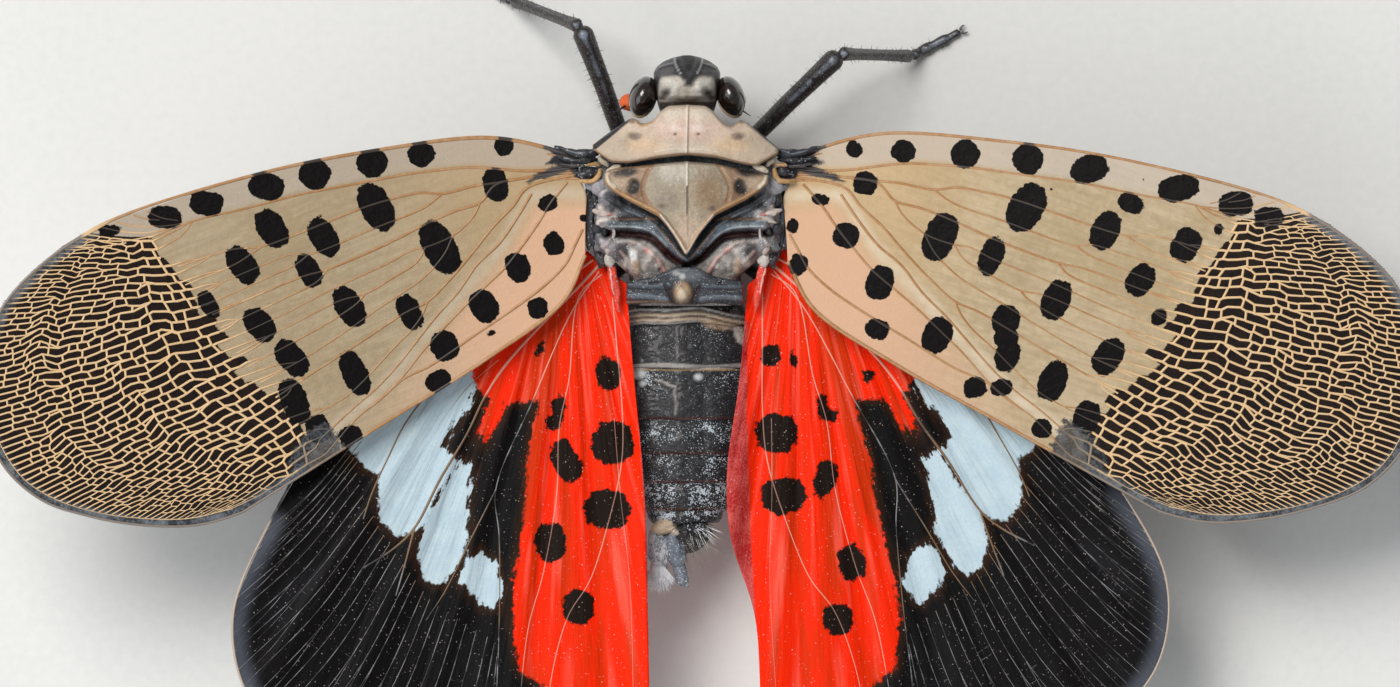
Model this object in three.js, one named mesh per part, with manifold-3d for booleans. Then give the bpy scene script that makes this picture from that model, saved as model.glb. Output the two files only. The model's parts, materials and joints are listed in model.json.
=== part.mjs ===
// Spotted lanternfly, life size, standing with all four wings spread.
// Millimetres. The head points along +Y, +X is the insect's own right side and +Z is up.
// The sizes below are measured from the middle of the line between the forewing hinges,
// at floor level. At the end the model is moved so that its origin is the bottom centre
// of its bounding box.

import * as THREE from 'three';
import { mergeVertices } from 'three/addons/utils/BufferGeometryUtils.js';
import Module from 'manifold-3d';

const wasm = await Module();
wasm.setup();

// General sizes
const GAP = 0.3;
const BODY_SHIFT = -0.07;
const CONE_SIDES = 5;
const END_ROUNDING = 0.22;

// Heights above the floor
const DECK_Z = 6.15;
const PLATE_Z = DECK_Z + GAP;
const WING_ROOT_Z = 5.9;
const WING_DROP = 1.1;
const EYE_Z = 5.35;
const ABDOMEN_Z = 3.1;

// Wings
const WING_THICKNESS = 0.5;
const VEIN_HEIGHT = 0.14;
const VEIN_DEPTH = 0.08;
const VEIN_HALF_WIDTH = 0.2;
const WING_CAMBER = 0.6;
const CAMBER_Y = -3;
const CAMBER_LENGTH = 5;
const HINGE_X = 3.3;
const FOLD_X = 2.4;
const FOLD_RISE = 0.4;
const RISE_LENGTH = 2;
const CAMBER_ONSET = 6;
const FOOT_SHARE = 1 / 3;
const NO_RIDGE = 2;
const FOREWING_STATIONS = 17;
const HINDWING_STATIONS = 16;

const RIGHT = { name: 'right', hand: 1, dihedral: 4 };
const LEFT = { name: 'left', hand: -1, dihedral: 13 };

const FOREWING_PLACE = {
  right: { hinge: [3.31, 0], sweep: 18.5, scale: 1 },
  left: { hinge: [3.52, 0.07], sweep: 21.5, scale: 0.955 },
};
const HINDWING_PLACE = {
  right: { hinge: [2.69, -3.45], sweep: -2.5, scale: 1 },
  left: { hinge: [2.76, -3.45], sweep: 2.5, scale: 1 },
};

// Each line runs from the wing's root to its outer margin, in the wing's own plane:
// first number outwards from the hinge, second number forwards. The first and last lines
// are the wing's edges. ridge is the share of the line at which the vein starts to stand out,
// and a share above 1 means that it never does.
const FOREWING_LINES = [
  {
    name: 'leading edge',
    ridge: NO_RIDGE,
    path: [[0.1, 0], [1.1, 0.9], [3, 2.05], [7, 3.1], [11, 3.8], [16.6, 4.17]],
  },
  {
    name: 'radius',
    ridge: 0,
    path: [[0.28, -0.14], [2.33, 0.5], [5, 1.58], [10, 2.58], [14, 3.09], [19.2, 3.68]],
  },
  {
    name: 'media 1',
    ridge: 0.05,
    path: [[0.35, -0.28], [3.33, 0.42], [5.25, 0.8], [7, 1.23], [12, 1.4], [21.4, 2.62]],
  },
  {
    name: 'media 2',
    ridge: 0.22,
    path: [[0.39, -0.42], [3.33, 0.28], [5.3, 0.55], [8, 0.48], [12, 0.3], [22.75, 0.95]],
  },
  {
    name: 'media 3',
    ridge: 0.16,
    path: [[0.4, -0.56], [3.3, 0.1], [5, 0], [8, -0.23], [12, -0.6], [23.38, -0.8]],
  },
  {
    name: 'media 4',
    ridge: 0.2,
    path: [[0.4, -0.7], [3.3, -0.1], [5.4, -0.68], [8, -0.92], [12, -1.45], [23.4, -2.6]],
  },
  {
    name: 'media 5',
    ridge: 0.24,
    path: [[0.4, -0.84], [3.3, -0.3], [5.4, -0.95], [7, -1.83], [12, -2.96], [22.6, -4.25]],
  },
  {
    name: 'cubitus 1',
    ridge: 0.05,
    path: [[0.4, -0.98], [3, -0.6], [5, -1.63], [7.17, -2.62], [12, -3.6], [21.2, -5.45]],
  },
  {
    name: 'cubitus 2',
    ridge: 0.34,
    path: [[0.41, -1.12], [3, -0.85], [5, -1.86], [7.3, -2.9], [10, -4.33], [19.6, -6.42]],
  },
  {
    name: 'clavus seam',
    ridge: 0.05,
    path: [[0.45, -1.3], [3, -1.15], [5, -2.2], [8, -3.83], [12.2, -5.7], [18, -7.08]],
  },
  {
    name: 'anal',
    ridge: 0.05,
    path: [[0.85, -2.2], [2, -3.0], [4, -3.9], [8, -4.85], [11, -5.75], [16.9, -7.27]],
  },
  {
    name: 'trailing edge',
    ridge: NO_RIDGE,
    path: [[1.25, -3.2], [2.6, -4.45], [6, -5.4], [10, -6.15], [16.1, -7.3]],
  },
];
const HINDWING_LINES = [
  {
    name: 'leading edge',
    ridge: NO_RIDGE,
    path: [[0.7, 0.45], [2.5, 0.3], [5, -0.8], [9.6, -4.9], [12, -8.45]],
  },
  {
    name: 'costal',
    ridge: 0.05,
    path: [[0.55, 0.3], [5, -1.9], [8, -4.6], [10.6, -8.4], [13.4, -11.6]],
  },
  {
    name: 'radius',
    ridge: 0.05,
    path: [[0.4, 0.16], [4.8, -2.9], [7.1, -5.3], [8.7, -8.3], [13.1, -14.2]],
  },
  {
    name: 'media 1',
    ridge: 0.05,
    path: [[0.25, 0.02], [3.6, -3.2], [5.1, -5.7], [7.2, -8.9], [11.7, -16]],
  },
  {
    name: 'media 2',
    ridge: 0.5,
    path: [[0.1, -0.12], [3.3, -3.4], [4.8, -5.9], [6.8, -9.1], [9.3, -17]],
  },
  {
    name: 'cubitus 1',
    ridge: 0.46,
    path: [[-0.05, -0.26], [2.95, -4.7], [4.35, -7.7], [6.07, -11.1], [6.9, -17.25]],
  },
  {
    name: 'cubitus 2',
    ridge: 0.05,
    path: [[-0.2, -0.4], [2.7, -4.7], [4, -7.7], [4.3, -12.6], [4.6, -17.1]],
  },
  {
    name: 'anal 1',
    ridge: 0.05,
    path: [[-0.35, -0.54], [1.5, -4], [2.1, -8], [3.1, -12.6], [2.8, -16.85]],
  },
  {
    name: 'anal 2',
    ridge: 0.05,
    path: [[-0.5, -0.66], [-0.25, -5.1], [0.3, -8.7], [1.5, -12], [1.1, -16.5]],
  },
];
const HINDWING_INNER_EDGE = {
  right: [[-0.62, -0.76], [-1.05, -4], [-1.62, -7.2], [-1.6, -9.4], [-0.88, -12.2], [-0.8, -15.3]],
  left: [[-0.62, -0.76], [-0.75, -4], [-0.92, -7.2], [-0.95, -9.4], [-0.88, -12.2], [-0.8, -15.3]],
};

// Small mathematical helpers
const radians = THREE.MathUtils.degToRad;
const vector = ([x, y, z = 0]) => new THREE.Vector3(x, y, z);

function spaced(path, count) {
  const curve = new THREE.CatmullRomCurve3(path.map(vector), false, 'centripetal');
  return curve.getSpacedPoints(count - 1);
}

function profile(points) {
  return (x) => {
    const next = points.findIndex(([px]) => px >= x);
    if (next === -1) return points.at(-1)[1];
    if (next === 0) return points[0][1];
    const [x0, y0] = points[next - 1];
    const [x1, y1] = points[next];
    return y0 + ((y1 - y0) * (x - x0)) / (x1 - x0);
  };
}

// Closed surfaces
function closed(positions, triangles) {
  const geometry = new THREE.BufferGeometry();
  geometry.setAttribute('position', new THREE.Float32BufferAttribute(positions.flat(), 3));
  const volume = triangles.reduce((sum, [a, b, c]) => {
    const [p, q, r] = [positions[a], positions[b], positions[c]].map(vector);
    return sum + p.dot(q.cross(r));
  }, 0);
  const faces = volume < 0 ? triangles.map(([a, b, c]) => [a, c, b]) : triangles;
  geometry.setIndex(faces.flat());
  return geometry;
}

// Joins rings that all have the same number of points and closes both ends with a fan.
function loft(rings) {
  const count = rings[0].length;
  const positions = rings.flat();
  const triangles = [];
  for (let ring = 0; ring < rings.length - 1; ring += 1) {
    for (let i = 0; i < count; i += 1) {
      const a = ring * count + i;
      const b = ring * count + ((i + 1) % count);
      triangles.push([a, b, b + count], [a, b + count, a + count]);
    }
  }
  const addCap = (ring, first, flip) => {
    const middle = [0, 1, 2].map((axis) => ring.reduce((sum, p) => sum + p[axis], 0) / count);
    const centre = positions.push(middle) - 1;
    for (let i = 0; i < count; i += 1) {
      const a = first + i;
      const b = first + ((i + 1) % count);
      triangles.push(flip ? [centre, b, a] : [centre, a, b]);
    }
  };
  addCap(rings[0], 0, true);
  addCap(rings.at(-1), (rings.length - 1) * count, false);
  return closed(positions, triangles);
}

// Makes a plate from two grids of points, top and bottom, split into triangles alike.
function plate(top, bottom) {
  const rows = top.length;
  const columns = top[0].length;
  const positions = [...top.flat(), ...bottom.flat()];
  const below = rows * columns;
  const at = (row, column) => row * columns + column;
  const triangles = [];
  for (let row = 0; row < rows - 1; row += 1) {
    for (let column = 0; column < columns - 1; column += 1) {
      const [a, b] = [at(row, column), at(row, column + 1)];
      const [c, d] = [at(row + 1, column + 1), at(row + 1, column)];
      triangles.push([a, b, c], [a, c, d]);
      triangles.push([a + below, c + below, b + below], [a + below, d + below, c + below]);
    }
  }
  const border = [];
  for (let column = 0; column < columns - 1; column += 1) border.push(at(0, column));
  for (let row = 0; row < rows - 1; row += 1) border.push(at(row, columns - 1));
  for (let column = columns - 1; column > 0; column -= 1) border.push(at(rows - 1, column));
  for (let row = rows - 1; row > 0; row -= 1) border.push(at(row, 0));
  border.forEach((a, i) => {
    const b = border[(i + 1) % border.length];
    triangles.push([b, a, a + below], [b, a + below, b + below]);
  });
  return closed(positions, triangles);
}

// Boolean unions and cuts
function toManifold(geometry) {
  return new wasm.Manifold(new wasm.Mesh({
    numProp: 3,
    vertProperties: new Float32Array(geometry.attributes.position.array),
    triVerts: new Uint32Array(geometry.index.array),
  }));
}

function largestPart(manifold) {
  const parts = manifold.decompose();
  const biggest = parts.reduce((best, part) => (part.volume() > best.volume() ? part : best));
  const mesh = biggest.getMesh();
  const geometry = new THREE.BufferGeometry();
  geometry.setAttribute('position', new THREE.BufferAttribute(mesh.vertProperties, 3));
  geometry.setIndex(new THREE.BufferAttribute(mesh.triVerts, 1));
  return geometry;
}

function fuse(first, ...others) {
  return largestPart(others.reduce((body, other) => body.add(toManifold(other)), toManifold(first)));
}

function carve(first, ...others) {
  return largestPart(others.reduce((body, other) => body.subtract(toManifold(other)), toManifold(first)));
}

// Basic forms
function ellipsoid(centre, half, { around = 16, along = 10, turn = [0, 0, 0] } = {}) {
  const sphere = new THREE.SphereGeometry(1, around, along);
  sphere.deleteAttribute('normal');
  sphere.deleteAttribute('uv');
  const geometry = mergeVertices(sphere);
  geometry.scale(...half);
  geometry.applyMatrix4(new THREE.Matrix4().makeRotationFromEuler(new THREE.Euler(...turn.map(radians))));
  geometry.translate(...centre);
  return geometry;
}

// A limb is a tapered tube whose ends are rounded off. Its section has one flat side facing
// down, and nothing of it goes below the floor.
function limb(path, radii, { sides = 8, step = 0.9, startTrim = 0, endTrim = 0, blunt = 0.5 } = {}) {
  const curve = new THREE.CatmullRomCurve3(path.map(vector), false, 'centripetal');
  const length = curve.getLength();
  const first = startTrim / length;
  const last = 1 - endTrim / length;
  const count = Math.max(3, Math.ceil(((last - first) * length) / step) + 1);
  const round = END_ROUNDING / length;
  const straight = last - first - 2 * round;
  const inner = Array.from({ length: count }, (_, i) => first + round + (straight * i) / (count - 1));
  const stations = [first, ...inner, last];
  const rings = stations.map((at, index) => {
    const centre = curve.getPointAt(at);
    const forward = curve.getTangentAt(at);
    const across = new THREE.Vector3().crossVectors(forward, new THREE.Vector3(0, 0, 1)).normalize();
    const upward = new THREE.Vector3().crossVectors(across, forward);
    const place = at * (radii.length - 1);
    const low = Math.min(Math.floor(place), radii.length - 2);
    const end = index === 0 || index === stations.length - 1 ? blunt : 1;
    const radius = THREE.MathUtils.lerp(radii[low], radii[low + 1], place - low) * end;
    return Array.from({ length: sides }, (_, i) => {
      const angle = (2 * Math.PI * (i + 0.5)) / sides;
      const point = centre.clone();
      point.addScaledVector(across, Math.sin(angle) * radius);
      point.addScaledVector(upward, Math.cos(angle) * radius);
      return [point.x, point.y, Math.max(0, point.z)];
    });
  });
  return loft(rings);
}

// How far both limbs stay back from a joint so that their round ends keep the gap.
function jointTrim(before, joint, after, radius) {
  const [a, j, c] = [before, joint, after].map(vector);
  const angle = a.sub(j).angleTo(c.sub(j));
  return (radius + GAP / 2) / Math.sin(angle / 2) - radius;
}

function spike(base, direction, length, radius) {
  const cone = new THREE.ConeGeometry(radius, length, CONE_SIDES);
  cone.deleteAttribute('normal');
  cone.deleteAttribute('uv');
  const geometry = mergeVertices(cone);
  geometry.translate(0, length / 2, 0);
  const turn = new THREE.Quaternion();
  turn.setFromUnitVectors(new THREE.Vector3(0, 1, 0), vector(direction).normalize());
  geometry.applyQuaternion(turn);
  geometry.translate(...base);
  return geometry;
}

// Wings
function wingHeight({ dihedral }, x, y) {
  const out = Math.max(0, Math.abs(x) - HINGE_X);
  const rise = (Math.tan(radians(dihedral)) * out * out) / (out + RISE_LENGTH);
  const bend = 1 - Math.exp(-(((y - CAMBER_Y) / CAMBER_LENGTH) ** 2));
  return WING_ROOT_Z + rise - WING_CAMBER * bend * THREE.MathUtils.smoothstep(out, 0, CAMBER_ONSET);
}

function onBody({ hand }, { hinge, sweep, scale }, [u, v]) {
  const turn = radians(sweep);
  const out = hinge[0] + scale * (u * Math.cos(turn) + v * Math.sin(turn));
  return [hand * out, hinge[1] + scale * (v * Math.cos(turn) - u * Math.sin(turn))];
}

// A point between two neighbouring lines, on a smooth curve across all the lines.
function between(points, line, share) {
  const [a, b] = [points[line], points[line + 1]];
  const slope = (index) => {
    const before = points[Math.max(index - 1, 0)];
    const after = points[Math.min(index + 1, points.length - 1)];
    const lengths = [before, after].map((point) => point.distanceTo(points[index]));
    return after.clone().sub(before).setLength(Math.min(...lengths.filter((length) => length > 0)));
  };
  const t2 = share * share;
  const t3 = t2 * share;
  return new THREE.Vector3()
    .addScaledVector(a, 2 * t3 - 3 * t2 + 1)
    .addScaledVector(slope(line), t3 - 2 * t2 + share)
    .addScaledVector(b, 3 * t2 - 2 * t3)
    .addScaledVector(slope(line + 1), t3 - t2);
}

// Lays a line along each vein and one at either foot of it, so that the vein is a ridge in
// the wing's own surface.
function wing(side, place, lines, stations, height) {
  const veins = lines.map(({ path }) => spaced(path, stations));
  const rows = [];
  lines.forEach(({ ridge }, line) => {
    rows.push(veins[line].map((point, i) => ({ point, raised: i / (stations - 1) >= ridge })));
    if (line === lines.length - 1) return;
    for (const foot of [0, 1]) {
      rows.push(veins[line].map((point, i) => {
        const across = veins.map((vein) => vein[i]);
        const atMargin = i === stations - 1;
        const reach = VEIN_HALF_WIDTH / point.distanceTo(veins[line + 1][i]);
        const share = atMargin ? FOOT_SHARE : Math.min(FOOT_SHARE, reach);
        return { point: between(across, line, foot === 0 ? share : 1 - share), raised: false };
      }));
    }
  });
  const face = (direction, relief) => rows.map((row) => row.map(({ point, raised }) => {
    const [x, y] = onBody(side, place, [point.x, point.y]);
    const offset = WING_THICKNESS / 2 + (raised ? relief : 0);
    return [x, y, height(side, x, y) + direction * offset];
  }));
  return plate(face(1, VEIN_HEIGHT), face(-1, VEIN_DEPTH));
}

function forewing(side) {
  return wing(side, FOREWING_PLACE[side.name], FOREWING_LINES, FOREWING_STATIONS, wingHeight);
}

function hindwing(side) {
  const innerEdge = { name: 'inner edge', ridge: NO_RIDGE, path: HINDWING_INNER_EDGE[side.name] };
  const lines = [...HINDWING_LINES, innerEdge];
  const height = (_, x, y) => {
    const fold = FOLD_RISE * THREE.MathUtils.smoothstep(FOLD_X - Math.abs(x), 0, 1);
    return wingHeight(side, x, y) - WING_DROP + fold;
  };
  return wing(side, HINDWING_PLACE[side.name], lines, HINDWING_STATIONS, height);
}

// Head
const HEAD_SIDES = 16;
const HEAD_SQUARENESS = 0.75;
const HEAD_RINGS = [
  { y: 1.55, half: 0.85, low: 4.2, high: 5.85 },
  { y: 2.08, half: 1.05, low: 3.8, high: 6.0 },
  { y: 2.27, half: 1.3, low: 3.4, high: 6.5 },
  { y: 2.75, half: 1.3, low: 3.1, high: 6.75 },
  { y: 3.15, half: 1.15, low: 3.2, high: 6.65 },
  { y: 3.45, half: 0.98, low: 3.9, high: 6.4 },
  { y: 3.67, half: 0.6, low: 4.7, high: 6.05 },
];

function headShell() {
  const squarish = (value) => Math.sign(value) * Math.abs(value) ** HEAD_SQUARENESS;
  return loft(HEAD_RINGS.map(({ y, half, low, high }) => Array.from({ length: HEAD_SIDES }, (_, i) => {
    const angle = (2 * Math.PI * i) / HEAD_SIDES;
    const x = half * squarish(Math.sin(angle));
    return [x, y, (low + high) / 2 + ((high - low) / 2) * squarish(Math.cos(angle))];
  })));
}

const EYE = { x: 1.52, y: 2.29, half: [0.42, 0.72, 0.78], lean: 20 };

function eye({ hand }, grow = 0, detail = { around: 18, along: 12 }) {
  const half = EYE.half.map((size) => size + grow);
  return ellipsoid([hand * EYE.x, EYE.y, EYE_Z], half, { ...detail, turn: [0, 0, hand * EYE.lean] });
}

const CLYPEUS = { path: [[0, 2.95, 3.9], [0, 2.75, 3.1], [0, 2.2, 2.35]], radii: [0.75, 0.6, 0.34] };
const FEELER = {
  stalk: [[1.5, 2.3, 4.0], [2.05, 2.1, 4.05]],
  stalkRadius: 0.25,
  bulb: [2.12, 2.07, 4.12],
  bulbHalf: [0.36, 0.3, 0.36],
  bristleRoot: [2.2, 2.0, 4.2],
  bristleAim: [0.5, -0.35, 0.7],
  bristleLength: 1.6,
  bristleRadius: 0.14,
};
const BEAK = {
  path: [[0, 1.95, 1.95], [0, 1.2, 1.6], [0, -1.5, 1.55], [0, -4.3, 1.5]],
  radii: [0.32, 0.3, 0.27, 0.12],
};

function head() {
  const clypeus = limb(CLYPEUS.path, CLYPEUS.radii, { sides: 10, step: 0.5, blunt: 0.6 });
  const coarse = { around: 14, along: 9 };
  return carve(fuse(headShell(), clypeus), eye(RIGHT, GAP, coarse), eye(LEFT, GAP, coarse));
}

function antenna({ hand }) {
  const onSide = ([x, y, z]) => [hand * x, y, z];
  const stalk = limb(FEELER.stalk.map(onSide), [FEELER.stalkRadius, FEELER.stalkRadius]);
  const bulb = ellipsoid(onSide(FEELER.bulb), FEELER.bulbHalf, { around: 10, along: 7 });
  const aim = onSide(FEELER.bristleAim);
  const bristle = spike(onSide(FEELER.bristleRoot), aim, FEELER.bristleLength, FEELER.bristleRadius);
  return fuse(bulb, stalk, bristle);
}

function rostrum() {
  return limb(BEAK.path, BEAK.radii, { step: 1 });
}

// Thorax
const THORAX_RINGS = [
  { y: 1.22, deck: [1.7, 6.1], side: [1.9, 5], low: [1.6, 3.2], belly: [0.8, 2.6] },
  { y: 0.6, deck: [2.5, DECK_Z], side: [2.6, 4.9], low: [2, 3], belly: [1.1, 2.4] },
  { y: 0.1, deck: [3.08, DECK_Z], side: [3.12, 4.9], low: [2.2, 2.9], belly: [1.2, 2.3] },
  { y: -1.2, deck: [3.12, DECK_Z], side: [3.12, 4.8], low: [2.3, 2.9], belly: [1.2, 2.2] },
  { y: -2.8, deck: [3.12, 6.05], side: [3.12, 4.7], low: [2.2, 2.9], belly: [1.2, 2.2] },
  { y: -3.4, deck: [2.5, 5.75], side: [2.5, 4.6], low: [2.1, 2.9], belly: [1.1, 2.25] },
  { y: -3.95, deck: [1.8, 5.45], side: [1.86, 4.4], low: [1.95, 3.1], belly: [1.1, 2.3] },
  { y: -4.95, deck: [1.5, 4.95], side: [1.76, 4.2], low: [1.9, 3.1], belly: [1, 2.4] },
];

function thorax() {
  return loft(THORAX_RINGS.map(({ y, deck, side, low, belly }) => {
    const flank = [[deck[0] * 0.6, deck[1]], deck, side, low, belly];
    const right = [[0, deck[1]], ...flank, [0, belly[1]]];
    const left = flank.map(([x, z]) => [-x, z]).reverse();
    return [...right, ...left].map(([x, z]) => [x + BODY_SHIFT, y, z]);
  }));
}

// A shield over the back, between a front and a rear edge, with a keel down its middle.
function shield({ front, rear, columns, rows, top, under, keel = 0 }) {
  const frontAt = profile(front);
  const rearAt = profile(rear);
  const grid = (height) => Array.from({ length: rows }, (_, row) => columns.map((x) => {
    const y = THREE.MathUtils.lerp(frontAt(x), rearAt(x), row / (rows - 1));
    return [x, y, height(x, y)];
  }));
  const dome = (x, y) => top(x, y) + (x === 0 ? keel : 0);
  return plate(grid(dome), grid(under));
}

const PRONOTUM_COLUMNS = [
  -3.25, -2.9, -2.5, -2.1, -1.9, -1.55, -1.2, -0.9, -0.6, -0.2, 0,
  0.2, 0.6, 0.9, 1.2, 1.55, 1.9, 2.1, 2.5, 2.85, 3.15,
];
const PRONOTUM_FRONT = [
  [-3.25, 0.6], [-2.6, 1.08], [-1.9, 1.5], [-1.55, 1.27], [-1.2, 1.4], [-0.9, 1.72], [-0.6, 1.9], [0, 1.96],
  [0.6, 1.9], [0.9, 1.72], [1.2, 1.4], [1.55, 1.27], [1.9, 1.5], [2.6, 0.95], [3.15, 0.48],
];
const PRONOTUM_REAR = [
  [-3.25, 0.42], [-2.6, 0], [-1, 0.14], [0, 0.23], [1, 0.14], [2.4, -0.12], [3.15, 0.28],
];

function pronotum() {
  return shield({
    front: PRONOTUM_FRONT,
    rear: PRONOTUM_REAR,
    columns: PRONOTUM_COLUMNS,
    rows: 7,
    top: (x, y) => 7.3 - 0.04 * x * x - 0.14 * Math.max(0, y - 0.7) ** 2,
    under: () => PLATE_Z,
    keel: 0.1,
  });
}

const MESONOTUM_COLUMNS = [
  -2.82, -2.4, -2, -1.5, -0.95, -0.6, -0.3, -0.1, 0, 0.1, 0.3, 0.6, 0.95, 1.5, 2, 2.4, 2.78,
];
const MESONOTUM_FRONT = [
  [-2.82, -0.32], [-2.6, -0.3], [-1, -0.16], [0, -0.08], [1, -0.16], [2.4, -0.42], [2.78, -0.46],
];
const MESONOTUM_REAR = [
  [-2.82, -0.75], [-2, -1.35], [-0.95, -1.95], [-0.45, -2.5], [-0.1, -3.18],
  [0.1, -3.18], [0.45, -2.5], [0.95, -1.95], [2, -1.35], [2.78, -0.78],
];

function mesonotum() {
  return shield({
    front: MESONOTUM_FRONT,
    rear: MESONOTUM_REAR,
    columns: MESONOTUM_COLUMNS,
    rows: 8,
    top: (x, y) => 7.35 - 0.06 * x * x - 0.05 * (y + 0.9) ** 2,
    under: () => PLATE_Z,
    keel: 0.08,
  });
}

const METANOTUM_COLUMNS = [-1.6, -1.2, -0.8, -0.4, -0.12, 0, 0.12, 0.4, 0.8, 1.2, 1.6];
const METANOTUM_HEIGHT = 0.62;

function metanotum() {
  const deck = profile(THORAX_RINGS.map((ring) => [ring.y, ring.deck[1]]).reverse());
  return shield({
    front: [[-1.7, -3.9], [-0.4, -3.58], [0.3, -3.58], [1.6, -3.9]],
    rear: [[-1.7, -4.9], [1.6, -4.9]],
    columns: METANOTUM_COLUMNS.map((x) => x + BODY_SHIFT),
    rows: 6,
    top: (x, y) => deck(y) + GAP + METANOTUM_HEIGHT - 0.1 * x * x - 0.25 * (y + 4.2) ** 2,
    under: (x, y) => deck(y) + GAP,
  });
}

// Abdomen
const ABDOMEN_WIDTH = profile([
  [-12.4, 1.2], [-11.6, 1.75], [-10.5, 2.15], [-9, 2.45], [-7, 2.52], [-5.6, 2.35], [-5.25, 2.15],
]);
const ABDOMEN_RISE = profile([
  [-12.4, 1.05], [-11.6, 1.35], [-10.5, 1.55], [-9, 1.68], [-7, 1.72], [-5.25, 1.6],
]);
const ABDOMEN_SIDES = 22;
const SEGMENT_EDGES = [-5.25, -5.6, -7.1, -8.9, -10.1, -11.1, -12.05, -12.4];
const SEGMENT_STEP = 0.12;

function abdomen() {
  const rings = [];
  for (let segment = 0; segment < SEGMENT_EDGES.length - 1; segment += 1) {
    const [front, back] = [SEGMENT_EDGES[segment], SEGMENT_EDGES[segment + 1]];
    for (const [share, inset] of [[0.04, SEGMENT_STEP], [0.5, SEGMENT_STEP / 3], [0.96, 0]]) {
      const y = THREE.MathUtils.lerp(front, back, share);
      rings.push(Array.from({ length: ABDOMEN_SIDES }, (_, i) => {
        const angle = (2 * Math.PI * i) / ABDOMEN_SIDES;
        const x = (ABDOMEN_WIDTH(y) - inset) * Math.sin(angle);
        return [x + BODY_SHIFT, y, ABDOMEN_Z + (ABDOMEN_RISE(y) - inset) * Math.cos(angle)];
      }));
    }
  }
  return loft(rings);
}

const TAIL_LOBES = [
  { centre: [-0.15, -13.25, 3], half: [0.85, 0.55, 0.85] },
  { centre: [-1, -13.55, 3.1], half: [0.38, 0.62, 0.4] },
  { centre: [-0.3, -14, 3.05], half: [0.36, 0.78, 0.42] },
  { centre: [-0.83, -13.02, 3.7], half: [0.27, 0.27, 0.27] },
  { centre: [0.38, -13.3, 3.2], half: [0.4, 0.5, 0.45] },
];

function terminalia() {
  const detail = { around: 10, along: 6 };
  return fuse(...TAIL_LOBES.map(({ centre, half }) => ellipsoid(centre, half, detail)));
}

// Legs: each has its root under the thorax, the bend below it, the knee, the ankle and the toe.
const FEMUR_RADII = [0.36, 0.3, 0.34, 0.3];
const TIBIA_RADII = [0.27, 0.25, 0.25];
const TARSUS_RADII = [0.26, 0.27, 0.26, 0.14];
const TARSUS_Z = 0.24;
const TOE_Z = 0.15;
const FEMUR_ARCH = 0.12;
const JOINT_BLUNTNESS = 0.62;

const LEGS = {
  front_right: {
    root: [1.7, 0.6, 2.4],
    bend: [2.05, 0.72, 1.95],
    knee: [5.3, 3.78, 4.3],
    ankle: [7.85, 3.78, 0.6],
    toe: [9.74, 4.75],
  },
  front_left: {
    root: [-1.85, 0.6, 2.4],
    bend: [-2.15, 0.75, 1.95],
    knee: [-3.7, 4.72, 4.3],
    ankle: [-6.1, 5.72, 0.6],
    toe: [-7.75, 6.6],
  },
  middle_right: {
    root: [1.9, -1.2, 2.25],
    bend: [2.2, -1.25, 1.85],
    knee: [6.3, -1.5, 4.0],
    ankle: [9.1, -2.7, 0.6],
    toe: [11, -3.4],
  },
  middle_left: {
    root: [-2.05, -1.2, 2.25],
    bend: [-2.35, -1.25, 1.85],
    knee: [-6.4, -1.3, 4.0],
    ankle: [-9.3, -2.3, 0.6],
    toe: [-11.2, -2.9],
  },
  hind_right: {
    root: [1.75, -3.3, 2.28],
    bend: [2.05, -3.45, 1.85],
    knee: [5.3, -6.1, 3.6],
    ankle: [7.2, -11.8, 0.6],
    toe: [7.9, -14],
  },
  hind_left: {
    root: [-1.9, -3.3, 2.28],
    bend: [-2.2, -3.45, 1.85],
    knee: [-5.2, -6.4, 3.6],
    ankle: [-7.4, -12, 0.6],
    toe: [-7.9, -14.2],
  },
};
const SPINE_SHARES = [0.25, 0.42, 0.58, 0.74, 0.88];
const SPINE_LENGTH = 0.6;
const SPINE_RADIUS = 0.15;

function femur({ root, bend, knee, ankle }) {
  const middle = vector(bend).lerp(vector(knee), 0.5).add(vector([0, 0, FEMUR_ARCH]));
  const endTrim = jointTrim(bend, knee, ankle, FEMUR_RADII.at(-1));
  return limb([root, bend, middle.toArray(), knee], FEMUR_RADII, { endTrim, blunt: JOINT_BLUNTNESS });
}

function tibia({ bend, knee, ankle, toe }, spiny) {
  const foot = [toe[0], toe[1], TOE_Z];
  const startTrim = jointTrim(bend, knee, ankle, FEMUR_RADII.at(-1));
  const endTrim = jointTrim(knee, ankle, foot, TIBIA_RADII.at(-1));
  const shaft = limb([knee, ankle], TIBIA_RADII, { startTrim, endTrim, blunt: JOINT_BLUNTNESS });
  if (!spiny) return shaft;
  const [from, to] = [vector(knee), vector(ankle)];
  const forward = to.clone().sub(from).normalize();
  const outward = vector([Math.sign(knee[0]), 0, 0.2]).addScaledVector(forward, 0.7);
  const spines = SPINE_SHARES.map((share) => {
    const base = from.clone().lerp(to, share);
    return spike(base.toArray(), outward.toArray(), TIBIA_RADII[1] + SPINE_LENGTH, SPINE_RADIUS);
  });
  return fuse(shaft, ...spines);
}

function tarsus({ knee, ankle, toe }) {
  const foot = vector([toe[0], toe[1], TOE_Z]);
  const startTrim = jointTrim(knee, ankle, foot.toArray(), TIBIA_RADII.at(-1));
  const flat = (share) => {
    const point = vector(ankle).lerp(foot, share);
    return [point.x, point.y, TARSUS_Z];
  };
  return limb([ankle, flat(0.4), flat(0.75), foot.toArray()], TARSUS_RADII, { startTrim, step: 0.5 });
}

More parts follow.
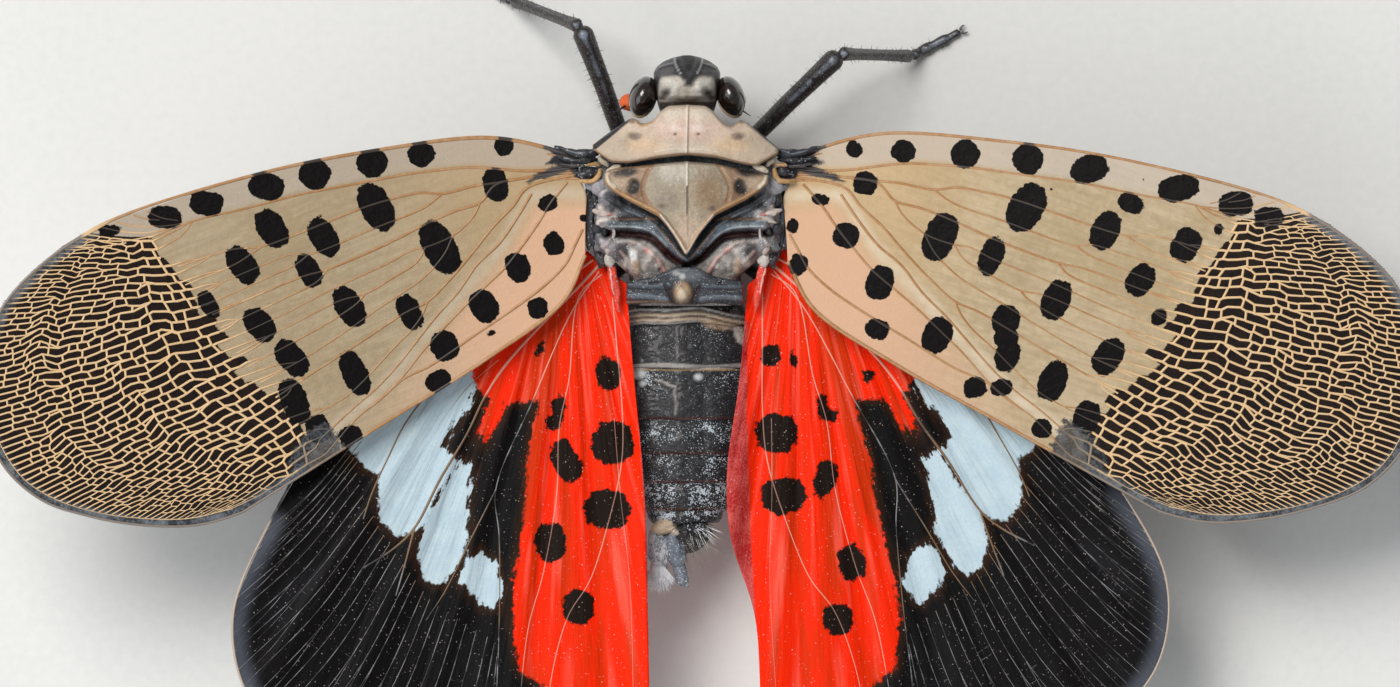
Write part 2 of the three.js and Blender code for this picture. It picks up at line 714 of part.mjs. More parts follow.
// Finishes
const finish = (color, roughness) => new THREE.MeshStandardMaterial({ color, roughness });
const FINISHES = {
  horn: () => finish(0xb9a184, 0.45),
  dark: () => finish(0x1c1b1d, 0.3),
  rear: () => finish(0x3a3230, 0.4),
  tip: () => finish(0x8d949b, 0.6),
  eye: () => finish(0x1f1411, 0.12),
  feeler: () => finish(0xe0451c, 0.45),
  forewing: () => finish(0xb79f86, 0.55),
  hindwing: () => finish(0xd7261c, 0.5),
  leg: () => finish(0x151517, 0.28),
};

const model = new THREE.Group();

function add(name, geometry, material) {
  const mesh = new THREE.Mesh(geometry, material);
  mesh.name = name;
  model.add(mesh);
}

add('head', head(), FINISHES.horn());
add('rostrum', rostrum(), FINISHES.dark());
add('pronotum', pronotum(), FINISHES.horn());
add('thorax', thorax(), FINISHES.rear());
add('mesonotum', mesonotum(), FINISHES.horn());
add('metanotum', metanotum(), FINISHES.rear());
add('abdomen', abdomen(), FINISHES.dark());
add('terminalia', terminalia(), FINISHES.tip());
for (const side of [RIGHT, LEFT]) {
  add(`eye_${side.name}`, eye(side), FINISHES.eye());
  add(`antenna_${side.name}`, antenna(side), FINISHES.feeler());
  add(`forewing_${side.name}`, forewing(side), FINISHES.forewing());
  add(`hindwing_${side.name}`, hindwing(side), FINISHES.hindwing());
}
for (const [name, leg] of Object.entries(LEGS)) {
  add(`femur_${name}`, femur(leg), FINISHES.leg());
  add(`tibia_${name}`, tibia(leg, name.startsWith('hind')), FINISHES.leg());
  add(`tarsus_${name}`, tarsus(leg), FINISHES.leg());
}

// The origin is the bottom centre of the bounding box.
const box = new THREE.Box3().setFromObject(model);
const middle = box.getCenter(new THREE.Vector3());
model.position.set(-middle.x, -middle.y, -box.min.z);
model.updateMatrixWorld(true);

export default model;
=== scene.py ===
# %% [markdown]
# A spotted lanternfly with its wings spread, seen from above
#
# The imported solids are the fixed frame: they give every place and size. Here each of them is
# dressed with a finer surface, and this file does it one part at a time, from the camera and
# the light to the wings, the back, the legs and the last bristles.
#
# All sizes below are millimetres, measured from the point midway between the forewing hinges,
# at floor level, because that is how one measures an insect under a lens. One function, place,
# turns them into the metres of the shared frame.

# %% Load the frame
import json
import math
import random

import bpy
import numpy as np
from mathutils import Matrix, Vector, kdtree

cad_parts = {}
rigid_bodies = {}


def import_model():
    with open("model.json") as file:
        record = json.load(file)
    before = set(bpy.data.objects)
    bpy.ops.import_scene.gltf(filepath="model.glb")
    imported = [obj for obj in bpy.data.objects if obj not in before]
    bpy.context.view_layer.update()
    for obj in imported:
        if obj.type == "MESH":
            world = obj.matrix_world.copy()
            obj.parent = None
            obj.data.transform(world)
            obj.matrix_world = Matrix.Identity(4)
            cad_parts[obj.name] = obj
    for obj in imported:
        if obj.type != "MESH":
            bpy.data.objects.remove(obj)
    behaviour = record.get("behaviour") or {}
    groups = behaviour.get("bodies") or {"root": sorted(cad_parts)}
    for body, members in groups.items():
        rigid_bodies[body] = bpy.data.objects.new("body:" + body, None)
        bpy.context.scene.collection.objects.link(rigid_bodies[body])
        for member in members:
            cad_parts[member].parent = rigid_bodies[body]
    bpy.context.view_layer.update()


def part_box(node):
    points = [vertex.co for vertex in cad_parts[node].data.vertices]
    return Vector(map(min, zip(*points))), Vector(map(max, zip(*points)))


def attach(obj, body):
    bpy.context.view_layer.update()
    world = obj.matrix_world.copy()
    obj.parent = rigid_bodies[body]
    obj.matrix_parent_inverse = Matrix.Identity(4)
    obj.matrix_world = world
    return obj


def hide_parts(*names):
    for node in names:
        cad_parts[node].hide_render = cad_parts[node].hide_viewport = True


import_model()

# %% From millimetres on the insect to metres in the frame
MM = 0.001
THORAX_LEFT = -3.19
THORAX_FRONT = 1.22
thorax_low, thorax_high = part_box("thorax")
SHIFT = np.array([thorax_low.x / MM - THORAX_LEFT, thorax_high.y / MM - THORAX_FRONT, 0.0])


def place(points):
    """Insect millimetres to frame metres, for one point or a list of them."""
    return (np.asarray(points, float) + SHIFT) * MM


print("the insect's own zero lies at", np.round(SHIFT, 3), "mm in the frame")

# %% [markdown]
# The camera
#
# The picture was taken with a macro lens looking straight down, so the wings hardly change
# size with their height. A long lens far above gives the same flat perspective. The picture
# is 1400 pixels wide and one millimetre of insect takes 29 of them, which fixes how much the
# frame sees: it cuts the right wing's tip, the left front foot and the rear of the hindwings.

# %% Camera
PICTURE_WIDTH = 1400
PIXELS_PER_MM = 29.0
CAMERA_HEIGHT = 460.0
WING_LEVEL = 6.5
VIEW_CENTRE = (0.45, -6.26)
SENSOR = 36.0
CLIP_RANGE = (0.01, 3.0)

camera_data = bpy.data.cameras.new("camera")
camera_data.sensor_width = SENSOR
camera_data.lens = SENSOR * (CAMERA_HEIGHT - WING_LEVEL) / (PICTURE_WIDTH / PIXELS_PER_MM)
camera_data.clip_start, camera_data.clip_end = CLIP_RANGE
camera = bpy.data.objects.new("camera", camera_data)
camera.location = place((*VIEW_CENTRE, CAMERA_HEIGHT))
bpy.context.scene.collection.objects.link(camera)
bpy.context.scene.camera = camera
print("lens in mm:", round(camera_data.lens, 1))

# %% [markdown]
# Floor and light
#
# A pale, slightly rough sheet carries the insect. A large soft lamp high on one side gives the
# gloss of the shell and the shine along the folds, a weaker one fills the other side, and a
# pale sky keeps the shadows open. Lamps this close to a subject of five centimetres need only
# little power.

# %% Floor, lamps and sky
FLOOR_SIDE = 900.0
LAMP_AIM = (0, -6, 4)
SKY_COLOUR = (0.86, 0.9, 0.95, 1)
SKY_STRENGTH = 0.24
floor_data = bpy.data.meshes.new("floor")
half_floor = FLOOR_SIDE / 2
floor_corners = [(-half_floor, -half_floor, 0), (half_floor, -half_floor, 0)]
floor_corners += [(half_floor, half_floor, 0), (-half_floor, half_floor, 0)]
floor_data.from_pydata([tuple(np.array(c) * MM) for c in floor_corners], [], [(0, 1, 2, 3)])
floor = bpy.data.objects.new("floor", floor_data)
bpy.context.scene.collection.objects.link(floor)


def lamp(name, where, size, power, colour):
    """A square soft lamp at a place in millimetres that shines at the insect."""
    data = bpy.data.lights.new(name, "AREA")
    data.shape = "SQUARE"
    data.size = size * MM
    data.energy = power
    data.color = colour
    made = bpy.data.objects.new(name, data)
    made.location = place(where)
    aim = Vector(place(LAMP_AIM)) - made.location
    made.rotation_euler = aim.to_track_quat("-Z", "Y").to_euler()
    bpy.context.scene.collection.objects.link(made)
    return made


lamp("key_lamp", (-100, 110, 270), 150, 0.78, (1.0, 0.97, 0.93))
lamp("fill_lamp", (-200, -60, 170), 200, 0.2, (0.94, 0.97, 1.0))
lamp("rear_lamp", (20, -220, 150), 160, 0.16, (1.0, 0.98, 0.95))
sky = bpy.data.worlds.new("sky")
sky.use_nodes = True
sky.node_tree.nodes["Background"].inputs["Color"].default_value = SKY_COLOUR
sky.node_tree.nodes["Background"].inputs["Strength"].default_value = SKY_STRENGTH
bpy.context.scene.world = sky
bpy.context.scene.view_settings.view_transform = "Standard"

# %% [markdown]
# Helpers for meshes
#
# Every surface here is a grid of points worked out with numpy: rows and columns for a plate or
# a wing, rings for a tube or a body. The maker closes them, scales them into the frame and
# hands each vertex its measured values, such as the distance to the nearest spot, which the
# materials read later.

# %% Grids, rings and pieces
def make_piece(name, points, faces, material, values=None):
    """A smooth mesh object from points in insect millimetres."""
    data = bpy.data.meshes.new(name)
    data.from_pydata([tuple(p) for p in place(points)], [], [tuple(map(int, f)) for f in faces])
    data.validate()
    normals = np.empty(len(data.vertices) * 3, np.float32)
    data.vertices.foreach_get("normal", normals)
    for key, column in {**(values or {}), "upper": normals[2::3]}.items():
        vector_like = np.ndim(column) == 2
        kind = "FLOAT_VECTOR" if vector_like else "FLOAT"
        layer = data.attributes.new(key, kind, "POINT")
        layer.data.foreach_set("vector" if vector_like else "value", np.ravel(column).astype(np.float32))
    data.shade_smooth()
    data.materials.append(material)
    made = bpy.data.objects.new(name, data)
    bpy.context.scene.collection.objects.link(made)
    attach(made, "root")
    return made


def grid_faces(rows, columns, start=0, flip=False):
    """Quads of a grid whose points are stored row by row."""
    r, c = np.meshgrid(np.arange(rows - 1), np.arange(columns - 1), indexing="ij")
    a = (r * columns + c).ravel() + start
    quads = np.stack([a, a + 1, a + columns + 1, a + columns], 1)
    return quads[:, ::-1] if flip else quads


def shell_of(top, bottom):
    """Points and faces of a plate between two grids, closed all round its border."""
    rows, columns = top.shape[:2]
    count = rows * columns
    points = np.concatenate([top.reshape(-1, 3), bottom.reshape(-1, 3)])
    border = [c for c in range(columns)]
    border += [r * columns + columns - 1 for r in range(1, rows)]
    border += [(rows - 1) * columns + c for c in range(columns - 2, -1, -1)]
    border += [r * columns for r in range(rows - 2, 0, -1)]
    border = np.array(border)
    after = np.roll(border, -1)
    sides = np.stack([after, border, border + count, after + count], 1)
    faces = np.concatenate([grid_faces(rows, columns), grid_faces(rows, columns, count, True), sides])
    return points, outward(points, faces)


def outward(points, faces):
    """Turns all faces round when the closed surface they make is inside out."""
    tri = points[faces[:, :3]]
    volume = np.einsum("ij,ij->i", tri[:, 0], np.cross(tri[:, 1], tri[:, 2])).sum()
    if faces.shape[1] == 4:
        other = points[faces[:, [0, 2, 3]]]
        volume += np.einsum("ij,ij->i", other[:, 0], np.cross(other[:, 1], other[:, 2])).sum()
    return faces[:, ::-1] if volume < 0 else faces


def smooth_path(path, count):
    """Points evenly spaced on a smooth curve through a few given ones."""
    given = np.array(path, float)
    ends = np.concatenate([[2 * given[0] - given[1]], given, [2 * given[-1] - given[-2]]])
    knots = np.concatenate([[0], np.cumsum(np.linalg.norm(np.diff(ends, axis=0), axis=1) ** 0.5)])
    fine = []
    for k in range(1, len(ends) - 2):
        t = np.linspace(knots[k], knots[k + 1], 40, endpoint=k == len(ends) - 3)[:, None]
        t0, t1, t2, t3 = knots[k - 1:k + 3]
        p0, p1, p2, p3 = ends[k - 1:k + 3]
        a1 = (t1 - t) / (t1 - t0) * p0 + (t - t0) / (t1 - t0) * p1
        a2 = (t2 - t) / (t2 - t1) * p1 + (t - t1) / (t2 - t1) * p2
        a3 = (t3 - t) / (t3 - t2) * p2 + (t - t2) / (t3 - t2) * p3
        b1 = (t2 - t) / (t2 - t0) * a1 + (t - t0) / (t2 - t0) * a2
        b2 = (t3 - t) / (t3 - t1) * a2 + (t - t1) / (t3 - t1) * a3
        fine.append((t2 - t) / (t2 - t1) * b1 + (t - t1) / (t2 - t1) * b2)
    fine = np.concatenate(fine)
    run = np.concatenate([[0], np.cumsum(np.linalg.norm(np.diff(fine, axis=0), axis=1))])
    wanted = np.linspace(0, run[-1], count)
    return np.stack([np.interp(wanted, run, fine[:, axis]) for axis in range(fine.shape[1])], 1)


def ease(value, low, high):
    """0 below low, 1 above high and a soft step between."""
    t = np.clip((value - low) / (high - low), 0, 1)
    return t * t * (3 - 2 * t)


NOISE_TABLE = np.random.default_rng(7).random((16, 16, 16))


def grain(points, scale):
    """Smooth noise from -1 to 1 with lumps of about 1 / scale millimetres."""
    spot = np.asarray(points, float) * scale
    cell = np.floor(spot).astype(int)
    t = spot - cell
    t = t * t * (3 - 2 * t)
    total = np.zeros(len(spot))
    for corner in np.ndindex(2, 2, 2):
        weight = np.prod(np.where(corner, t, 1 - t), axis=1)
        index = (cell + corner) % 16
        total += weight * NOISE_TABLE[index[:, 0], index[:, 1], index[:, 2]]
    return 2 * total - 1


print("grid of 3 by 4 points has", len(grid_faces(3, 4)), "faces")

# %% [markdown]
# Helpers for materials
#
# A material is a small tree of nodes. One function adds a node with its settings and inputs in
# a single line, which keeps the trees readable. Object coordinates are metres here, so each
# pattern first multiplies them by a thousand and then works in millimetres.

# %% Node helper and first shader groups
def fill_inputs(tree, made, inputs):
    """Sets a node's inputs to values, or links them to sockets."""
    for key, value in (inputs or {}).items():
        if isinstance(value, bpy.types.NodeSocket):
            tree.links.new(value, made.inputs[key])
        else:
            made.inputs[key].default_value = value
    return made


def node(tree, kind, inputs=None, **settings):
    """Adds a node. An input may be a value or another node's output."""
    made = tree.nodes.new(kind)
    for key, value in settings.items():
        setattr(made, key, value)
    return fill_inputs(tree, made, inputs)


def maths(tree, operation, first, second=0.0):
    """The result of one sum on values or sockets."""
    return node(tree, "ShaderNodeMath", {0: first, 1: second}, operation=operation).outputs[0]


def times(tree, first, second):
    """The product of two values or sockets."""
    return maths(tree, "MULTIPLY", first, second)


def blend_colours(tree, share, first, second):
    """A mix of two colours, each a value or a socket."""
    made = node(tree, "ShaderNodeMix", {"Factor": share}, data_type="RGBA")
    for index, value in ((6, first), (7, second)):
        if isinstance(value, bpy.types.NodeSocket):
            tree.links.new(value, made.inputs[index])
        else:
            made.inputs[index].default_value = (*value, 1)
    return made.outputs[2]


def soft_step(tree, value, low, high):
    """0 below low, 1 above high."""
    inputs = {"Value": value, "From Min": low, "From Max": high}
    return node(tree, "ShaderNodeMapRange", inputs, interpolation_type="SMOOTHSTEP").outputs[0]


def attribute(tree, name, output="Fac"):
    """Reads a value that the mesh maker stored on each vertex."""
    return node(tree, "ShaderNodeAttribute", attribute_name=name).outputs[output]


def group_shell(name, inputs, outputs):
    """An empty shader group with named sockets, and its two end nodes."""
    group = bpy.data.node_groups.new(name, "ShaderNodeTree")
    for key, kind, value in inputs:
        socket = group.interface.new_socket(key, in_out="INPUT", socket_type=kind)
        socket.default_value = value
    for key, kind in outputs:
        group.interface.new_socket(key, in_out="OUTPUT", socket_type=kind)
    return group, group.nodes.new("NodeGroupInput"), group.nodes.new("NodeGroupOutput")


def use_group(tree, group, inputs=None):
    """Places a shader group in a material with its own values."""
    made = tree.nodes.new("ShaderNodeGroup")
    made.node_tree = group
    return fill_inputs(tree, made, inputs)


def millimetres(tree):
    """Object coordinates in millimetres."""
    where = node(tree, "ShaderNodeTexCoord").outputs["Object"]
    return node(tree, "ShaderNodeVectorMath", {0: where, "Scale": 1000.0}, operation="SCALE").outputs[0]


def noise(tree, where, scale, detail=2.0, roughness=0.5):
    """Soft noise from 0 to 1."""
    inputs = {"Vector": where, "Scale": scale, "Detail": detail, "Roughness": roughness}
    return node(tree, "ShaderNodeTexNoise", inputs).outputs["Fac"]


def new_material(name):
    """A material with only its output and a Principled shader."""
    made = bpy.data.materials.new(name)
    made.use_nodes = True
    tree = made.node_tree
    return made, tree, tree.nodes["Principled BSDF"]


def bumped(tree, shader, strength, distance, height):
    """Small relief on a shader: height is a socket, distance in metres."""
    bump = node(tree, "ShaderNodeBump", {"Strength": strength, "Distance": distance, "Height": height})
    tree.links.new(bump.outputs[0], shader.inputs["Normal"])


def ragged_group():
    """An edge that is torn a little, as pigment ends in real wings: distance in, mask out."""
    inputs = [("Distance", "NodeSocketFloat", 0.0), ("Rough", "NodeSocketFloat", 0.08),
              ("Soft", "NodeSocketFloat", 0.03), ("Scale", "NodeSocketFloat", 6.0)]
    group, start, end = group_shell("ragged edge", inputs, [("Mask", "NodeSocketFloat")])
    tear = noise(group, millimetres(group), start.outputs["Scale"], 3.0, 0.65)
    lifted = maths(group, "SUBTRACT", tear, 0.5)
    torn = times(group, lifted, start.outputs["Rough"])
    pushed = maths(group, "ADD", start.outputs["Distance"], torn)
    low = times(group, start.outputs["Soft"], -1.0)
    step = node(group, "ShaderNodeMapRange", {"Value": pushed, "From Min": start.outputs["Soft"],
                                              "From Max": low},
                interpolation_type="SMOOTHSTEP")
    group.links.new(step.outputs[0], end.inputs["Mask"])
    return group


def mottle_group():
    """Two sizes of soft blotches mixed into one value from 0 to 1."""
    inputs = [("Large", "NodeSocketFloat", 0.8), ("Small", "NodeSocketFloat", 6.0)]
    group, start, end = group_shell("mottle", inputs, [("Value", "NodeSocketFloat")])
    where = millimetres(group)
    large = noise(group, where, start.outputs["Large"], 2.0)
    small = noise(group, where, start.outputs["Small"], 4.0)
    both = maths(group, "ADD", large, small)
    spread = soft_step(group, both, 0.7, 1.3)
    group.links.new(spread, end.inputs["Value"])
    return group


def wax_group():
    """Specks of pale wax: single flecks where there is little, and a torn crust where there is much."""
    inputs = [("Amount", "NodeSocketFloat", 0.5), ("Scale", "NodeSocketFloat", 9.0)]
    group, start, end = group_shell("wax specks", inputs, [("Mask", "NodeSocketFloat")])
    where = millimetres(group)
    cells = node(group, "ShaderNodeTexVoronoi", {"Vector": where, "Scale": start.outputs["Scale"],
                                                 "Randomness": 1.0})
    clouds = noise(group, where, 2.4, 5.0, 0.75)
    fine = noise(group, where, 15.0, 4.0, 0.7)
    cloud = soft_step(group, clouds, 0.34, 0.72)
    wanted = times(group, maths(group, "ADD", cloud, 0.12), start.outputs["Amount"])
    speck = maths(group, "SUBTRACT", times(group, wanted, 0.62), cells.outputs["Distance"])
    rough = times(group, maths(group, "SUBTRACT", fine, 0.5), 1.3)
    mask = soft_step(group, maths(group, "ADD", speck, rough), -0.08, 0.16)
    group.links.new(mask, end.inputs["Mask"])
    return group


RAGGED = ragged_group()
MOTTLE = mottle_group()
WAX = wax_group()
print("shader groups:", [g.name for g in bpy.data.node_groups])

# %% Paper floor
paper, paper_tree, paper_shader = new_material("floor_paper")
paper_fleck = use_group(paper_tree, MOTTLE, {"Large": 0.05, "Small": 3.0}).outputs[0]
paper_colour = blend_colours(paper_tree, paper_fleck, (0.74, 0.75, 0.74), (0.78, 0.785, 0.775))
paper_tree.links.new(paper_colour, paper_shader.inputs["Base Color"])
paper_shader.inputs["Roughness"].default_value = 0.8
floor_data.materials.append(paper)
print("floor is", FLOOR_SIDE, "mm square")

# %% [markdown]
# The shape of the wings
#
# A wing is a thin skin stretched over veins that run from the hinge to the outer margin. The
# solids are drawn over the same few vein lines, so the render's skin uses them again: every
# line becomes a smooth path, and the skin is laid across the paths in many small steps. In
# plan a wing is flat; one height function then lifts all four, steeply on the left side and
# less on the right, as this insect holds them.

# %% Wing lines, hinges and heights
FOREWING_LINES = [
    [(0.1, 0), (1.1, 0.9), (3, 2.05), (7, 3.1), (11, 3.8), (16.6, 4.17)],
    [(0.28, -0.14), (2.33, 0.5), (5, 1.58), (10, 2.58), (14, 3.09), (19.2, 3.68)],
    [(0.35, -0.28), (3.33, 0.42), (5.25, 0.8), (7, 1.23), (12, 1.4), (21.4, 2.62)],
    [(0.39, -0.42), (3.33, 0.28), (5.3, 0.55), (8, 0.48), (12, 0.3), (22.75, 0.95)],
    [(0.4, -0.56), (3.3, 0.1), (5, 0), (8, -0.23), (12, -0.6), (23.38, -0.8)],
    [(0.4, -0.7), (3.3, -0.1), (5.4, -0.68), (8, -0.92), (12, -1.45), (23.4, -2.6)],
    [(0.4, -0.84), (3.3, -0.3), (5.4, -0.95), (7, -1.83), (12, -2.96), (22.6, -4.25)],
    [(0.4, -0.98), (3, -0.6), (5, -1.63), (7.17, -2.62), (12, -3.6), (21.2, -5.45)],
    [(0.41, -1.12), (3, -0.85), (5, -1.86), (7.3, -2.9), (10, -4.33), (19.6, -6.42)],
    [(0.45, -1.3), (3, -1.15), (5, -2.2), (8, -3.83), (12.2, -5.7), (18, -7.08)],
    [(0.85, -2.2), (2, -3.0), (4, -3.9), (8, -4.85), (11, -5.75), (16.9, -7.27)],
    [(1.25, -3.2), (2.6, -4.45), (6, -5.4), (10, -6.15), (16.1, -7.3)],
]
HINDWING_LINES = [
    [(0.7, 0.45), (2.5, 0.3), (5, -0.8), (9.6, -4.9), (12, -8.45)],
    [(0.55, 0.3), (5, -1.9), (8, -4.6), (10.6, -8.4), (13.4, -11.6)],
    [(0.4, 0.16), (4.8, -2.9), (7.1, -5.3), (8.7, -8.3), (13.1, -14.2)],
    [(0.25, 0.02), (3.6, -3.2), (5.1, -5.7), (7.2, -8.9), (11.7, -16)],
    [(0.1, -0.12), (3.3, -3.4), (4.8, -5.9), (6.8, -9.1), (9.3, -17)],
    [(-0.05, -0.26), (2.95, -4.7), (4.35, -7.7), (6.07, -11.1), (6.9, -17.25)],
    [(-0.2, -0.4), (2.7, -4.7), (4, -7.7), (4.3, -12.6), (4.6, -17.1)],
    [(-0.35, -0.54), (1.5, -4), (2.1, -8), (3.1, -12.6), (2.8, -16.85)],
    [(-0.5, -0.66), (-0.25, -5.1), (0.3, -8.7), (1.5, -12), (1.1, -16.5)],
]
HINDWING_INNER_EDGE = {
    "right": [(-0.62, -0.76), (-1.05, -4), (-1.62, -7.2), (-1.6, -9.4), (-0.88, -12.2), (-0.8, -15.3)],
    "left": [(-0.62, -0.76), (-0.75, -4), (-0.92, -7.2), (-0.95, -9.4), (-0.88, -12.2), (-0.8, -15.3)],
}
SIDES = {"right": 1, "left": -1}
DIHEDRAL = {"right": 4, "left": 13}
FOREWING_PLACE = {"right": (3.31, 0.0, 18.5, 1.0), "left": (3.52, 0.07, 21.5, 0.955)}
HINDWING_PLACE = {"right": (2.69, -3.45, -2.5, 1.0), "left": (2.76, -3.45, 2.5, 1.0)}
WING_ROOT_Z = 5.9
WING_DROP = 1.1
WING_CAMBER = 0.6
HINGE_X = 3.3


def wing_height(side, x, y):
    """The middle of a forewing's skin above the floor."""
    out = np.maximum(0, np.abs(x) - HINGE_X)
    rise = math.tan(math.radians(DIHEDRAL[side])) * out * out / (out + 2)
    bend = 1 - np.exp(-(((y + 3) / 5) ** 2))
    return WING_ROOT_Z + rise - WING_CAMBER * bend * ease(out, 0, 6)


def hindwing_height(side, x, y):
    """The same for a hindwing, which lies lower and climbs onto the abdomen at its inner edge."""
    return wing_height(side, x, y) - WING_DROP + 0.4 * ease(2.4 - np.abs(x), 0, 1)


def onto_body(side, hinge, points):
    """From a wing's own plane to the insect's plan."""
    x, y, sweep, scale = hinge
    turn = math.radians(sweep)
    u, v = points[..., 0], points[..., 1]
    out = x + scale * (u * math.cos(turn) + v * math.sin(turn))
    return SIDES[side] * out, y + scale * (v * math.cos(turn) - u * math.sin(turn))


def across(columns, line, share):
    """Points between two neighbouring lines, on a smooth curve across all of them."""
    def slope(index):
        before, here = columns[max(index - 1, 0)], columns[index]
        after = columns[min(index + 1, len(columns) - 1)]
        gaps = [np.linalg.norm(other - here, axis=1) for other in (before, after) if other is not here]
        chord = after - before
        length = np.maximum(np.linalg.norm(chord, axis=1), 1e-9)
        return chord / length[:, None] * np.min(gaps, axis=0)[:, None]

    t2, t3 = share ** 2, share ** 3
    return ((2 * t3 - 3 * t2 + 1) * columns[line] + (t3 - 2 * t2 + share) * slope(line)
            + (3 * t2 - 2 * t3) * columns[line + 1] + (t3 - t2) * slope(line + 1))


def lay_skin(lines, stations, step):
    """A fine grid over the lines: rows run along the veins. Gives plan points."""
    columns = [smooth_path(path, stations) for path in lines]
    rows = []
    for line in range(len(columns) - 1):
        widest = np.linalg.norm(columns[line + 1] - columns[line], axis=1).max()
        count = max(2, math.ceil(widest / step))
        for k in range(count):
            rows.append(across(columns, line, k / count))
    rows.append(columns[-1])
    return np.array(rows)


fore_plan = lay_skin(FOREWING_LINES, 230, 0.11)
print("forewing grid:", fore_plan.shape[:2], "points, of", len(FOREWING_LINES), "lines")

# %% [markdown]
# Where the markings lie
#
# Spots are round-ended blots, so each is an ellipse with a middle, two half sizes and a lean,
# and every vertex of a wing learns how far it is from the nearest rim: below zero is inside.
# The material only has to cut that distance at zero, which gives a sharp rim on any mesh, and
# a little noise makes it ragged. The two forewings of an insect never match spot for spot, so
# each has its own list.

# %% Spots and distances
FORE_SPOTS = {
    "right": [
        (2.18, 1.22, 0.30, 0.27, -30), (3.83, 1.68, 0.40, 0.40, -30), (5.88, 2.26, 0.48, 0.49, -30),
        (7.97, 2.78, 0.53, 0.53, -30), (10.1, 3.12, 0.66, 0.48, 35), (13.22, 3.47, 0.7, 0.46, 30),
        (15.25, 3.58, 0.6, 0.44, 25), (16.5, 3.5, 0.52, 0.36, 20), (2.93, 0.22, 0.42, 0.42, 0),
        (8.46, 1.18, 0.60, 0.88, -12), (11.29, 1.29, 0.48, 0.69, -10), (11.83, 2.45, 0.46, 0.34, -10),
        (14.07, 1.7, 0.48, 0.6, -15), (14.98, 2.57, 0.17, 0.2, 0), (12.97, 0.03, 0.46, 0.6, -15),
        (14.0, -0.95, 0.25, 0.31, 0), (12.77, -2.8, 0.48, 0.69, -15), (5.96, -0.72, 0.55, 0.89, -5),
        (7.85, -0.81, 0.40, 0.69, -3), (10.44, -1.52, 0.48, 0.71, -5), (9.03, -2.73, 0.48, 0.53, 0),
        (9.23, -3.3, 0.42, 0.4, 0), (9.46, -3.86, 0.42, 0.58, 0), (11.23, -4.21, 0.48, 0.72, -5),
        (1.65, -0.79, 0.30, 0.19, 10), (2.87, -1.71, 0.46, 0.45, 0), (1.03, -1.98, 0.20, 0.26, 10),
        (1.63, -3.18, 0.31, 0.36, 5), (4.49, -2.89, 0.48, 0.6, 0), (4.93, -4.43, 0.42, 0.36, 0),
        (6.95, -3.97, 0.5, 0.62, -10), (8.75, -5.27, 0.40, 0.36, 30), (9.63, -4.98, 0.38, 0.3, 20),
        (11.4, -5.88, 0.36, 0.33, 0), (12.73, -5.03, 0.45, 0.6, 0), (9.06, 2.04, 0.05, 0.04, 0),
        (12.0, 3.37, 0.05, 0.05, 0),
    ],
    "left": [
        (2.54, 1.55, 0.36, 0.34, -30), (5.42, 2.35, 0.46, 0.48, -30), (7.18, 2.72, 0.54, 0.54, -30),
        (9.24, 3.08, 0.55, 0.56, -30), (11.0, 3.29, 0.65, 0.5, 35), (13.22, 3.5, 0.62, 0.45, 30),
        (14.77, 3.57, 0.6, 0.42, 25), (16.8, 3.85, 0.38, 0.2, 15), (3.33, 0.36, 0.46, 0.6, 10),
        (7.62, 1.16, 0.56, 0.92, -8), (9.78, 0.83, 0.47, 0.74, -10), (11.38, 1.81, 0.5, 0.77, -12),
        (10.7, -0.08, 0.40, 0.65, -10), (12.83, 0.97, 0.47, 0.76, -15), (14.48, 0.09, 0.30, 0.55, -10),
        (13.06, -1.26, 0.47, 0.69, -18), (12.44, -2.78, 0.48, 0.75, -18), (6.03, -1.02, 0.58, 1.03, -8),
        (9.84, -1.83, 0.48, 0.79, -10), (7.89, -2.8, 0.40, 0.68, -3), (10.54, -4.14, 0.44, 0.85, -5),
        (12.92, -4.27, 0.48, 0.86, 0), (12.5, -5.5, 0.45, 0.5, 0), (1.82, -0.96, 0.36, 0.3, 0),
        (2.16, -2.4, 0.36, 0.44, 0), (3.68, -2.72, 0.44, 0.54, 0), (0.81, -1.93, 0.12, 0.15, 0),
        (3.54, -4.35, 0.38, 0.37, 0), (5.33, -3.58, 0.5, 0.62, -10), (5.44, -4.57, 0.14, 0.08, 0),
        (7.18, -4.4, 0.5, 0.56, -5), (7.85, -5.48, 0.46, 0.38, -10), (11.52, -6.2, 0.42, 0.42, 0),
        (9.61, 1.6, 0.05, 0.04, 0),
    ],
}
HIND_SPOTS = {
    "right": [
        (0.05, -3.22, 0.36, 0.36, 0), (0.87, -3.45, 0.13, 0.28, 0), (3.4, -4.1, 0.22, 0.22, 0),
        (0.14, -5.95, 0.74, 0.68, 0), (1.78, -5.1, 0.2, 0.42, 0), (2.05, -5.4, 0.3, 0.22, 0),
        (1.77, -7.58, 0.4, 0.66, -18), (0.31, -8.1, 0.8, 0.64, 5), (2.55, -10.5, 0.48, 0.64, 10),
        (2.0, -12.45, 0.5, 0.55, 0),
    ],
    "left": [
        (0.14, -3.84, 0.44, 0.57, 0), (0.08, -6.24, 0.75, 0.72, 0), (0.37, -8.55, 0.8, 0.66, 5),
        (1.73, -6.83, 0.48, 0.76, -22), (1.9, -5.0, 0.24, 0.5, 10), (2.1, -5.45, 0.26, 0.3, 0),
        (2.4, -9.6, 0.54, 0.67, 0), (1.53, -11.9, 0.56, 0.6, 0), (2.47, -2.9, 0.13, 0.22, 20),
    ],
}


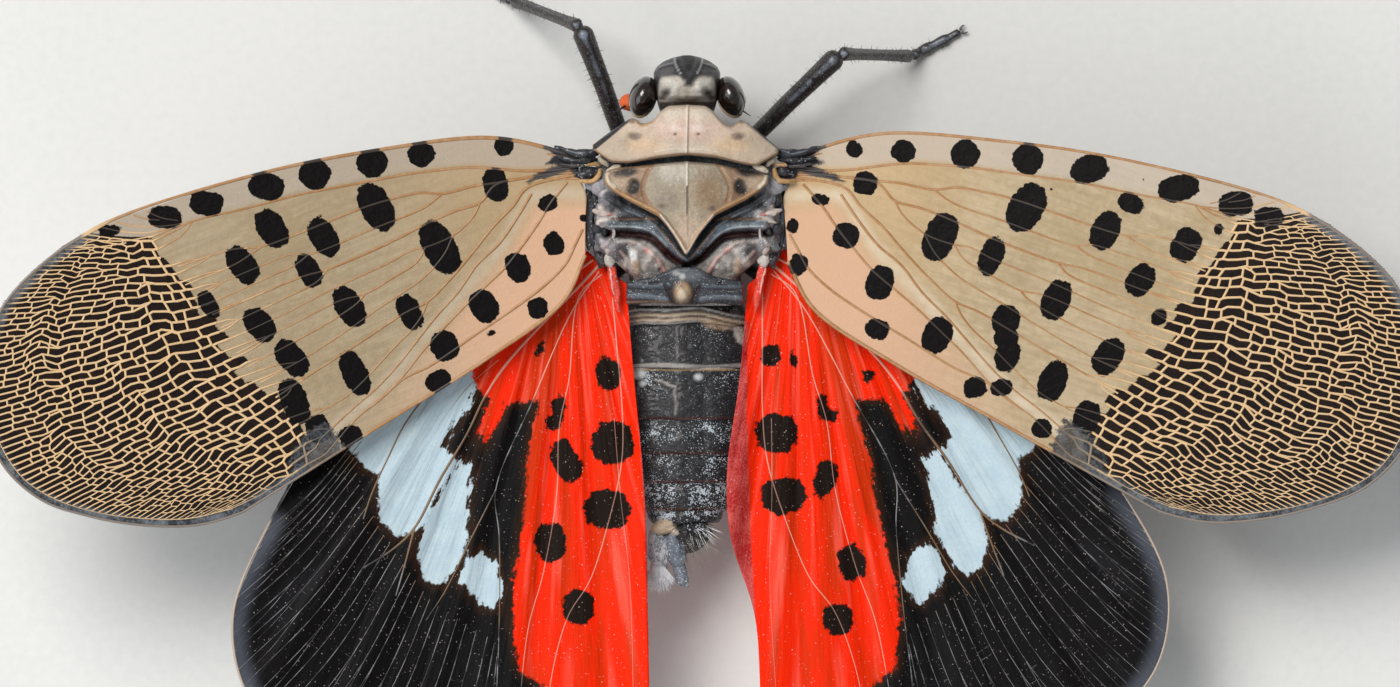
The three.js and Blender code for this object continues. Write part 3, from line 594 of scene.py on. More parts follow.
def spot_distance(plan, spots):
    """How far each plan point is from the nearest spot's rim, below zero inside."""
    nearest = np.full(plan.shape[:-1], 9.0)
    for u, v, half_u, half_v, lean in spots:
        turn = math.radians(lean)
        du, dv = plan[..., 0] - u, plan[..., 1] - v
        a = (du * math.cos(turn) + dv * math.sin(turn)) / half_u
        b = (dv * math.cos(turn) - du * math.sin(turn)) / half_v
        radius = (np.abs(a) ** 2.4 + np.abs(b) ** 2.4) ** (1 / 2.4)
        nearest = np.minimum(nearest, (radius - 1) * min(half_u, half_v))
    return nearest


def line_distance(plan, path):
    """Distance to a smooth line, below zero on its right hand side as one walks along it."""
    points = smooth_path(path, 120)
    best = np.full(plan.shape[:-1], 1e9)
    side = np.zeros(plan.shape[:-1])
    for a, b in zip(points[:-1], points[1:]):
        step = b - a
        share = np.clip(((plan - a) @ step) / (step @ step), 0, 1)
        gap = plan - (a + share[..., None] * step)
        distance = np.hypot(gap[..., 0], gap[..., 1])
        closer = distance < best
        turn = step[0] * (plan[..., 1] - a[1]) - step[1] * (plan[..., 0] - a[0])
        side = np.where(closer, np.sign(turn), side)
        best = np.where(closer, distance, best)
    return best * side


def area_distance(plan, corners):
    """Distance to the rim of a closed outline, below zero inside."""
    ring = np.array(corners, float)
    after = np.roll(ring, -1, axis=0)
    best = np.full(plan.shape[:-1], 1e9)
    inside = np.zeros(plan.shape[:-1], bool)
    for a, b in zip(ring, after):
        step = b - a
        share = np.clip(((plan - a) @ step) / (step @ step), 0, 1)
        gap = plan - (a + share[..., None] * step)
        best = np.minimum(best, np.hypot(gap[..., 0], gap[..., 1]))
        crosses = (a[1] > plan[..., 1]) != (b[1] > plan[..., 1])
        rise = np.where(b[1] == a[1], 1e-9, b[1] - a[1])
        at = a[0] + (plan[..., 1] - a[1]) / rise * step[0]
        inside ^= crosses & (plan[..., 0] < at)
    return np.where(inside, -best, best)


print("forewing spots:", {side: len(spots) for side, spots in FORE_SPOTS.items()})

# %% [markdown]
# The net at the tip of the forewings
#
# The outer third of a lanternfly's forewing is a fine net: some thirty pale veins run to the
# margin, fork on the way, and short cross-veins tie them into cells like bricks. It could be
# painted, but a real net is raised and catches the light, so it is drawn as a graph first and
# becomes thin tubes afterwards. The graph lives on a patch between the line where the net
# starts and the wing's margin, and a fixed seed keeps it the same on every run.

# %% Patch of the net
NET_START = [(15.5, 3.12), (15.35, 2.4), (15.1, 1.5), (14.8, 0.5), (14.6, -0.8), (14.3, -2), (13.9, -3),
             (13.5, -4), (13.2, -5), (13.1, -5.9), (13.3, -6.72)]
NET_MARGIN = [(17.5, 4.04), (18.6, 3.8), (20, 3.32), (21.5, 2.5), (22.6, 1.15), (23.15, -0.5), (23.22, -2),
              (22.9, -3.35),
              (22.1, -4.45), (20.9, -5.42), (19.5, -6.2), (18, -6.8), (16.4, -7.05)]
NET_FRONT = [(15.5, 3.12), (16.1, 3.33), (16.8, 3.66), (17.5, 4.04)]
NET_REAR = [(13.3, -6.72), (14.3, -6.88), (15.4, -7.02), (16.4, -7.05)]
NET_SAMPLES = 400
net_start = smooth_path(NET_START, NET_SAMPLES)
net_margin = smooth_path(NET_MARGIN, NET_SAMPLES)
net_front = smooth_path(NET_FRONT, NET_SAMPLES)
net_rear = smooth_path(NET_REAR, NET_SAMPLES)


def pick(curve, share):
    """The point at a share of a finely sampled curve."""
    spot = np.clip(np.asarray(share, float), 0, 1) * (len(curve) - 1)
    return np.stack([np.interp(spot, np.arange(len(curve)), curve[:, axis]) for axis in (0, 1)], -1)


def net_point(along, over):
    """A point of the net patch: along runs from its start to the margin, over from front to rear."""
    a, o = np.asarray(along, float)[..., None], np.asarray(over, float)[..., None]
    sides = (1 - o) * pick(net_front, along) + o * pick(net_rear, along)
    ends = (1 - a) * pick(net_start, over) + a * pick(net_margin, over)
    corners = ((1 - a) * ((1 - o) * net_start[0] + o * net_start[-1])
               + a * ((1 - o) * net_margin[0] + o * net_margin[-1]))
    return sides + ends - corners


NET_LINES = 28
NET_CELL = 0.58
NET_COMB = 0.93


FORK_OPENING = 0.12
FIRST_FORKS = (0.15, 0.37, 0.24, 0.48, 0.3)
SECOND_FORKS = (0.62, 0.76, 0.69)
ROW_SHARE = 0.19
SMALL_STEP = 1e-5
FINEST_LINE = 0.018


def net_leaves(rng):
    """Every pale line of the net: its row, where it is born, and the line it forks from."""
    leaves = []
    for line in range(NET_LINES):
        first = FIRST_FORKS[line % len(FIRST_FORKS)] + rng.uniform(-0.035, 0.035)
        head = len(leaves)
        for half in range(2):
            leaves.append({"line": line, "birth": first if half else 0.0, "parent": head})
            turn = 2 * line + half
            if turn % 5 in (1, 3):
                second = SECOND_FORKS[turn % len(SECOND_FORKS)] + rng.uniform(-0.03, 0.03)
                leaves.append({"line": line, "birth": second, "parent": len(leaves) - 1})
    return leaves


def draw_net(seed):
    """The net's graph: plan points, edges, thickness at each point, and where each row starts."""
    rng = random.Random(seed)
    starts = [rng.uniform(-0.035, 0.045) for _ in range(NET_LINES + 1)]
    leaves = net_leaves(rng)
    births = np.array([leaf["birth"] for leaf in leaves])

    def over(rank, along):
        """All born lines share the width evenly; a young one opens away from its parent."""
        weights = np.where(births > 0, ease(along - births, 0.0, FORK_OPENING), 1.0)
        middles = (np.cumsum(weights) - weights / 2) / weights.sum()
        return middles[rank] * weights[rank] + middles[leaves[rank]["parent"]] * (1 - weights[rank])

    def carrier(rank, along):
        """The line that stands for this one while it isn't born."""
        while leaves[rank]["birth"] > along:
            rank = leaves[rank]["parent"]
        return rank

    def line_size(rank, along):
        """A line's radius: thinner towards the margin, and where the rows lie close together."""
        here = net_point(along, over(rank, along))
        aside = net_point(along, over(rank, along) + 0.01) - here
        behind = here - net_point(along - 0.02, over(rank, along))
        length = np.hypot(*behind)
        pitch = np.hypot(*aside)
        if length > SMALL_STEP:
            pitch = abs(aside[0] * behind[1] - aside[1] * behind[0]) / length
        pitch *= 100 / max((births <= along).sum(), 1)
        return max(min(0.055 - 0.014 * along, ROW_SHARE * pitch), FINEST_LINE)

    points, edges, sizes = [], [], []
    junctions = [[] for _ in leaves]
    ties = []
    for rank in range(len(leaves) - 1):
        along = max(starts[leaves[rank]["line"]], 0) + rng.uniform(0.0, 0.07)
        while along < NET_COMB:
            one, two = carrier(rank, along), carrier(rank + 1, along)
            gap = net_point(along, over(one, along)) - net_point(along, over(two, along))
            if one != two and np.linalg.norm(gap) > 0.09:
                first = [along, 1, None]
                second = [min(1.0, max(0, along + rng.uniform(-0.010, 0.010))), -1, None]
                junctions[one].append(first)
                junctions[two].append(second)
                ties.append((first, second))
            step = net_point(min(along + 0.02, 1), over(one, along)) - net_point(along, over(one, along))
            cell = NET_CELL * rng.uniform(0.5, 1.65) * (1.1 - 0.3 * along)
            along += cell * 0.02 / max(np.linalg.norm(step), 1e-4)
    for rank, leaf in enumerate(leaves):
        own = leaf["birth"] or starts[leaf["line"]]
        spots = [[own, 0, None]] + [j for j in junctions[rank] if j[0] > own] + [[1.0, 0, None]]
        spots += [[along, 0, None] for along in np.arange(max(own, 0) + 0.03, 0.99, 0.06)]
        spots.sort(key=lambda j: j[0])
        last = None
        for spot in spots:
            here = net_point(spot[0], over(rank, spot[0]))
            side = net_point(spot[0], over(rank, spot[0]) + 0.01) - here
            side = side / max(np.linalg.norm(side), 1e-9)
            points.append(here + side * spot[1] * rng.uniform(0.008, 0.03))
            sizes.append(line_size(rank, spot[0]))
            spot[2] = len(points) - 1
            if last is not None:
                edges.append((last, spot[2]))
            last = spot[2]
    for first, second in ties:
        if first[2] is not None and second[2] is not None:
            edges.append((first[2], second[2]))
    return np.array(points), edges, np.array(sizes), starts


net_points, net_edges, _, net_starts = draw_net(11)
print("net:", len(net_points), "junctions and", len(net_edges), "pieces of vein")

# %% Values that the forewing's material reads
CLAVUS_SEAM = [(0.45, -1.0), (2.25, -0.42), (4, -1.67), (6, -2.75), (8, -3.83), (10, -4.9), (12.2, -5.7),
               (14, -6.6)]
RADIUS_VEIN = [(0.2, -0.1), (2.33, 0.5), (4, 1.29), (6, 1.83), (8, 2.21), (10, 2.58), (12, 2.82), (14, 3.05),
               (16, 3.1)]
WING_ROOT = [(-0.3, 0.35), (0.3, 0.45), (1.0, 0.98), (1.25, 0.98), (0.9, 0.55), (1.35, 0.4), (1.0, 0.2),
             (2.0, 0.12),
             (2.3, 0.0), (1.2, -0.1), (0.62, -0.12), (0.5, -0.5), (-0.1, -0.62)]
DARK_CORNER = [(12.1, -5.3), (13.2, -5.6), (13.9, -6.3), (13.4, -7.2), (12.0, -6.9), (11.9, -6.1)]


NET_BEFORE = 0.12
SEARCH_GRID = (170, 260)


def nearest_on_net(plan):
    """Which row and how far along the net patch each plan point lies."""
    samples = np.linspace(-NET_BEFORE, 1.0, SEARCH_GRID[0])
    overs = np.linspace(0, 1, SEARCH_GRID[1])
    a, o = np.meshgrid(samples, overs, indexing="ij")
    ahead = net_point(np.maximum(a, 0), o)
    step = net_point(np.full_like(o, 0.02), o) - net_point(np.zeros_like(o), o)
    field = ahead + np.minimum(a, 0)[..., None] * step / 0.02
    tree = kdtree.KDTree(field.shape[0] * field.shape[1])
    for index, (x, y) in enumerate(field.reshape(-1, 2)):
        tree.insert((x, y, 0), index)
    tree.balance()
    found = np.array([tree.find((x, y, 0))[1] for x, y in plan.reshape(-1, 2)])
    along, over = samples[found // len(overs)], overs[found % len(overs)]
    return along.reshape(plan.shape[:-1]), over.reshape(plan.shape[:-1])


def forewing_values(plan, side, starts, coordinates=None):
    """Everything that the colours of a forewing depend on, for each plan point."""
    along, over = coordinates if coordinates is not None else nearest_on_net(plan)
    row = np.clip((over * NET_LINES - 0.5 + 1).astype(int), 0, NET_LINES)
    begins = np.array(starts)[row]
    outside = plan[..., 0] < 12.4
    net = np.where(outside, -2.0, (along - begins) * 8.5)
    net = np.minimum(net, -2 * line_distance(plan, NET_FRONT))
    rim = np.minimum.reduce([np.abs(line_distance(plan, FOREWING_LINES[0])),
                             np.abs(line_distance(plan, OUTER_RIM)),
                             np.abs(line_distance(plan, FOREWING_LINES[-1]))])
    return {
        "spot": spot_distance(plan, FORE_SPOTS[side]),
        "net": net,
        "rim": rim,
        "clavus": -line_distance(plan, CLAVUS_SEAM),
        "costa": line_distance(plan, RADIUS_VEIN),
        "corner": area_distance(plan, DARK_CORNER),
        "root": area_distance(plan, WING_ROOT),
        "plan": np.concatenate([plan, np.zeros((*plan.shape[:-1], 1))], -1),
    }


OUTER_RIM = [path[-1] for path in FOREWING_LINES]
print("outer margin passes", len(OUTER_RIM), "line ends")

# %% [markdown]
# Veins as tubes
#
# A vein is a small tube in the skin. The graph of veins is a mesh of points and edges, and a
# geometry node tree turns the edges into round tubes whose thickness is read at every point.
# The tree is built once and every set of veins uses it with its own values.

# %% The tube tree
def set_modifier_value(modifier, tree, key, value):
    """Gives a modifier's input its value by the name shown on the tree."""
    for item in tree.interface.items_tree:
        if item.item_type == "SOCKET" and item.in_out == "INPUT" and item.name == key:
            modifier[item.identifier] = value


def tree_shell(name, inputs):
    """An empty geometry node tree with a geometry going in and out and named inputs."""
    tree = bpy.data.node_groups.new(name, "GeometryNodeTree")
    tree.interface.new_socket("Geometry", in_out="INPUT", socket_type="NodeSocketGeometry")
    for key, kind in inputs:
        tree.interface.new_socket(key, in_out="INPUT", socket_type=kind)
    tree.interface.new_socket("Geometry", in_out="OUTPUT", socket_type="NodeSocketGeometry")
    return tree, tree.nodes.new("NodeGroupInput"), tree.nodes.new("NodeGroupOutput")


def tube_tree():
    """Edges become tubes as thick as the attribute thick says."""
    tree, start, end = tree_shell("edges to tubes", [("Sides", "NodeSocketInt"),
                                                     ("Material", "NodeSocketMaterial")])
    curve = node(tree, "GeometryNodeMeshToCurve", {"Mesh": start.outputs["Geometry"]})
    ring = node(tree, "GeometryNodeCurvePrimitiveCircle", {"Resolution": start.outputs["Sides"],
                                                           "Radius": 1.0})
    thick = node(tree, "GeometryNodeInputNamedAttribute", {"Name": "thick"}, data_type="FLOAT")
    tube = node(tree, "GeometryNodeCurveToMesh", {"Curve": curve.outputs[0],
                                                  "Profile Curve": ring.outputs[0],
                                                  "Scale": thick.outputs[0], "Fill Caps": True})
    smooth = node(tree, "GeometryNodeSetShadeSmooth", {0: tube.outputs[0]})
    real = node(tree, "GeometryNodeRealizeInstances", {0: smooth.outputs[0]})
    final = node(tree, "GeometryNodeSetMaterial", {"Geometry": real.outputs[0],
                                                   "Material": start.outputs["Material"]})
    tree.links.new(final.outputs[0], end.inputs["Geometry"])
    return tree


TUBES = tube_tree()


def grow(name, carrier, tree, inputs):
    """Runs a node tree on a carrier mesh and keeps the result as a plain mesh object."""
    modifier = carrier.modifiers.new("grow", "NODES")
    modifier.node_group = tree
    for key, value in inputs.items():
        set_modifier_value(modifier, tree, key, value)
    carrier.update_tag()
    ready = carrier.evaluated_get(bpy.context.evaluated_depsgraph_get())
    data = bpy.data.meshes.new_from_object(ready)
    data.name = name
    carrier.modifiers.remove(modifier)
    made = bpy.data.objects.new(name, data)
    bpy.context.scene.collection.objects.link(made)
    return made


TUBE_SIDES = 5


def tubes(name, points, edges, radii, material, values=None):
    """Tubes along edges between points in insect millimetres."""
    data = bpy.data.meshes.new(name + "_lines")
    data.from_pydata([tuple(p) for p in place(points)], [tuple(map(int, e)) for e in edges], [])
    columns = {"thick": np.asarray(radii, float) * MM, **(values or {})}
    for key, column in columns.items():
        layer = data.attributes.new(key, "FLOAT", "POINT")
        layer.data.foreach_set("value", np.asarray(column, np.float32))
    carrier = bpy.data.objects.new(name + "_lines", data)
    bpy.context.scene.collection.objects.link(carrier)
    made = grow(name, carrier, TUBES, {"Sides": TUBE_SIDES, "Material": material})
    bpy.data.objects.remove(carrier)
    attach(made, "root")
    return made


def bristle_tree():
    """Thin cones stand on the faces of a body, all leaning one way."""
    tree, start, end = tree_shell("bristles on faces", [
        ("Density", "NodeSocketFloat"), ("Length", "NodeSocketFloat"), ("Thickness", "NodeSocketFloat"),
        ("Lean", "NodeSocketVector"), ("Seed", "NodeSocketInt"), ("Material", "NodeSocketMaterial")])
    spots = node(tree, "GeometryNodeDistributePointsOnFaces", {
        "Mesh": start.outputs["Geometry"], "Density": start.outputs["Density"],
        "Seed": start.outputs["Seed"]})
    aim = node(tree, "ShaderNodeVectorMath", {0: spots.outputs["Normal"], 1: start.outputs["Lean"]},
               operation="ADD")
    turn = node(tree, "FunctionNodeAlignRotationToVector", {"Vector": aim.outputs[0]}, axis="Z")
    cone = node(tree, "GeometryNodeMeshCone", {"Vertices": 4, "Radius Top": 0.0,
                                               "Depth": start.outputs["Length"],
                                               "Radius Bottom": start.outputs["Thickness"]})
    size = node(tree, "FunctionNodeRandomValue", {2: 0.5, 3: 1.0, "Seed": start.outputs["Seed"]},
                data_type="FLOAT")
    placed = node(tree, "GeometryNodeInstanceOnPoints", {
        "Points": spots.outputs["Points"], "Instance": cone.outputs[0], "Rotation": turn.outputs[0],
        "Scale": size.outputs[1]})
    real = node(tree, "GeometryNodeRealizeInstances", {0: placed.outputs[0]})
    final = node(tree, "GeometryNodeSetMaterial", {"Geometry": real.outputs[0],
                                                   "Material": start.outputs["Material"]})
    tree.links.new(final.outputs[0], end.inputs["Geometry"])
    return tree


BRISTLES = bristle_tree()


def bristles(name, points, faces, material, density, length, thickness, lean=(0.0, 0.0, 0.0), seed=1):
    """Bristles all over a body in insect millimetres: so many per square millimetre."""
    data = bpy.data.meshes.new(name + "_ground")
    data.from_pydata([tuple(p) for p in place(points)], [], [tuple(map(int, f)) for f in faces])
    carrier = bpy.data.objects.new(name + "_ground", data)
    bpy.context.scene.collection.objects.link(carrier)
    made = grow(name, carrier, BRISTLES, {"Density": density / MM ** 2, "Length": length * MM, "Lean": lean,
                                          "Thickness": thickness * MM, "Seed": seed, "Material": material})
    bpy.data.objects.remove(carrier)
    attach(made, "root")
    return made


class Graph:
    """Points in a wing's plane with edges and thicknesses, gathered path by path."""

    def __init__(self):
        self.points, self.edges, self.sizes = [], [], []

    def path(self, points, thick_start, thick_end=None, step=0.14):
        """Adds a smooth line through a few points, and returns its fine points."""
        length = np.linalg.norm(np.diff(np.array(points, float), axis=0), axis=1).sum()
        fine = smooth_path(points, max(3, math.ceil(length / step)))
        first = len(self.points)
        self.points += list(fine)
        self.edges += [(first + k, first + k + 1) for k in range(len(fine) - 1)]
        self.sizes += list(np.linspace(thick_start, thick_start if thick_end is None else thick_end,
                                       len(fine)))
        return fine

    def add(self, points, edges, sizes):
        """Adds a ready graph."""
        first = len(self.points)
        self.points += list(points)
        self.edges += [(a + first, b + first) for a, b in edges]
        self.sizes += list(sizes)


print("tube tree has", len(TUBES.nodes), "nodes, bristle tree", len(BRISTLES.nodes))

# %% [markdown]
# The long veins of the forewing
#
# Before the net begins, some fifteen long veins leave the hinge and fork a few times. They
# are tinted more deeply than the skin. Close to the net each of its pale lines is fed by a
# thin branch that leaves the nearest long vein a few millimetres before.

# %% Long veins and their branches
LONG_VEINS = [
    [(0.3, -0.1), (1.04, 0.04), (2.33, 0.5), (3, 0.83), (4, 1.29), (5, 1.58), (6, 1.83), (8, 2.21),
     (10, 2.58),
     (12, 2.82), (13, 2.97), (14, 3.09), (15.6, 3.1)],
    [(0.4, -0.2), (1.8, 0.1), (3.33, 0.42), (4, 0.58), (5.25, 0.75), (6, 1.08), (7, 1.23), (8, 1.31),
     (11, 1.29),
     (12, 1.34), (13, 1.63), (15, 1.75)],
    [(12, 1.34), (13, 1.1), (15, 1.05)],
    [(5.25, 0.75), (6, 0.52), (8, 0.48), (10.5, 0.46), (11, 0.67), (12, 0.7), (14.7, 0.62)],
    [(10.5, 0.46), (11, 0.3), (12, 0.23), (14.6, 0.1)],
    [(1.8, 0.1), (3.33, 0.35), (4.08, -0.04), (5, 0), (6, -0.04), (8, -0.23), (10.1, -0.29), (11, -0.2),
     (14.5, -0.3)],
    [(10.1, -0.29), (10.5, -0.54), (12, -0.7), (14.4, -0.85)],
    [(4.08, -0.04), (4.5, -0.42), (5.42, -0.79), (6.5, -0.83), (7, -0.75), (8, -0.88), (10, -1.0),
     (12, -1.2),
     (14.3, -1.35)],
    [(6.5, -0.83), (7, -1.21), (8, -1.43), (9.17, -1.6), (10, -1.5), (12, -1.67), (14.2, -1.9)],
    [(9.17, -1.6), (9.5, -1.8), (11, -2.12), (14, -2.5)],
    [(5.42, -0.79), (6, -1.33), (7, -1.83), (8, -2.08), (9, -2.29), (10, -2.54), (12, -2.96), (13.8, -3.2)],
    [(0.5, -0.35), (2.33, -0.17), (3, -0.58), (4, -1.04), (5, -1.63), (6, -2.17), (7.17, -2.68), (8, -2.75),
     (10, -3.17), (12, -3.58), (13.5, -3.9)],
    [(7.17, -2.68), (7.5, -3.04), (8, -3.38), (9, -3.83), (10, -4.33), (11, -4.75), (13, -5.1)],
    [(2.25, -0.42), (3, -1.0), (4, -1.67), (5, -2.08), (6, -2.75), (7, -3.25), (8, -3.83), (9, -4.42),
     (10, -4.9),
     (11, -5.25), (12.6, -5.9)],
    [(0.9, -0.5), (1.75, -1.0), (2.42, -1.5), (3.17, -2.0), (4.08, -2.54), (5, -2.92), (6, -3.33),
     (7.42, -4.0),
     (8, -4.29), (9.17, -4.96), (10.6, -5.5)],
    [(1.0, -2.29), (1.5, -2.75), (2, -3.21), (3, -3.67), (4, -3.96), (5, -4.2), (6, -4.42), (7, -4.67),
     (8, -4.88),
     (9, -4.96), (10, -5.33), (11, -5.63), (12.3, -6.3)],
]
BASE_VEINS = [
    [(0.15, 0.1), (0.7, 0.42), (1.2, 0.72)], [(0.2, -0.1), (0.9, 0.1), (1.8, 0.25)],
    [(0.3, -0.35), (1.1, -0.1), (2.3, 0.06)], [(0.35, -0.6), (0.8, -0.4), (1.2, -0.3)],
]
FRONT_VEINS = [
    [(15.5, 3.12), (16.4, 3.3), (17.2, 3.62), (17.9, 3.98)], [(16.4, 3.22), (17.4, 3.45), (18.4, 3.84)],
    [(14.0, 3.07), (15.0, 3.32), (15.9, 3.68), (16.5, 4.06)],
    [(14.6, 3.09), (15.7, 3.33), (16.4, 3.66), (17.0, 4.05)],
    [(15.0, 3.55), (15.5, 3.8), (15.8, 4.05)], [(14.4, 3.3), (14.9, 3.6), (15.3, 4.0)],
]
LONG_VEIN_SIZE = 0.058
BRANCH_SIZE = 0.03
RIM_LIFT = 0.012


def forewing_graph(seed):
    """All veins of a forewing in its own plane."""
    rng = random.Random(seed)
    graph = Graph()
    samples = []
    for number, path in enumerate(LONG_VEINS):
        size = LONG_VEIN_SIZE if path[0][0] < 4 else LONG_VEIN_SIZE * 0.75
        samples.append(graph.path(path, size, size * 0.62))
    for path in BASE_VEINS:
        graph.path(path, 0.06, 0.03)
    for path in FRONT_VEINS:
        graph.path(path, 0.03, 0.035)
    graph.path(FOREWING_LINES[0] + [(18.6, 3.88)], 0.075, 0.05)
    graph.path(OUTER_RIM, 0.05, 0.05)
    graph.path(FOREWING_LINES[-1], 0.075, 0.05)
    points, edges, sizes, starts = draw_net(seed)
    graph.add(points, edges, sizes)
    tracks = np.concatenate(samples)
    for line in range(NET_LINES):
        begin = net_point(starts[line], (line + 0.5) / NET_LINES)
        reach = rng.uniform(0.5, 2.1)
        ahead = tracks[np.abs(tracks[:, 0] - (begin[0] - reach)) < 0.2]
        if not len(ahead):
            continue
        join = ahead[np.argmin(np.abs(ahead[:, 1] - begin[1]))]
        if abs(join[1] - begin[1]) > 0.5:
            continue
        bend = (join * 0.62 + begin * 0.38) + np.array([0, 0.3 * (begin[1] - join[1])])
        graph.path([tuple(join), tuple(bend), tuple(begin)], BRANCH_SIZE, 0.04)
    for rank in range(170):
        over = (rank + 0.5) / 170
        foot = net_point(1.0, over)
        inside = net_point(0.985, over)
        aim = (foot - inside) / np.linalg.norm(foot - inside)
        graph.path([tuple(foot), tuple(foot + aim * rng.uniform(0.1, 0.2))], 0.016, 0.012, step=0.2)
    margin = [tuple(net_point(1.0, over)) for over in np.linspace(0, 1, 60)]
    graph.path(margin, 0.022, 0.022)
    return graph


OUTER_RIM = [path[-1] for path in FOREWING_LINES]
vein_graph = forewing_graph(11)
print("forewing veins:", len(vein_graph.points), "points")

# %% [markdown]
# Forewing colours
#
# The skin is khaki, rosier behind the seam and greyer along the front. Spots are pigment, so
# they lie flat in the skin, with torn rims. In the net only the cells are dark: the pale veins
# over them are the tubes. A narrow blue grey band closes the outer margin.

# %% Forewing materials
KHAKI = (0.45, 0.345, 0.205)
KHAKI_PALE = (0.55, 0.44, 0.29)
ROSE = (0.70, 0.43, 0.29)
FRONT_STRIP = (0.56, 0.49, 0.42)
SPOT_BLACK = (0.0065, 0.0055, 0.0055)
CELL_BROWN = (0.022, 0.0135, 0.0105)
RIM_GREY = (0.17, 0.19, 0.21)
NET_CREAM = (0.74, 0.50, 0.26)
VEIN_TAN = (0.40, 0.19, 0.065)
VEIN_IN_SPOT = (0.045, 0.033, 0.026)
WING_SHINE = 0.06


def forewing_skin_material():
    made, tree, shader = new_material("forewing_skin")
    out, forward, _ = node(tree, "ShaderNodeSeparateXYZ", {0: attribute(tree, "plan", "Vector")}).outputs
    mottle = use_group(tree, MOTTLE, {"Large": 0.35, "Small": 4.0}).outputs[0]
    base = blend_colours(tree, mottle, KHAKI, KHAKI_PALE)
    streak_coordinates = node(tree, "ShaderNodeVectorMath", {0: attribute(tree, "plan", "Vector"),
                                                      1: (0.5, 5.0, 1.0)},
                       operation="MULTIPLY").outputs[0]
    creases_and_sheen = noise(tree, streak_coordinates, 1.0, 5.0, 0.65)
    # Streaks along the veins: the darker ones are painted shade in fine creases, the paler ones painted
    # sheen along the veins. The same streaks also raise the relief.
    base = blend_colours(tree, times(tree, soft_step(tree, creases_and_sheen, 0.62, 0.34), 0.4), base,
                         (0.33, 0.25, 0.155))
    base = blend_colours(tree, times(tree, soft_step(tree, creases_and_sheen, 0.6, 0.75), 0.5), base,
                         (0.68, 0.57, 0.40))
    warm = times(tree, soft_step(tree, out, 9.0, 2.0), 0.6)
    base = blend_colours(tree, warm, base, (0.62, 0.42, 0.22))
    rose_share = times(tree, soft_step(tree, attribute(tree, "clavus"), 0.0, 0.9),
                       soft_step(tree, out, 13.0, 4.0))
    base = blend_colours(tree, times(tree, rose_share, 0.85), base, ROSE)
    strip_share = times(tree, soft_step(tree, attribute(tree, "costa"), -0.05, 0.25), 0.7)
    base = blend_colours(tree, strip_share, base, FRONT_STRIP)
    seam_near = maths(tree, "ABSOLUTE", maths(tree, "SUBTRACT", attribute(tree, "clavus"), 0.1))
    silk = noise(tree, attribute(tree, "plan", "Vector"), 1.3, 5.0)
    seam = times(tree, soft_step(tree, seam_near, 0.42, 0.02), silk)
    base = blend_colours(tree, seam, base, (0.74, 0.64, 0.5))
    # Painted shade: the left forewing is darkened, as it lies less in the light; the rosy part behind the
    # seam is spared.
    left = soft_step(tree, node(tree, "ShaderNodeSeparateXYZ", {0: millimetres(tree)}).outputs[0], 0.0, -6.0)
    left = times(tree, left, maths(tree, "SUBTRACT", 1.0, rose_share))
    base = blend_colours(tree, times(tree, left, 0.3), base, (0.22, 0.17, 0.115))
    sclerite = use_group(tree, RAGGED, {"Distance": attribute(tree, "root"), "Rough": 0.5, "Soft": 0.08,
                                        "Scale": 3.0}).outputs[0]
    base = blend_colours(tree, sclerite, base, (0.03, 0.031, 0.036))
    cells = use_group(tree, RAGGED, {"Distance": times(tree, attribute(tree, "net"), -1.0),
                                     "Rough": 0.1, "Soft": 0.03, "Scale": 5.0}).outputs[0]
    cell_tint = use_group(tree, MOTTLE, {"Large": 2.2, "Small": 9.0}).outputs[0]
    base = blend_colours(tree, cells, base, blend_colours(tree, cell_tint, CELL_BROWN,
                                                          (0.011, 0.009, 0.0095)))
    corner = use_group(tree, RAGGED, {"Distance": attribute(tree, "corner"), "Rough": 0.8,
                                      "Soft": 0.06}).outputs[0]
    spots = use_group(tree, RAGGED, {"Distance": attribute(tree, "spot"), "Rough": 0.22, "Soft": 0.014,
                                     "Scale": 3.6}).outputs[0]
    base = blend_colours(tree, spots, base, SPOT_BLACK)
    fleck = use_group(tree, MOTTLE, {"Large": 2.5, "Small": 11.0}).outputs[0]
    rim_colour = blend_colours(tree, fleck, (0.035, 0.038, 0.046), RIM_GREY)
    base = blend_colours(tree, times(tree, corner, 0.9), base,
                         blend_colours(tree, fleck, (0.02, 0.021, 0.024), (0.105, 0.115, 0.13)))
    at_tip = maths(tree, "MAXIMUM", soft_step(tree, out, 16.9, 18.0), soft_step(tree, forward, 1.5, 0.5))
    rim = times(tree, soft_step(tree, attribute(tree, "rim"), 0.42, 0.16), cells)
    rim = times(tree, rim, at_tip)
    base = blend_colours(tree, rim, base, rim_colour)
    tree.links.new(base, shader.inputs["Base Color"])
    grain_noise = noise(tree, millimetres(tree), 9.0, 5.0, 0.7)
    puckers = noise(tree, millimetres(tree), 3.2, 2.0)
    raised = times(tree, times(tree, puckers, spots), 2.0)
    relief = maths(tree, "ADD", maths(tree, "ADD", grain_noise, creases_and_sheen), raised)
    bumped(tree, shader, 0.6, 0.00004, relief)
    dark = maths(tree, "MAXIMUM", spots, cells)
    rough = node(tree, "ShaderNodeMapRange", {"Value": dark, "To Min": 0.5, "To Max": 0.4}).outputs[0]
    tree.links.new(rough, shader.inputs["Roughness"])
    shader.inputs["Specular IOR Level"].default_value = WING_SHINE
    return made


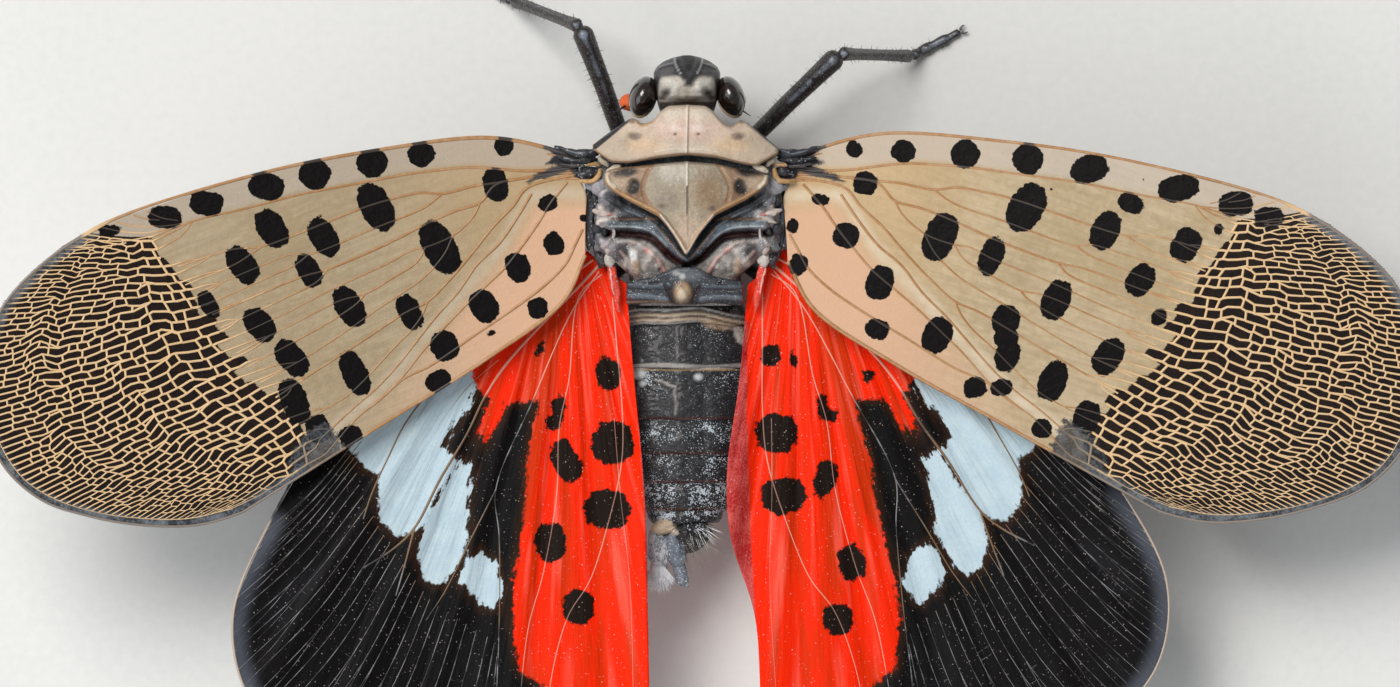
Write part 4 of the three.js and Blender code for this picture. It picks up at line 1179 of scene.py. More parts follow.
def forewing_vein_material():
    made, tree, shader = new_material("forewing_vein")
    base = blend_colours(tree, soft_step(tree, attribute(tree, "net"), -1.6, 0.0), VEIN_TAN, NET_CREAM)
    mottle = use_group(tree, MOTTLE, {"Large": 0.6, "Small": 5.0}).outputs[0]
    base = blend_colours(tree, times(tree, mottle, 0.3), base, (0.72, 0.55, 0.36))
    near_base = soft_step(tree, attribute(tree, "root"), 0.06, -0.02)
    base = blend_colours(tree, near_base, base, (0.07, 0.06, 0.058))
    spots = use_group(tree, RAGGED, {"Distance": attribute(tree, "spot"), "Rough": 0.1,
                                     "Soft": 0.03}).outputs[0]
    base = blend_colours(tree, spots, base, VEIN_IN_SPOT)
    corner = use_group(tree, RAGGED, {"Distance": attribute(tree, "corner"), "Rough": 0.8,
                                      "Soft": 0.06}).outputs[0]
    base = blend_colours(tree, times(tree, corner, 0.75), base, (0.13, 0.12, 0.11))
    at_rim = times(tree, soft_step(tree, attribute(tree, "rim"), 0.28, 0.12),
                   soft_step(tree, attribute(tree, "net"), 0.2, 0.8))
    base = blend_colours(tree, at_rim, base, (0.24, 0.2, 0.17))
    tree.links.new(base, shader.inputs["Base Color"])
    shader.inputs["Roughness"].default_value = 0.42
    return made


FORE_SKIN = forewing_skin_material()
FORE_VEIN = forewing_vein_material()
print("forewing materials ready")

# %% Build both forewings
SKIN_THICKNESS = 0.05
net_coordinates = nearest_on_net(fore_plan)
vein_points = np.array(vein_graph.points)
vein_coordinates = nearest_on_net(vein_points)


def build_skin(name, side, hinge, plan, height, material, values, relief=0.0):
    """A thin closed skin over a plan grid, placed on the insect."""
    x, y = onto_body(side, hinge, plan)
    z = height(side, x, y) + relief
    top = np.stack([x, y, z + SKIN_THICKNESS / 2], -1)
    bottom = np.stack([x, y, z - SKIN_THICKNESS / 2], -1)
    points, faces = shell_of(top, bottom)
    both = {}
    for key, column in values.items():
        flat = column.reshape(-1, 3) if column.ndim == 3 else column.ravel()
        both[key] = np.concatenate([flat, flat])
    return make_piece(name, points, faces, material, both)


def build_veins(name, side, hinge, graph, height, material, values, lift=0.0):
    """The tubes of a vein graph, placed on the insect."""
    plan = np.array(graph.points)
    x, y = onto_body(side, hinge, plan)
    points = np.stack([x, y, height(side, x, y) + lift], -1)
    made = tubes(name, points, graph.edges, graph.sizes, material, values)
    return made


for side in SIDES:
    hinge = FOREWING_PLACE[side]
    values = forewing_values(fore_plan, side, net_starts, net_coordinates)
    skin = build_skin(f"forewing_{side}_skin", side, hinge, fore_plan, wing_height, FORE_SKIN, values)
    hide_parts(f"forewing_{side}")
    vein_values = forewing_values(vein_points, side, net_starts, vein_coordinates)
    vein_values.pop("plan")
    veins = build_veins(f"forewing_{side}_veins", side, hinge, vein_graph, wing_height, FORE_VEIN,
                        vein_values, RIM_LIFT)
    print(skin.name, len(skin.data.polygons), "faces,", veins.name, len(veins.data.polygons), "faces")

# %% [markdown]
# The hindwings
#
# They are softer, folded like a fan and hidden in front by the forewings. Red covers the
# inner part, black follows it with torn, smoky borders, and between them lie blue white
# lobes. Their front borders are hidden in the picture and drawn here as a guess. Beyond, the
# black outer part carries thin grey veins that run side by side to the margin.

# %% Hindwing areas
RED_AREA = [
    (-3, 1), (3.5, 1), (4.9, -2.6), (5.15, -3.6), (5.0, -4.25), (4.7, -4.65), (4.2, -4.85), (2.85, -4.85),
    (3.1, -5.8), (3.35, -7.0), (3.5, -8.6), (3.7, -9.8), (4.0, -11), (4.1, -12.7), (3.9, -14.2),
    (2.8, -15.0),
    (1.0, -15.2), (-3, -14.8),
]
RED_STREAK = (4.45, -5.2, 0.3, 0.85, 25)
DEEP_RED = [(1.3, -0.8), (2.4, -2.0), (3.1, -4.4), (3.5, -6.6), (3.6, -9.5), (3.1, -8.8), (2.6, -6.4),
            (2.1, -4.0)]
BLUE_AREAS = [
    [(4.9, -3.6), (6.2, -3.0), (8.6, -4.6), (9.45, -6.2), (8.95, -6.9), (8.45, -7.15), (8.55, -8.0),
     (8.5, -8.7),
     (8.0, -9.3), (7.5, -9.25), (7.05, -8.9), (6.3, -7.7), (5.75, -6.85), (6.25, -6.3), (5.9, -5.6),
     (5.35, -5.1),
     (5.0, -4.5)],
    [(5.2, -6.95), (5.7, -6.8), (6.3, -7.7), (7.05, -8.95), (7.3, -10.0), (7.0, -10.9), (6.5, -11.1),
     (6.0, -10.75),
     (5.55, -9.6), (5.45, -8.2)],
    [(5.1, -9.95), (5.6, -10.25), (5.8, -11.0), (5.25, -11.8), (4.7, -12.0), (4.4, -11.3), (4.55, -10.5)],
]
AREA_SHIFT = {"right": (0, 0), "left": (0.28, -0.18)}
HIND_RIM = [path[-1] for path in HINDWING_LINES]
FOLD_DEPTH = 0.07


def hindwing_values(plan, side):
    """Everything that the colours of a hindwing depend on."""
    moved = plan + np.array(AREA_SHIFT[side])
    blue = np.minimum.reduce([area_distance(moved, area) for area in BLUE_AREAS])
    values = {
        "red": np.minimum(area_distance(moved, RED_AREA), spot_distance(moved, [RED_STREAK])),
        "blue": blue,
        "spot": spot_distance(plan, HIND_SPOTS[side]),
        "rim": np.abs(line_distance(plan, HIND_RIM + [HINDWING_INNER_EDGE[side][-1]])),
        "fold": area_distance(plan, [(-3, 0), (-0.66, -2), (-0.82, -5.1), (-0.88, -9), (-0.84, -12),
                                     (-0.8, -16),
                                     (-4, -16)]),
        "deep": area_distance(plan, DEEP_RED),
        "out": plan[..., 0] * 1.0,
        "back": -plan[..., 1],
    }
    return values


def fan_graph(seed, side):
    """The veins of a hindwing: a few long ones and the fan in its black outer part."""
    rng = random.Random(seed)
    graph = Graph()
    long_veins = [
        ([(-0.1, -0.5), (-0.2, -2.8), (-0.3, -5.1), (-0.2, -6.9), (0.26, -8.7), (1.07, -10.95), (1.9, -12.2),
          (2.6, -14.5), (2.8, -16.8)], 0.034, 0.022),
        ([(0.2, -0.4), (1.0, -1.07), (1.5, -4), (1.9, -5.6), (2.1, -8.0), (2.7, -10.7), (3.3, -12.6),
          (3.9, -16.9)],
         0.03, 0.022),
        ([(0.3, -0.3), (1.3, -1.65), (2.8, -4.7), (4.2, -7.7), (4.15, -9.3), (4.3, -12.6), (4.7, -17)],
         0.036, 0.02),
        ([(4.2, -7.7), (5.1, -9.3), (6.07, -11.07), (6.8, -12.1)], 0.036, 0.024),
        ([(0.3, -0.1), (3.5, -3.2), (4.4, -4.4), (5.1, -5.7), (6.07, -7.2), (7.06, -8.9), (7.8, -9.56),
          (8.9, -10.2)],
         0.07, 0.04),
        ([(7.06, -8.9), (7.4, -10.0), (7.8, -11.2)], 0.045, 0.03),
        ([(0.5, 0.1), (4.8, -2.7), (7.1, -5.1), (7.9, -6.5), (8.5, -7.7), (8.8, -8.5)], 0.055, 0.03),
        ([(3.9, -3.2), (5.1, -4.2), (6.07, -5.4), (6.9, -6.5)], 0.02, 0.012),
        ([(0.0, -5.4), (-0.1, -8), (-0.3, -11), (-0.25, -15.4)], 0.02, 0.015),
    ]
    for path, begin, end in long_veins:
        graph.path(path, begin, end)
    graph.path(HINDWING_LINES[0] + HIND_RIM[1:] + [HINDWING_INNER_EDGE[side][-1]], 0.05, 0.04)
    starts = smooth_path([(8.6, -5.2), (8.95, -7.0), (8.5, -8.3), (7.9, -9.5), (7.3, -10.4), (6.6, -11.4),
                          (5.4, -12.3), (4.5, -13.0), (4.4, -14.0)], 200)
    ends = smooth_path([(11.9, -8.3)] + HIND_RIM[1:7], 200)
    tracks = 27
    rows = []
    for line in range(tracks):
        share = (line + 0.5 + rng.uniform(-0.12, 0.12)) / tracks
        first, last = pick(starts, share), pick(ends, share ** 0.92)
        sway = np.array([last[1] - first[1], first[0] - last[0]])
        middle = (first + last) / 2 + sway * 0.04
        fine = graph.path([tuple(first), tuple(middle), tuple(last)], 0.021, 0.016)
        rows.append(fine)
        if rng.random() < 0.75:
            fork = fine[int(len(fine) * rng.uniform(0.3, 0.6))]
            beside = pick(ends, (share + 0.5 / tracks) ** 0.92)
            middle = fork * 0.45 + beside * 0.55 + sway * 0.015
            rows.append(graph.path([tuple(fork), tuple(middle), tuple(beside)], 0.018, 0.014))
    for one, two in zip(rows[:-1], rows[1:]):
        count = rng.randint(2, 5)
        for _ in range(count):
            here = one[int(len(one) * rng.uniform(0.25, 0.95))]
            gaps = np.linalg.norm(two - here, axis=1)
            if gaps.min() < 0.75:
                graph.path([tuple(here), tuple(two[np.argmin(gaps)])], 0.013, 0.013, step=0.3)
    return graph


hind_inner = {side: HINDWING_LINES + [HINDWING_INNER_EDGE[side]] for side in SIDES}
print("hindwing spots:", {side: len(spots) for side, spots in HIND_SPOTS.items()})

# %% Hindwing materials
SCARLET = (0.90, 0.022, 0.002)
SCARLET_DEEP = (0.58, 0.032, 0.003)
SCARLET_PALE = (0.96, 0.15, 0.10)
POWDER_BLUE = (0.45, 0.58, 0.66)
SMOKE_BLACK = (0.006, 0.0055, 0.006)


def along_veins(tree, scale_out, scale_back):
    """Noise stretched along the wing, for streaks that follow its folds."""
    out = times(tree, attribute(tree, "ray"), scale_out)
    back = times(tree, attribute(tree, "back"), scale_back)
    joined = node(tree, "ShaderNodeCombineXYZ", {0: out, 1: back, 2: 0.0})
    return noise(tree, joined.outputs[0], 1.0, 3.0)


def hindwing_skin_material():
    made, tree, shader = new_material("hindwing_skin")
    streak = along_veins(tree, 2.3, 0.16)
    red = blend_colours(tree, soft_step(tree, streak, 0.3, 0.55), SCARLET_DEEP, SCARLET)
    deep = times(tree, soft_step(tree, attribute(tree, "deep"), 0.15, -0.1), 0.9)
    red = blend_colours(tree, deep, red, SCARLET_DEEP)
    pale = times(tree, soft_step(tree, along_veins(tree, 3.1, 0.16), 0.5, 0.74), 0.75)
    red = blend_colours(tree, pale, red, SCARLET_PALE)
    under = soft_step(tree, attribute(tree, "fold"), 0.02, -0.06)
    speckle = use_group(tree, MOTTLE, {"Large": 1.2, "Small": 14.0}).outputs[0]
    pinkish = blend_colours(tree, speckle, (0.40, 0.012, 0.012), (0.62, 0.10, 0.09))
    red = blend_colours(tree, under, red, pinkish)
    fine = use_group(tree, MOTTLE, {"Large": 1.5, "Small": 9.0}).outputs[0]
    blue = blend_colours(tree, fine, POWDER_BLUE, (0.52, 0.64, 0.70))
    smoke = soft_step(tree, along_veins(tree, 1.5, 0.3), 0.5, 0.8)
    black = blend_colours(tree, smoke, SMOKE_BLACK, (0.012, 0.012, 0.014))
    torn = maths(tree, "SUBTRACT", along_veins(tree, 6.0, 1.1), 0.5)
    inboard = node(tree, "ShaderNodeMapRange", {"Value": attribute(tree, "out"), "From Min": 6.2,
                                                "From Max": 7.6,
                                                "To Min": 0.85, "To Max": 0.15}).outputs[0]
    torn_far = times(tree, torn, inboard)
    blue_edge = maths(tree, "ADD", attribute(tree, "blue"), torn_far)
    blue_mask = use_group(tree, RAGGED, {"Distance": blue_edge, "Rough": 0.35, "Soft": 0.05,
                                         "Scale": 6.0}).outputs[0]
    red_edge = maths(tree, "ADD", attribute(tree, "red"), times(tree, torn_far, 0.45))
    red_mask = use_group(tree, RAGGED, {"Distance": red_edge, "Rough": 0.45, "Soft": 0.07,
                                        "Scale": 5.0}).outputs[0]
    brown = soft_step(tree, maths(tree, "MINIMUM", blue_edge, red_edge), 0.4, 0.0)
    black = blend_colours(tree, times(tree, brown, 0.8), black, (0.035, 0.016, 0.008))
    base = blend_colours(tree, blue_mask, black, blue)
    base = blend_colours(tree, red_mask, base, red)
    spots = use_group(tree, RAGGED, {"Distance": attribute(tree, "spot"), "Rough": 0.45, "Soft": 0.04,
                                     "Scale": 3.4}).outputs[0]
    base = blend_colours(tree, spots, base, (0.012, 0.007, 0.005))
    dust = use_group(tree, WAX, {"Amount": 0.16, "Scale": 8.0}).outputs[0]
    base = blend_colours(tree, times(tree, dust, 0.6), base, (0.75, 0.62, 0.58))
    neither = maths(tree, "SUBTRACT", 1.0, maths(tree, "MAXIMUM", blue_mask, red_mask))
    band = times(tree, soft_step(tree, attribute(tree, "rim"), 0.75, 0.1), neither)
    base = blend_colours(tree, times(tree, band, 0.8), base, (0.085, 0.095, 0.12))
    tree.links.new(base, shader.inputs["Base Color"])
    ripple = along_veins(tree, 5.0, 0.3)
    bumped(tree, shader, 0.7, 0.00014, ripple)
    fill_inputs(tree, shader, {"Roughness": 0.5, "Specular IOR Level": WING_SHINE})
    return made


def hindwing_vein_material():
    made, tree, shader = new_material("hindwing_vein")
    brown = soft_step(tree, attribute(tree, "blue"), 1.0, 0.2)
    broken = soft_step(tree, noise(tree, millimetres(tree), 1.6, 4.0), 0.4, 0.62)
    grey = blend_colours(tree, broken, (0.028, 0.028, 0.03), (0.25, 0.25, 0.255))
    black_zone = blend_colours(tree, brown, grey, (0.20, 0.12, 0.06))
    red_mask = soft_step(tree, attribute(tree, "red"), 0.1, -0.2)
    base = blend_colours(tree, red_mask, black_zone, (0.80, 0.30, 0.22))
    spots = use_group(tree, RAGGED, {"Distance": attribute(tree, "spot"), "Rough": 0.1,
                                     "Soft": 0.05}).outputs[0]
    base = blend_colours(tree, times(tree, spots, 0.8), base, (0.16, 0.11, 0.09))
    rim = soft_step(tree, attribute(tree, "rim"), 0.1, 0.02)
    base = blend_colours(tree, rim, base, (0.5, 0.4, 0.32))
    tree.links.new(base, shader.inputs["Base Color"])
    shader.inputs["Roughness"].default_value = 0.45
    return made


HIND_SKIN = hindwing_skin_material()
HIND_VEIN = hindwing_vein_material()
print("hindwing materials ready")


# %% Build both hindwings
def pleats(plan):
    """Fan folds: the angle round the wing's root sets where a fold rises or sinks."""
    root = np.array([1.2, 3.0])
    angle = np.arctan2(plan[..., 0] - root[0], -(plan[..., 1] - root[1]))
    distance = np.hypot(plan[..., 0] - root[0], plan[..., 1] - root[1])
    wave = np.sin(angle * 46) + 0.5 * np.sin(angle * 87 + 1.3)
    return FOLD_DEPTH * wave * ease(distance, 4.0, 9.0), angle


for number, side in enumerate(SIDES):
    hinge = HINDWING_PLACE[side]
    plan = lay_skin(hind_inner[side], 170, 0.11)
    lift, ray = pleats(plan)
    values = hindwing_values(plan, side)
    values["ray"] = ray * 9
    skin = build_skin(f"hindwing_{side}_skin", side, hinge, plan, hindwing_height, HIND_SKIN, values, lift)
    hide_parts(f"hindwing_{side}")
    graph = fan_graph(21 + number, side)
    points = np.array(graph.points)
    vein_values = hindwing_values(points, side)
    veins = build_veins(f"hindwing_{side}_veins", side, hinge, graph, hindwing_height, HIND_VEIN,
                        vein_values,
                        pleats(points)[0] + RIM_LIFT)
    print(skin.name, plan.shape[:2], len(skin.data.polygons), "faces,", len(veins.data.polygons),
          "in the veins")

# %% [markdown]
# Sculpting and painting the body
#
# The hard parts of the body are plates and rounded boxes with ridges, dents and marks. A
# small helper keeps two layers for every point of a surface: how much it is raised and how it
# is coloured. A blot is an oval mark and a stroke follows a line. Each can raise the surface,
# colour it, or both, so a ridge and its pale crest come from the same line.

# %% Sculpting helper
class Layers:
    """Relief and colour over the plan points of a surface."""

    def __init__(self, plan, colour):
        self.plan = np.asarray(plan, float)
        self.lift = np.zeros(len(self.plan))
        self.colour = np.tile(np.array(colour, float), (len(self.plan), 1))

    def lay(self, mask, colour, share, lift):
        self.lift += lift * mask
        if colour is not None:
            self.colour += (mask * share)[:, None] * (np.array(colour, float) - self.colour)

    def blot(self, where, half, colour=None, share=1.0, lift=0.0, lean=0.0, soft=0.3, both=False):
        """An oval mark. With both, its mirror image is laid as well."""
        for side in (1, -1) if both else (1,):
            turn = math.radians(lean * side)
            dx, dy = self.plan[:, 0] - side * where[0], self.plan[:, 1] - where[1]
            a = (dx * math.cos(turn) + dy * math.sin(turn)) / half[0]
            b = (dy * math.cos(turn) - dx * math.sin(turn)) / half[1]
            self.lay(1 - ease(np.hypot(a, b), 1 - soft, 1 + soft), colour, share, lift)

    def stroke(self, path, width, colour=None, share=1.0, lift=0.0, soft=0.6, both=False):
        """A line of a given half width."""
        for side in (1, -1) if both else (1,):
            mirrored = [(side * x, y) for x, y in path]
            gap = np.abs(line_distance(self.plan, mirrored))
            self.lay(1 - ease(gap, width * (1 - soft), width * (1 + soft)), colour, share, lift)

    def area(self, corners, colour=None, share=1.0, lift=0.0, soft=0.1, both=False):
        """A filled outline."""
        for side in (1, -1) if both else (1,):
            mirrored = [(side * x, y) for x, y in corners]
            gap = area_distance(self.plan, mirrored)
            self.lay(1 - ease(gap, -soft, soft), colour, share, lift)


def painted_material(name, roughness=0.4, mottle=0.25, wax=0.0, wax_colour=(0.55, 0.6, 0.64), bump=0.00003,
                     bump_scale=14.0, coat=0.0, wax_scale=9.0):
    """A material that shows the painted layer with a little dirt, wax specks and fine grain."""
    made, tree, shader = new_material(name)
    paint = attribute(tree, "paint", "Color")
    dirt = use_group(tree, MOTTLE, {"Large": 1.6, "Small": 11.0}).outputs[0]
    darker = node(tree, "ShaderNodeMixRGB", {"Fac": mottle, "Color1": paint,
                                             "Color2": (0.35, 0.33, 0.31, 1)},
                  blend_type="MULTIPLY").outputs[0]
    base = blend_colours(tree, dirt, darker, paint)
    if wax:
        amount = times(tree, attribute(tree, "wax"), wax)
        specks = use_group(tree, WAX, {"Amount": amount, "Scale": wax_scale}).outputs[0]
        base = blend_colours(tree, specks, base, wax_colour)
        rough = node(tree, "ShaderNodeMapRange", {"Value": specks, "To Min": roughness,
                                                  "To Max": 0.75}).outputs[0]
        tree.links.new(rough, shader.inputs["Roughness"])
    else:
        shader.inputs["Roughness"].default_value = roughness
    tree.links.new(base, shader.inputs["Base Color"])
    fine = noise(tree, millimetres(tree), bump_scale, 5.0, 0.62)
    bumped(tree, shader, 0.8, bump, fine)
    fill_inputs(tree, shader, {"Specular IOR Level": 0.32, "Coat Weight": coat * 0.6,
                               "Coat Roughness": 0.12})
    return made


def painted_piece(name, points, faces, material, colour, wax=None, slot=None, stands_for=()):
    """A piece that carries its painted layer."""
    values = {"wax": np.ones(len(points)) if wax is None else wax}
    made = make_piece(name, points, faces, material, values)
    layer = made.data.attributes.new("paint", "FLOAT_COLOR", "POINT")
    layer.data.foreach_set("color", np.column_stack([np.clip(colour, 0, 1), np.ones(len(points))]).ravel())
    if stands_for:
        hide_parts(*stands_for)
    return made


def ring_body(rings):
    """Points and faces of a closed body from rings of equal count, with rounded-off ends."""
    rings = np.asarray(rings, float)
    count, around = rings.shape[:2]
    points = np.concatenate([rings.reshape(-1, 3), [rings[0].mean(0)], [rings[-1].mean(0)]])
    a = np.arange(count - 1)[:, None] * around + np.arange(around)
    b = np.arange(count - 1)[:, None] * around + (np.arange(around) + 1) % around
    faces = [tuple(f) for f in np.stack([a, b, b + around, a + around], -1).reshape(-1, 4)]
    first, last, end = count * around, count * around + 1, (count - 1) * around
    for k in range(around):
        following = (k + 1) % around
        faces += [(first, following, k), (last, end + k, end + following)]
    volume = 0
    for face in faces:
        p = points[list(face)]
        for k in range(1, len(face) - 1):
            volume += p[0] @ np.cross(p[k], p[k + 1])
    if volume < 0:
        faces = [f[::-1] for f in faces]
    return points, faces


def limb_rings(path, radii, around=16, spacing=0.1, blunt=True):
    """Rings of a limb along a smooth path, with radii given at equal shares of its length."""
    length = np.linalg.norm(np.diff(np.array(path, float), axis=0), axis=1).sum()
    fine = smooth_path(path, max(6, math.ceil(length / spacing)))
    share = np.linspace(0, 1, len(fine))
    size = np.interp(share, np.linspace(0, 1, len(radii)), radii)
    if blunt:
        run = share * length
        for gap, radius in ((run, radii[0]), (length - run, radii[-1])):
            inside = np.clip(gap / radius, 0, 1)
            size = size * np.sqrt(np.maximum(1 - (1 - inside) ** 2, 0.0025))
    ahead = np.gradient(fine, axis=0)
    ahead /= np.linalg.norm(ahead, axis=1)[:, None]
    side = np.cross(ahead, [0, 0, 1.0])
    side /= np.maximum(np.linalg.norm(side, axis=1), 1e-6)[:, None]
    up = np.cross(side, ahead)
    angle = np.linspace(0, 2 * math.pi, around, endpoint=False)
    rings = (fine[:, None] + side[:, None] * (np.sin(angle)[:, None] * size[:, None, None])
             + up[:, None] * (np.cos(angle)[:, None] * size[:, None, None]))
    return rings


def join_bodies(bodies):
    """One point list and face list from several closed bodies."""
    points, faces, start = [], [], 0
    for body_points, body_faces in bodies:
        points.append(np.asarray(body_points, float))
        faces += [tuple(int(i) + start for i in f) for f in body_faces]
        start += len(body_points)
    return np.concatenate(points), faces


def ball(centre, half, around=32, along=20, turn=0.0):
    """A closed ellipsoid, turned about the vertical by some degrees."""
    pole = np.linspace(0, math.pi, along + 2)[1:-1]
    angle = np.linspace(0, 2 * math.pi, around, endpoint=False)
    rings = np.stack([np.sin(pole)[:, None] * np.cos(angle), np.sin(pole)[:, None] * np.sin(angle),
                      np.cos(pole)[:, None] * np.ones(around)], -1)
    points, faces = ring_body(rings)
    points[-2], points[-1] = (0, 0, 1), (0, 0, -1)
    points = points * half
    lean = math.radians(turn)
    spin = np.array([[math.cos(lean), math.sin(lean), 0], [-math.sin(lean), math.cos(lean), 0], [0, 0, 1]])
    return points @ spin + centre, faces


INK = (0.016, 0.016, 0.018)
HORN = (0.56, 0.44, 0.33)
CREAM = (0.74, 0.66, 0.54)
ORANGE_TAN = (0.56, 0.33, 0.15)
ROSY = (0.72, 0.52, 0.44)
UMBER = (0.16, 0.085, 0.05)
WHITE_WAX = (0.72, 0.75, 0.76)
print("body colours:", 11)

# %% [markdown]
# Head
#
# The head is a rounded box between two large eyes. From above one sees its crown: grey beige
# with two dark dimples and pale painted highlights beside them, a black brow, and two ridges
# that meet in a V at its middle.

# %% Build the head
HEAD_RINGS = np.array([
    (1.55, 0.85, 4.2, 5.85), (1.9, 0.98, 3.9, 5.95), (2.08, 1.03, 3.8, 6.05), (2.27, 1.08, 3.4, 6.45),
    (2.75, 1.14, 3.1, 6.72), (3.1, 1.16, 3.2, 6.6), (3.3, 1.06, 3.6, 6.45), (3.5, 0.8, 4.2, 6.2),
    (3.62, 0.5, 4.6, 5.95), (3.7, 0.15, 5.2, 5.7),
])
HEAD_SQUARENESS = 0.72


def build_head():
    knots = np.concatenate([[0], np.cumsum(np.hypot(np.diff(HEAD_RINGS[:, 0]),
                                                    np.diff(HEAD_RINGS[:, 1]) * 0.6))])
    fine = np.stack([np.interp(np.linspace(0, knots[-1], 90), knots, HEAD_RINGS[:, k]) for k in range(4)], 1)
    for _ in range(3):
        fine[1:-1] = (fine[:-2] + 2 * fine[1:-1] + fine[2:]) / 4
    angle = np.linspace(0, 2 * math.pi, 120, endpoint=False)
    across_share = np.sign(np.sin(angle)) * np.abs(np.sin(angle)) ** HEAD_SQUARENESS
    up_share = np.sign(np.cos(angle)) * np.abs(np.cos(angle)) ** HEAD_SQUARENESS
    y, half, low, high = [fine[:, k][:, None] for k in range(4)]
    rings = np.stack([half * across_share, y + 0 * across_share,
                      (low + high) / 2 + (high - low) / 2 * up_share], -1)
    points, faces = ring_body(rings)
    plan = points[:, :2]
    layers = Layers(plan, (0.03, 0.031, 0.036))
    layers.area([(-1.05, 2.05), (1.05, 2.05), (1.0, 2.6), (0.85, 2.95), (0.3, 2.95), (0.05, 2.72),
                 (-0.2, 2.95),
                 (-0.85, 2.95), (-1.0, 2.6)], (0.60, 0.55, 0.48), 0.97, 0.0, 0.1)
    # Painted highlight: a pale blot beside each dark dimple.
    layers.blot((0.6, 2.62), (0.34, 0.24), (0.74, 0.71, 0.65), 0.8, 0.06, both=True)
    layers.blot((0.74, 2.36), (0.2, 0.13), (0.05, 0.042, 0.038), 0.9, -0.12, lean=-38, both=True, soft=0.75)
    layers.blot((0.86, 2.2), (0.12, 0.07), (0.09, 0.07, 0.06), 0.8, -0.05, lean=20, both=True, soft=0.8)
    # Painted highlight: a smaller pale blot beside each dimple.
    layers.blot((0.42, 2.4), (0.12, 0.2), (0.72, 0.69, 0.64), 0.7, 0.04, lean=25, both=True, soft=0.6)
    layers.blot((0.85, 2.72), (0.1, 0.16), (0.60, 0.55, 0.48), 0.7, 0.03, both=True, soft=0.6)
    layers.blot((0.2, 2.15), (0.18, 0.05), (0.30, 0.2, 0.13), 0.8, 0.02, both=True, soft=0.6)
    layers.blot((0.03, 2.35), (0.05, 0.3), (0.3, 0.25, 0.2), 0.6, -0.02, soft=0.8)
    layers.blot((0.72, 3.12), (0.32, 0.14), (0.1, 0.095, 0.095), 0.85, -0.03, lean=-18, both=True, soft=0.5)
    layers.stroke([(1.1, 3.2), (0.75, 3.36), (0.45, 3.42)], 0.035, (0.16, 0.16, 0.18), 0.9, 0.06, both=True)
    layers.stroke([(1.0, 3.36), (0.7, 3.5), (0.45, 3.56)], 0.05, INK, 0.95, -0.02, both=True)
    for hand, top in ((-1, -0.36), (1, 0.48)):
        ridge = [(top, 3.66), (top * 0.92, 3.4), (top * 0.55 + 0.03, 3.05), (0.06, 2.76)]
        layers.stroke(ridge, 0.12, (0.02, 0.021, 0.025), 0.97, 0.14)
        layers.stroke([(x + hand * 0.07, y) for x, y in ridge[:3]], 0.028, (0.42, 0.41, 0.42), 0.9, 0.03)
        layers.stroke([(x - hand * 0.06, y) for x, y in ridge[:3]], 0.024, (0.012, 0.012, 0.014), 0.9, -0.03)
    layers.area([(-0.2, 3.66), (0.3, 3.66), (0.22, 3.3), (0.07, 3.0), (-0.08, 3.3)], (0.006, 0.006, 0.008),
                1.0, -0.1, 0.05)
    layers.stroke([(-1.1, 2.0), (0, 2.03), (1.1, 2.0)], 0.07, (0.06, 0.035, 0.025), 0.95, 0.0)
    layers.stroke([(1.06, 2.05), (1.07, 2.5), (1.04, 2.9)], 0.07, (0.04, 0.035, 0.035), 0.9, 0.0, both=True)
    facing_up = ease(points[:, 2], 4.9, 5.9)
    colour = layers.colour * facing_up[:, None] + np.array((0.022, 0.022, 0.025)) * (1 - facing_up[:, None])
    points[:, 2] += layers.lift * ease(points[:, 2], 5.2, 6.0)
    points[:, 2] += facing_up * (0.03 * grain(points, 3.1) + 0.015 * grain(points, 8.0))
    clypeus = ring_body(limb_rings([(0, 2.95, 3.9), (0, 2.75, 3.1), (0, 2.2, 2.35)], [0.75, 0.6, 0.34], 32))
    joined, all_faces = join_bodies([(points, faces), clypeus])
    colour = np.concatenate([colour, np.tile((0.05, 0.05, 0.055), (len(clypeus[0]), 1))])
    skin = painted_material("head_shell", 0.32, 0.35, 0.1, bump=0.00006, coat=0.12)
    return painted_piece("head_shell", joined, all_faces, skin, colour, None, "horn", ["head"])


head = build_head()
print(head.name, len(head.data.polygons), "faces")

# %% [markdown]
# Eyes and feelers
#
# The eyes are dark brown, so glossy that the lamp shows in them, with faint rings under the
# surface. A pale rim holds each of them behind. The feelers sit under the eyes: a swollen
# orange-red bulb covered with tiny pits, and a bristle.

# %% Build the eyes and the feelers
FEELER_REACH = {"left": 2.0, "right": 1.52}
EYE = {"x": 1.52, "y": 2.29, "z": 5.35, "half": (0.47, 0.72, 0.78), "lean": 20}


def eye_material():
    made, tree, shader = new_material("eye_glass")
    away = times(tree, attribute(tree, "crown"), 26.0)
    wave = maths(tree, "SINE", away)
    rings = soft_step(tree, wave, 0.2, 1.0)
    base = blend_colours(tree, times(tree, rings, 0.5), (0.010, 0.006, 0.005), (0.045, 0.026, 0.018))
    tree.links.new(base, shader.inputs["Base Color"])
    cells = node(tree, "ShaderNodeTexVoronoi", {"Vector": millimetres(tree), "Scale": 26.0})
    bumped(tree, shader, 0.25, 0.00001, cells.outputs["Distance"])
    fill_inputs(tree, shader, {"Roughness": 0.22, "Coat Weight": 1.0, "Coat Roughness": 0.04})
    return made


